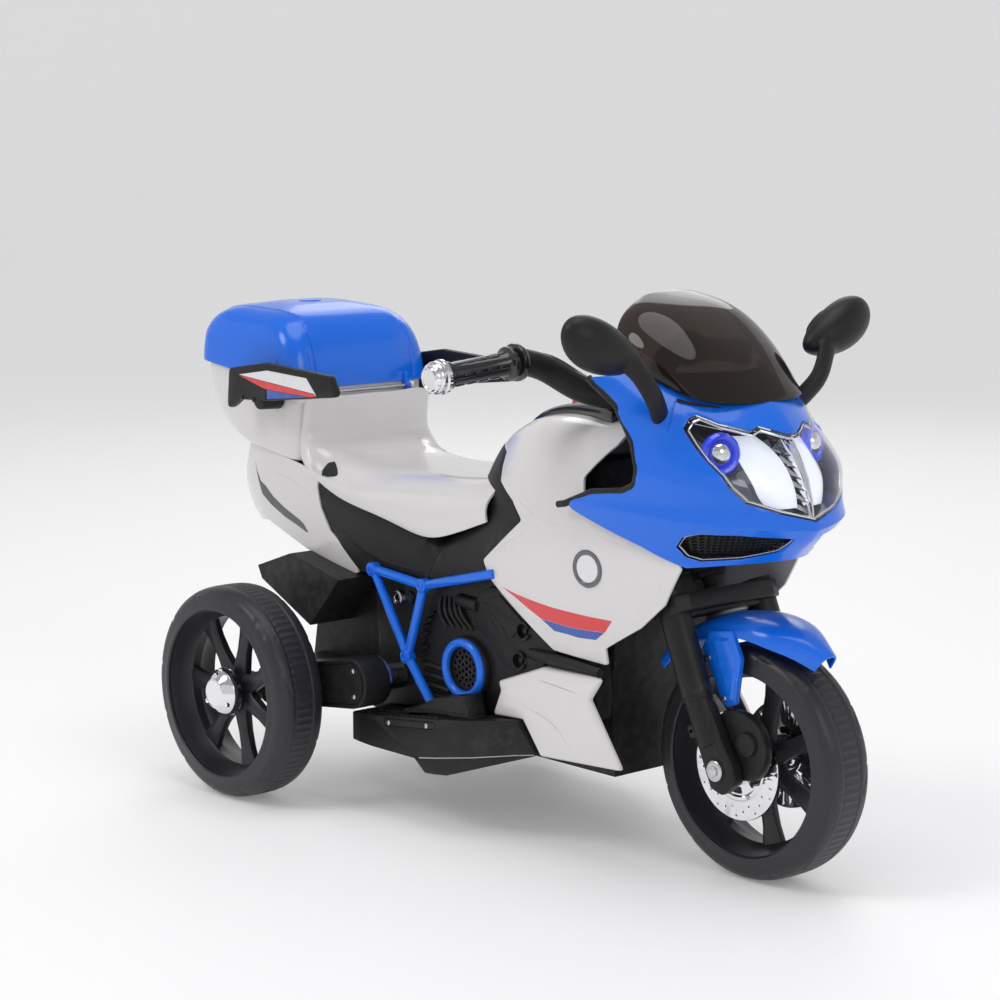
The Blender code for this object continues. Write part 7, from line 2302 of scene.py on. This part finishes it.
def pedal():
    """A faceted wedge with a ribbed tread, on its hinge knuckle."""
    line = [(0.235, -0.004), (0.294, 0.025), (0.352, 0.038), (0.361, 0.01), (0.294, 0.006)]
    made = side_block("pedal_wedge", [(a, b, 0.002) for a, b in line], RIGHT, PEDAL_IN, PEDAL_OUT, 0.0016,
                      rear_line)
    hinge = rod("knuckle", rear(PEDAL_HINGE[0], -PEDAL_OUT, PEDAL_HINGE[1]),
                rear(PEDAL_HINGE[0], -PEDAL_IN, PEDAL_HINGE[1]),
                0.005, None, 32, 0.0006)
    join(made, hinge)
    grooves = []
    for n in range(4):
        dx = 0.304 + 0.012 * n
        top = 0.025 + (dx - 0.294) / 0.058 * 0.013
        grooves.append(rod("groove", rear(dx, -PEDAL_OUT + 0.004, top + 0.0004),
                           rear(dx, -PEDAL_IN - 0.004, top + 0.0004), 0.0012, None, 10))
    seam = side_block("seam", [(0.262, 0.0062), (0.36, 0.017), (0.36, 0.0158), (0.262, 0.005)], RIGHT,
                      PEDAL_OUT - 0.001, 0.17, 0.0, rear_line)
    cut(made, gather(*grooves), seam)
    show(made, "pedal", "satin_black", ("accelerator_pedal",), 28.0)


# Lower fairings
FAIRING_LINE = [(-0.327, 0.059), (-0.249, 0.088), (-0.145, 0.09), (-0.165, 0.062), (-0.11, -0.015),
                (-0.249, -0.023),
                (-0.281, 0.017), (-0.337, 0.014), (-0.322, 0.048)]
FAIRING_OUT = 0.126


def lower_fairings():
    for side, label in SIDES:
        levels = ((0.0, ENGINE_FACE + 0.001), (0.0, FAIRING_OUT - 0.006), (0.0008, FAIRING_OUT - 0.0028),
                  (0.0026, FAIRING_OUT - 0.0008), (0.005, FAIRING_OUT))
        rings = [[Vector((x, side * y, z)) for x, z in rounded(inset(front_line(FAIRING_LINE), margin),
                                                               0.004, 3)]
                 for margin, y in levels]
        made = loft(f"lower_fairing_{label}_shell", rings)
        cut(made, block("hollow", inset(front_line(FAIRING_LINE), 0.004),
                        *beside(side, 0.09, FAIRING_OUT - 0.012)))
        rim = [(-0.16, 0.094), (-0.13, 0.094), (-0.15, 0.062), (-0.095, -0.02), (-0.125, -0.028),
               (-0.178, 0.06)]
        cut(made, side_block("rim", rim, side, 0.09, FAIRING_OUT - 0.008, 0.0, front_line))
        crease = [front(dx, side * (FAIRING_OUT + 0.0002), dz) for dx,
                  dz in ((-0.312, 0.048), (-0.262, 0.033), (-0.225, 0.022), (-0.196, -0.003))]
        cut(made, tube("crease", crease, 0.0013, radii=(0.2, 0.8, 1.2, 0.2), fine=8, sides=3))
        fold = [front(dx, side * (FAIRING_OUT - 0.0004), dz) for dx,
                dz in ((-0.268, 0.073), (-0.215, 0.07), (-0.178, 0.066))]
        cut(made, tube("fold", fold, 0.0009, radii=(0.2, 1.0, 0.3), fine=6, sides=2))
        cut(made, board_room())
        show(largest(made), "chassis", "white_shell", (f"lower_fairing_{label}",), 28.0)


def board_room():
    """The footboard's outer form, grown by the seam, to let a fairing clear it."""
    return block("room", inset(rounded(rear_line(BOARD_SIDE), 0.006, 4), -0.0006), -0.199, 0.201)


# Handle wings
WING_LINE = [(-0.119, 0.4115), (-0.0387, 0.4237), (0.0984, 0.4167), (0.1146, 0.3897), (-0.0398, 0.373),
             (-0.0959, 0.3704), (-0.1247, 0.3524)]
WING_OUT = 0.16
WING_IN = 0.148
WING_PRINT = [(-0.101, 0.4042), (-0.0336, 0.4152), (0.052, 0.4112), (0.076, 0.3866), (0.056, 0.3846),
              (-0.036, 0.3745),
              (-0.036, 0.3882), (-0.0439, 0.3892)]


def handle_wings():
    """A black grab plate with a raised frame round a plain three-colour print."""
    for side, label in SIDES:
        made = side_block(f"wing_plate_{label}", [(a, b, 0.008) for a, b in WING_LINE], side, WING_IN,
                          WING_OUT, 0.0026, rear_line)
        x, z = WING_BOSS
        boss = rod("boss", rear(x, side * 0.1195, z), rear(x, side * (WING_IN + 0.004), z), 0.0142, 0.0128,
                   48, 0.0015)
        root = slab("root", rear(-0.11, side * 0.1265, 0.372), rear(-0.085, side * 0.15, 0.41), 0.003)
        join(made, boss, root)
        field = side_block("field", [(a, b, 0.0015) for a, b in WING_PRINT], side, WING_OUT - 0.0012,
                           WING_OUT + 0.002, 0.0, rear_line)
        dots = [rod("dot", rear(dx, side * (WING_OUT - 0.0015), dz), rear(dx, side * (WING_OUT + 0.003), dz),
                    0.0026, None, 20)
                for dx, dz in ((-0.098, 0.364), (-0.086, 0.374))]
        cut(made, field, *dots)
        show(made, "chassis", "satin_black", (f"handle_wing_{label}",), 32.0)
        low, high = WING_OUT - 0.0016, WING_OUT - 0.0008
        white = [(-0.097, 0.4042), (-0.0336, 0.414), (0.0512, 0.4101), (0.0725, 0.3882), (0.0665, 0.3911)]
        red = [(-0.097, 0.4036), (0.0665, 0.3905), (0.0722, 0.3876), (0.06, 0.3858), (-0.035, 0.3887),
               (-0.0439, 0.39),
               (-0.0925, 0.401)]
        blue = [(-0.035, 0.3882), (0.056, 0.3854), (-0.035, 0.3757)]
        for print_name, outline, finish, slot in (("white", white, "ink_white", "white_gloss"),
                                                  ("red", red, "ink_red", "red_plastic"),
                                                  ("blue", blue, "ink_blue", "blue_gloss")):
            patch = block(f"wing_print_{print_name}_{label}", rear_line(outline), *beside(side, low, high))
            show(patch, "chassis", finish)
        screw = screw_head(f"wing_screw_{label}", rear(x, side * WING_OUT, z + 0.001), (0, side, 0), 0.0038)
        show(screw, "chassis", "satin_black")


# Stage: a pale floor that curves up all round, soft lights and the camera
PHOTO_AT = Vector((2.41052, -2.19979, 0.89088))
PHOTO_AZIMUTH = math.radians(48.1906)
PHOTO_DOWN = math.radians(8.5174)
PHOTO_LENS = 93.0138
FLOOR_TONES = (0.88, 0.91)
FLOOR_GLOW = 0.17
FLOOR_FLAT = 5.0
FLOOR_CURVE = 3.0
SKY_STRENGTH = 0.4
# Each light's name, place, target, width in metres and power in watts
LIGHTS = (("key_light", (-0.9, -2.6, 3.2), (0.1, 0.0, 0.3), 1.6, 32.0),
          ("front_light", (3.4, -0.6, 2.2), (0.1, 0.0, 0.3), 1.8, 16.0),
          ("back_light", (-2.2, 2.6, 2.6), (0.0, 0.0, 0.4), 2.4, 20.0),
          ("top_light", (0.2, 0.1, 3.8), (0.0, 0.0, 0.0), 2.6, 34.0))


def soft_light(name, place, target, reach, power):
    clear_choice()
    bpy.ops.object.light_add(type="AREA", location=place)
    lamp = bpy.context.object
    lamp.name = name
    lamp.data.shape = "DISK"
    lamp.data.size = reach
    lamp.data.energy = power
    lamp.rotation_euler = (Vector(target) - Vector(place)).to_track_quat("-Z", "Y").to_euler()


def stage():
    """The floor's material, the floor, the lights, the sky and the camera."""
    made, tree, shader = blank_material("studio_floor")
    place = node(tree, "ShaderNodeTexCoord")["Object"]
    cloud = node(tree, "ShaderNodeTexNoise", {"Vector": place, "Scale": 0.6, "Detail": 2.0})["Fac"]
    shade = span(tree, cloud, 0.0, 1.0, *FLOOR_TONES)
    tint = node(tree, "ShaderNodeCombineColor", {"Red": shade, "Green": shade,
                                                 "Blue": value_math(tree, "MULTIPLY", shade, 1.01)})
    tree.links.new(tint["Color"], shader.inputs["Base Color"])
    shader.inputs["Emission Color"].default_value = (1.0, 1.0, 1.0, 1.0)
    shader.inputs["Emission Strength"].default_value = FLOOR_GLOW
    tree.links.new(span(tree, cloud, 0.0, 1.0, 0.55, 0.65), shader.inputs["Roughness"])
    profile = [(0.001, 0.0), (1.5, 0.0), (3.0, 0.0), (FLOOR_FLAT, 0.0)]
    for step in range(1, 11):
        turn = math.radians(9 * step)
        profile.append((FLOOR_FLAT + FLOOR_CURVE * math.sin(turn), FLOOR_CURVE
                        - FLOOR_CURVE * math.cos(turn)))
    profile.append((FLOOR_FLAT + FLOOR_CURVE, 5.0))
    rows = [[Vector((r * math.cos(math.tau * n / 96), r * math.sin(math.tau * n / 96), z)) for n in range(97)]
            for r, z in profile]
    floor = sheet("studio_floor", rows, cyclic=True)
    face_out(floor, Vector((0.0, 0.0, 4.0)))
    smooth(floor, 60.0)
    floor.data.materials.append(made)
    for light in LIGHTS:
        soft_light(*light)
    air = bpy.data.worlds.new("Studio air")
    air.use_nodes = True
    air.node_tree.nodes["Background"].inputs["Color"].default_value = (1.0, 1.0, 1.0, 1.0)
    air.node_tree.nodes["Background"].inputs["Strength"].default_value = SKY_STRENGTH
    bpy.context.scene.world = air
    bpy.context.scene.view_settings.view_transform = "Standard"
    look = Vector((-math.sin(PHOTO_AZIMUTH) * math.cos(PHOTO_DOWN),
                   math.cos(PHOTO_AZIMUTH) * math.cos(PHOTO_DOWN),
                   -math.sin(PHOTO_DOWN)))
    clear_choice()
    bpy.ops.object.camera_add(location=PHOTO_AT, rotation=look.to_track_quat("-Z", "Y").to_euler())
    eye = bpy.context.object
    eye.name = "photo_camera"
    eye.data.lens = PHOTO_LENS
    eye.data.sensor_width = 36.0
    eye.data.clip_end = 60.0
    bpy.context.scene.camera = eye


# Operators
class RIDEON_OT_finishes(bpy.types.Operator):
    """Make the plastics, metals, prints and clear plastics, and dress the hidden solids"""
    bl_idname = "rideon.finishes"
    bl_label = "Finishes"

    def execute(self, context):
        make_finishes()
        dress_kept_nodes()
        return {"FINISHED"}


class RIDEON_OT_wheels(bpy.types.Operator):
    """Add the three wheels with tread, twisted spokes and hubs"""
    bl_idname = "rideon.wheels"
    bl_label = "Wheels"

    def execute(self, context):
        wheels()
        return {"FINISHED"}


class RIDEON_OT_hub_caps(bpy.types.Operator):
    """Add the plated caps of the rear wheels"""
    bl_idname = "rideon.hub_caps"
    bl_label = "Hub caps"

    def execute(self, context):
        hub_caps()
        return {"FINISHED"}


class RIDEON_OT_brake_discs(bpy.types.Operator):
    """Add the drilled discs of the front wheel"""
    bl_idname = "rideon.brake_discs"
    bl_label = "Brake discs"

    def execute(self, context):
        brake_discs()
        return {"FINISHED"}


class RIDEON_OT_forks(bpy.types.Operator):
    """Add the fork legs, disc covers, axle nuts and yoke"""
    bl_idname = "rideon.forks"
    bl_label = "Front fork"

    def execute(self, context):
        forks()
        return {"FINISHED"}


class RIDEON_OT_mudguard(bpy.types.Operator):
    """Add the front mudguard with its legs and screws"""
    bl_idname = "rideon.mudguard"
    bl_label = "Front mudguard"

    def execute(self, context):
        mudguard()
        return {"FINISHED"}


class RIDEON_OT_handlebar(bpy.types.Operator):
    """Add the handlebar, grips and end weights"""
    bl_idname = "rideon.handlebar"
    bl_label = "Handlebar and grips"

    def execute(self, context):
        handlebar()
        return {"FINISHED"}


class RIDEON_OT_nose(bpy.types.Operator):
    """Add the nose shell with its openings and inner bands"""
    bl_idname = "rideon.nose"
    bl_label = "Nose"

    def execute(self, context):
        nose()
        return {"FINISHED"}


class RIDEON_OT_lamp(bpy.types.Operator):
    """Add the lamp's clear cover and everything behind it"""
    bl_idname = "rideon.lamp"
    bl_label = "Headlamp"

    def execute(self, context):
        lamp_lens()
        lamp_inside()
        return {"FINISHED"}


class RIDEON_OT_grilles(bpy.types.Operator):
    """Add the mesh grilles under the lamp"""
    bl_idname = "rideon.grilles"
    bl_label = "Grilles"

    def execute(self, context):
        grilles()
        return {"FINISHED"}


class RIDEON_OT_windscreen(bpy.types.Operator):
    """Add the smoked screen and its seal"""
    bl_idname = "rideon.windscreen"
    bl_label = "Windscreen"

    def execute(self, context):
        windscreen()
        return {"FINISHED"}


class RIDEON_OT_mirrors(bpy.types.Operator):
    """Add both mirrors on their stems"""
    bl_idname = "rideon.mirrors"
    bl_label = "Mirrors"

    def execute(self, context):
        mirrors()
        return {"FINISHED"}


class RIDEON_OT_dashboard(bpy.types.Operator):
    """Add the dashboard tongue with its two rockers and the horn button"""
    bl_idname = "rideon.dashboard"
    bl_label = "Dashboard and switches"

    def execute(self, context):
        dashboard()
        return {"FINISHED"}


class RIDEON_OT_flanks(bpy.types.Operator):
    """Add the white tank and flanks and the black knee panels"""
    bl_idname = "rideon.flanks"
    bl_label = "Tank and flanks"

    def execute(self, context):
        flanks()
        side_panels()
        return {"FINISHED"}


class RIDEON_OT_prints(bpy.types.Operator):
    """Add the plain stripes, rings and sweeps printed on the shells"""
    bl_idname = "rideon.prints"
    bl_label = "Printed trim"

    def execute(self, context):
        prints()
        return {"FINISHED"}


class RIDEON_OT_seat(bpy.types.Operator):
    """Add the seat with its backrest"""
    bl_idname = "rideon.seat"
    bl_label = "Seat"

    def execute(self, context):
        seat()
        return {"FINISHED"}


class RIDEON_OT_box(bpy.types.Operator):
    """Add the storage box and its hinged lid"""
    bl_idname = "rideon.box"
    bl_label = "Storage box and lid"

    def execute(self, context):
        storage_box()
        box_lid()
        return {"FINISHED"}


class RIDEON_OT_tail(bpy.types.Operator):
    """Add the tail shells"""
    bl_idname = "rideon.tail"
    bl_label = "Tail"

    def execute(self, context):
        tail()
        return {"FINISHED"}


class RIDEON_OT_wings(bpy.types.Operator):
    """Add the grab plates beside the box with their print"""
    bl_idname = "rideon.wings"
    bl_label = "Handle wings"

    def execute(self, context):
        handle_wings()
        return {"FINISHED"}


class RIDEON_OT_engine(bpy.types.Operator):
    """Add the engine covers with their fins, head covers, pipes and speaker trims"""
    bl_idname = "rideon.engine"
    bl_label = "Engine covers"

    def execute(self, context):
        for side, label in SIDES:
            engine_cover(side, label)
        charging_socket()
        return {"FINISHED"}


class RIDEON_OT_trellis(bpy.types.Operator):
    """Add the blue tube frames"""
    bl_idname = "rideon.trellis"
    bl_label = "Trellis frames"

    def execute(self, context):
        trellis()
        return {"FINISHED"}


class RIDEON_OT_fairings(bpy.types.Operator):
    """Add the white fairings below the engine"""
    bl_idname = "rideon.fairings"
    bl_label = "Lower fairings"

    def execute(self, context):
        lower_fairings()
        return {"FINISHED"}


class RIDEON_OT_footboard(bpy.types.Operator):
    """Add the footboard with its treads, the pedal and the gearbox cover"""
    bl_idname = "rideon.footboard"
    bl_label = "Footboard, pedal and gearbox"

    def execute(self, context):
        footboard()
        pedal()
        gearbox()
        return {"FINISHED"}


class RIDEON_OT_stage(bpy.types.Operator):
    """Set up the floor, the lights and the camera"""
    bl_idname = "rideon.stage"
    bl_label = "Stage"

    def execute(self, context):
        stage()
        return {"FINISHED"}


STEPS = (RIDEON_OT_stage, RIDEON_OT_finishes, RIDEON_OT_wheels, RIDEON_OT_hub_caps, RIDEON_OT_brake_discs,
         RIDEON_OT_forks, RIDEON_OT_mudguard, RIDEON_OT_handlebar, RIDEON_OT_nose, RIDEON_OT_lamp,
         RIDEON_OT_grilles,
         RIDEON_OT_windscreen, RIDEON_OT_mirrors, RIDEON_OT_dashboard, RIDEON_OT_flanks, RIDEON_OT_prints,
         RIDEON_OT_seat, RIDEON_OT_box, RIDEON_OT_tail, RIDEON_OT_wings, RIDEON_OT_engine, RIDEON_OT_trellis,
         RIDEON_OT_fairings, RIDEON_OT_footboard)


class RIDEON_PT_sidebar(bpy.types.Panel):
    """Sizes, colours and the making steps"""
    bl_idname = "RIDEON_PT_sidebar"
    bl_label = "Ride-on motorcycle"
    bl_space_type = "VIEW_3D"
    bl_region_type = "UI"
    bl_category = "Ride-on"

    def draw(self, context):
        for group in (context.scene.ride_on_sizes, context.scene.ride_on_colours):
            for key in group.__annotations__:
                self.layout.prop(group, key)
        for step in STEPS:
            self.layout.operator(step.bl_idname)


CLASSES = (RideOnSizes, RideOnColours, *STEPS, RIDEON_PT_sidebar)


def register():
    for kind in CLASSES:
        bpy.utils.register_class(kind)
    bpy.types.Scene.ride_on_sizes = bpy.props.PointerProperty(type=RideOnSizes)
    bpy.types.Scene.ride_on_colours = bpy.props.PointerProperty(type=RideOnColours)


def unregister():
    del bpy.types.Scene.ride_on_colours
    del bpy.types.Scene.ride_on_sizes
    for kind in reversed(CLASSES):
        bpy.utils.unregister_class(kind)


def main():
    register()
    for step in STEPS:
        group, name = step.bl_idname.split(".")
        getattr(getattr(bpy.ops, group), name)()


if __name__ == "__main__":
    main()
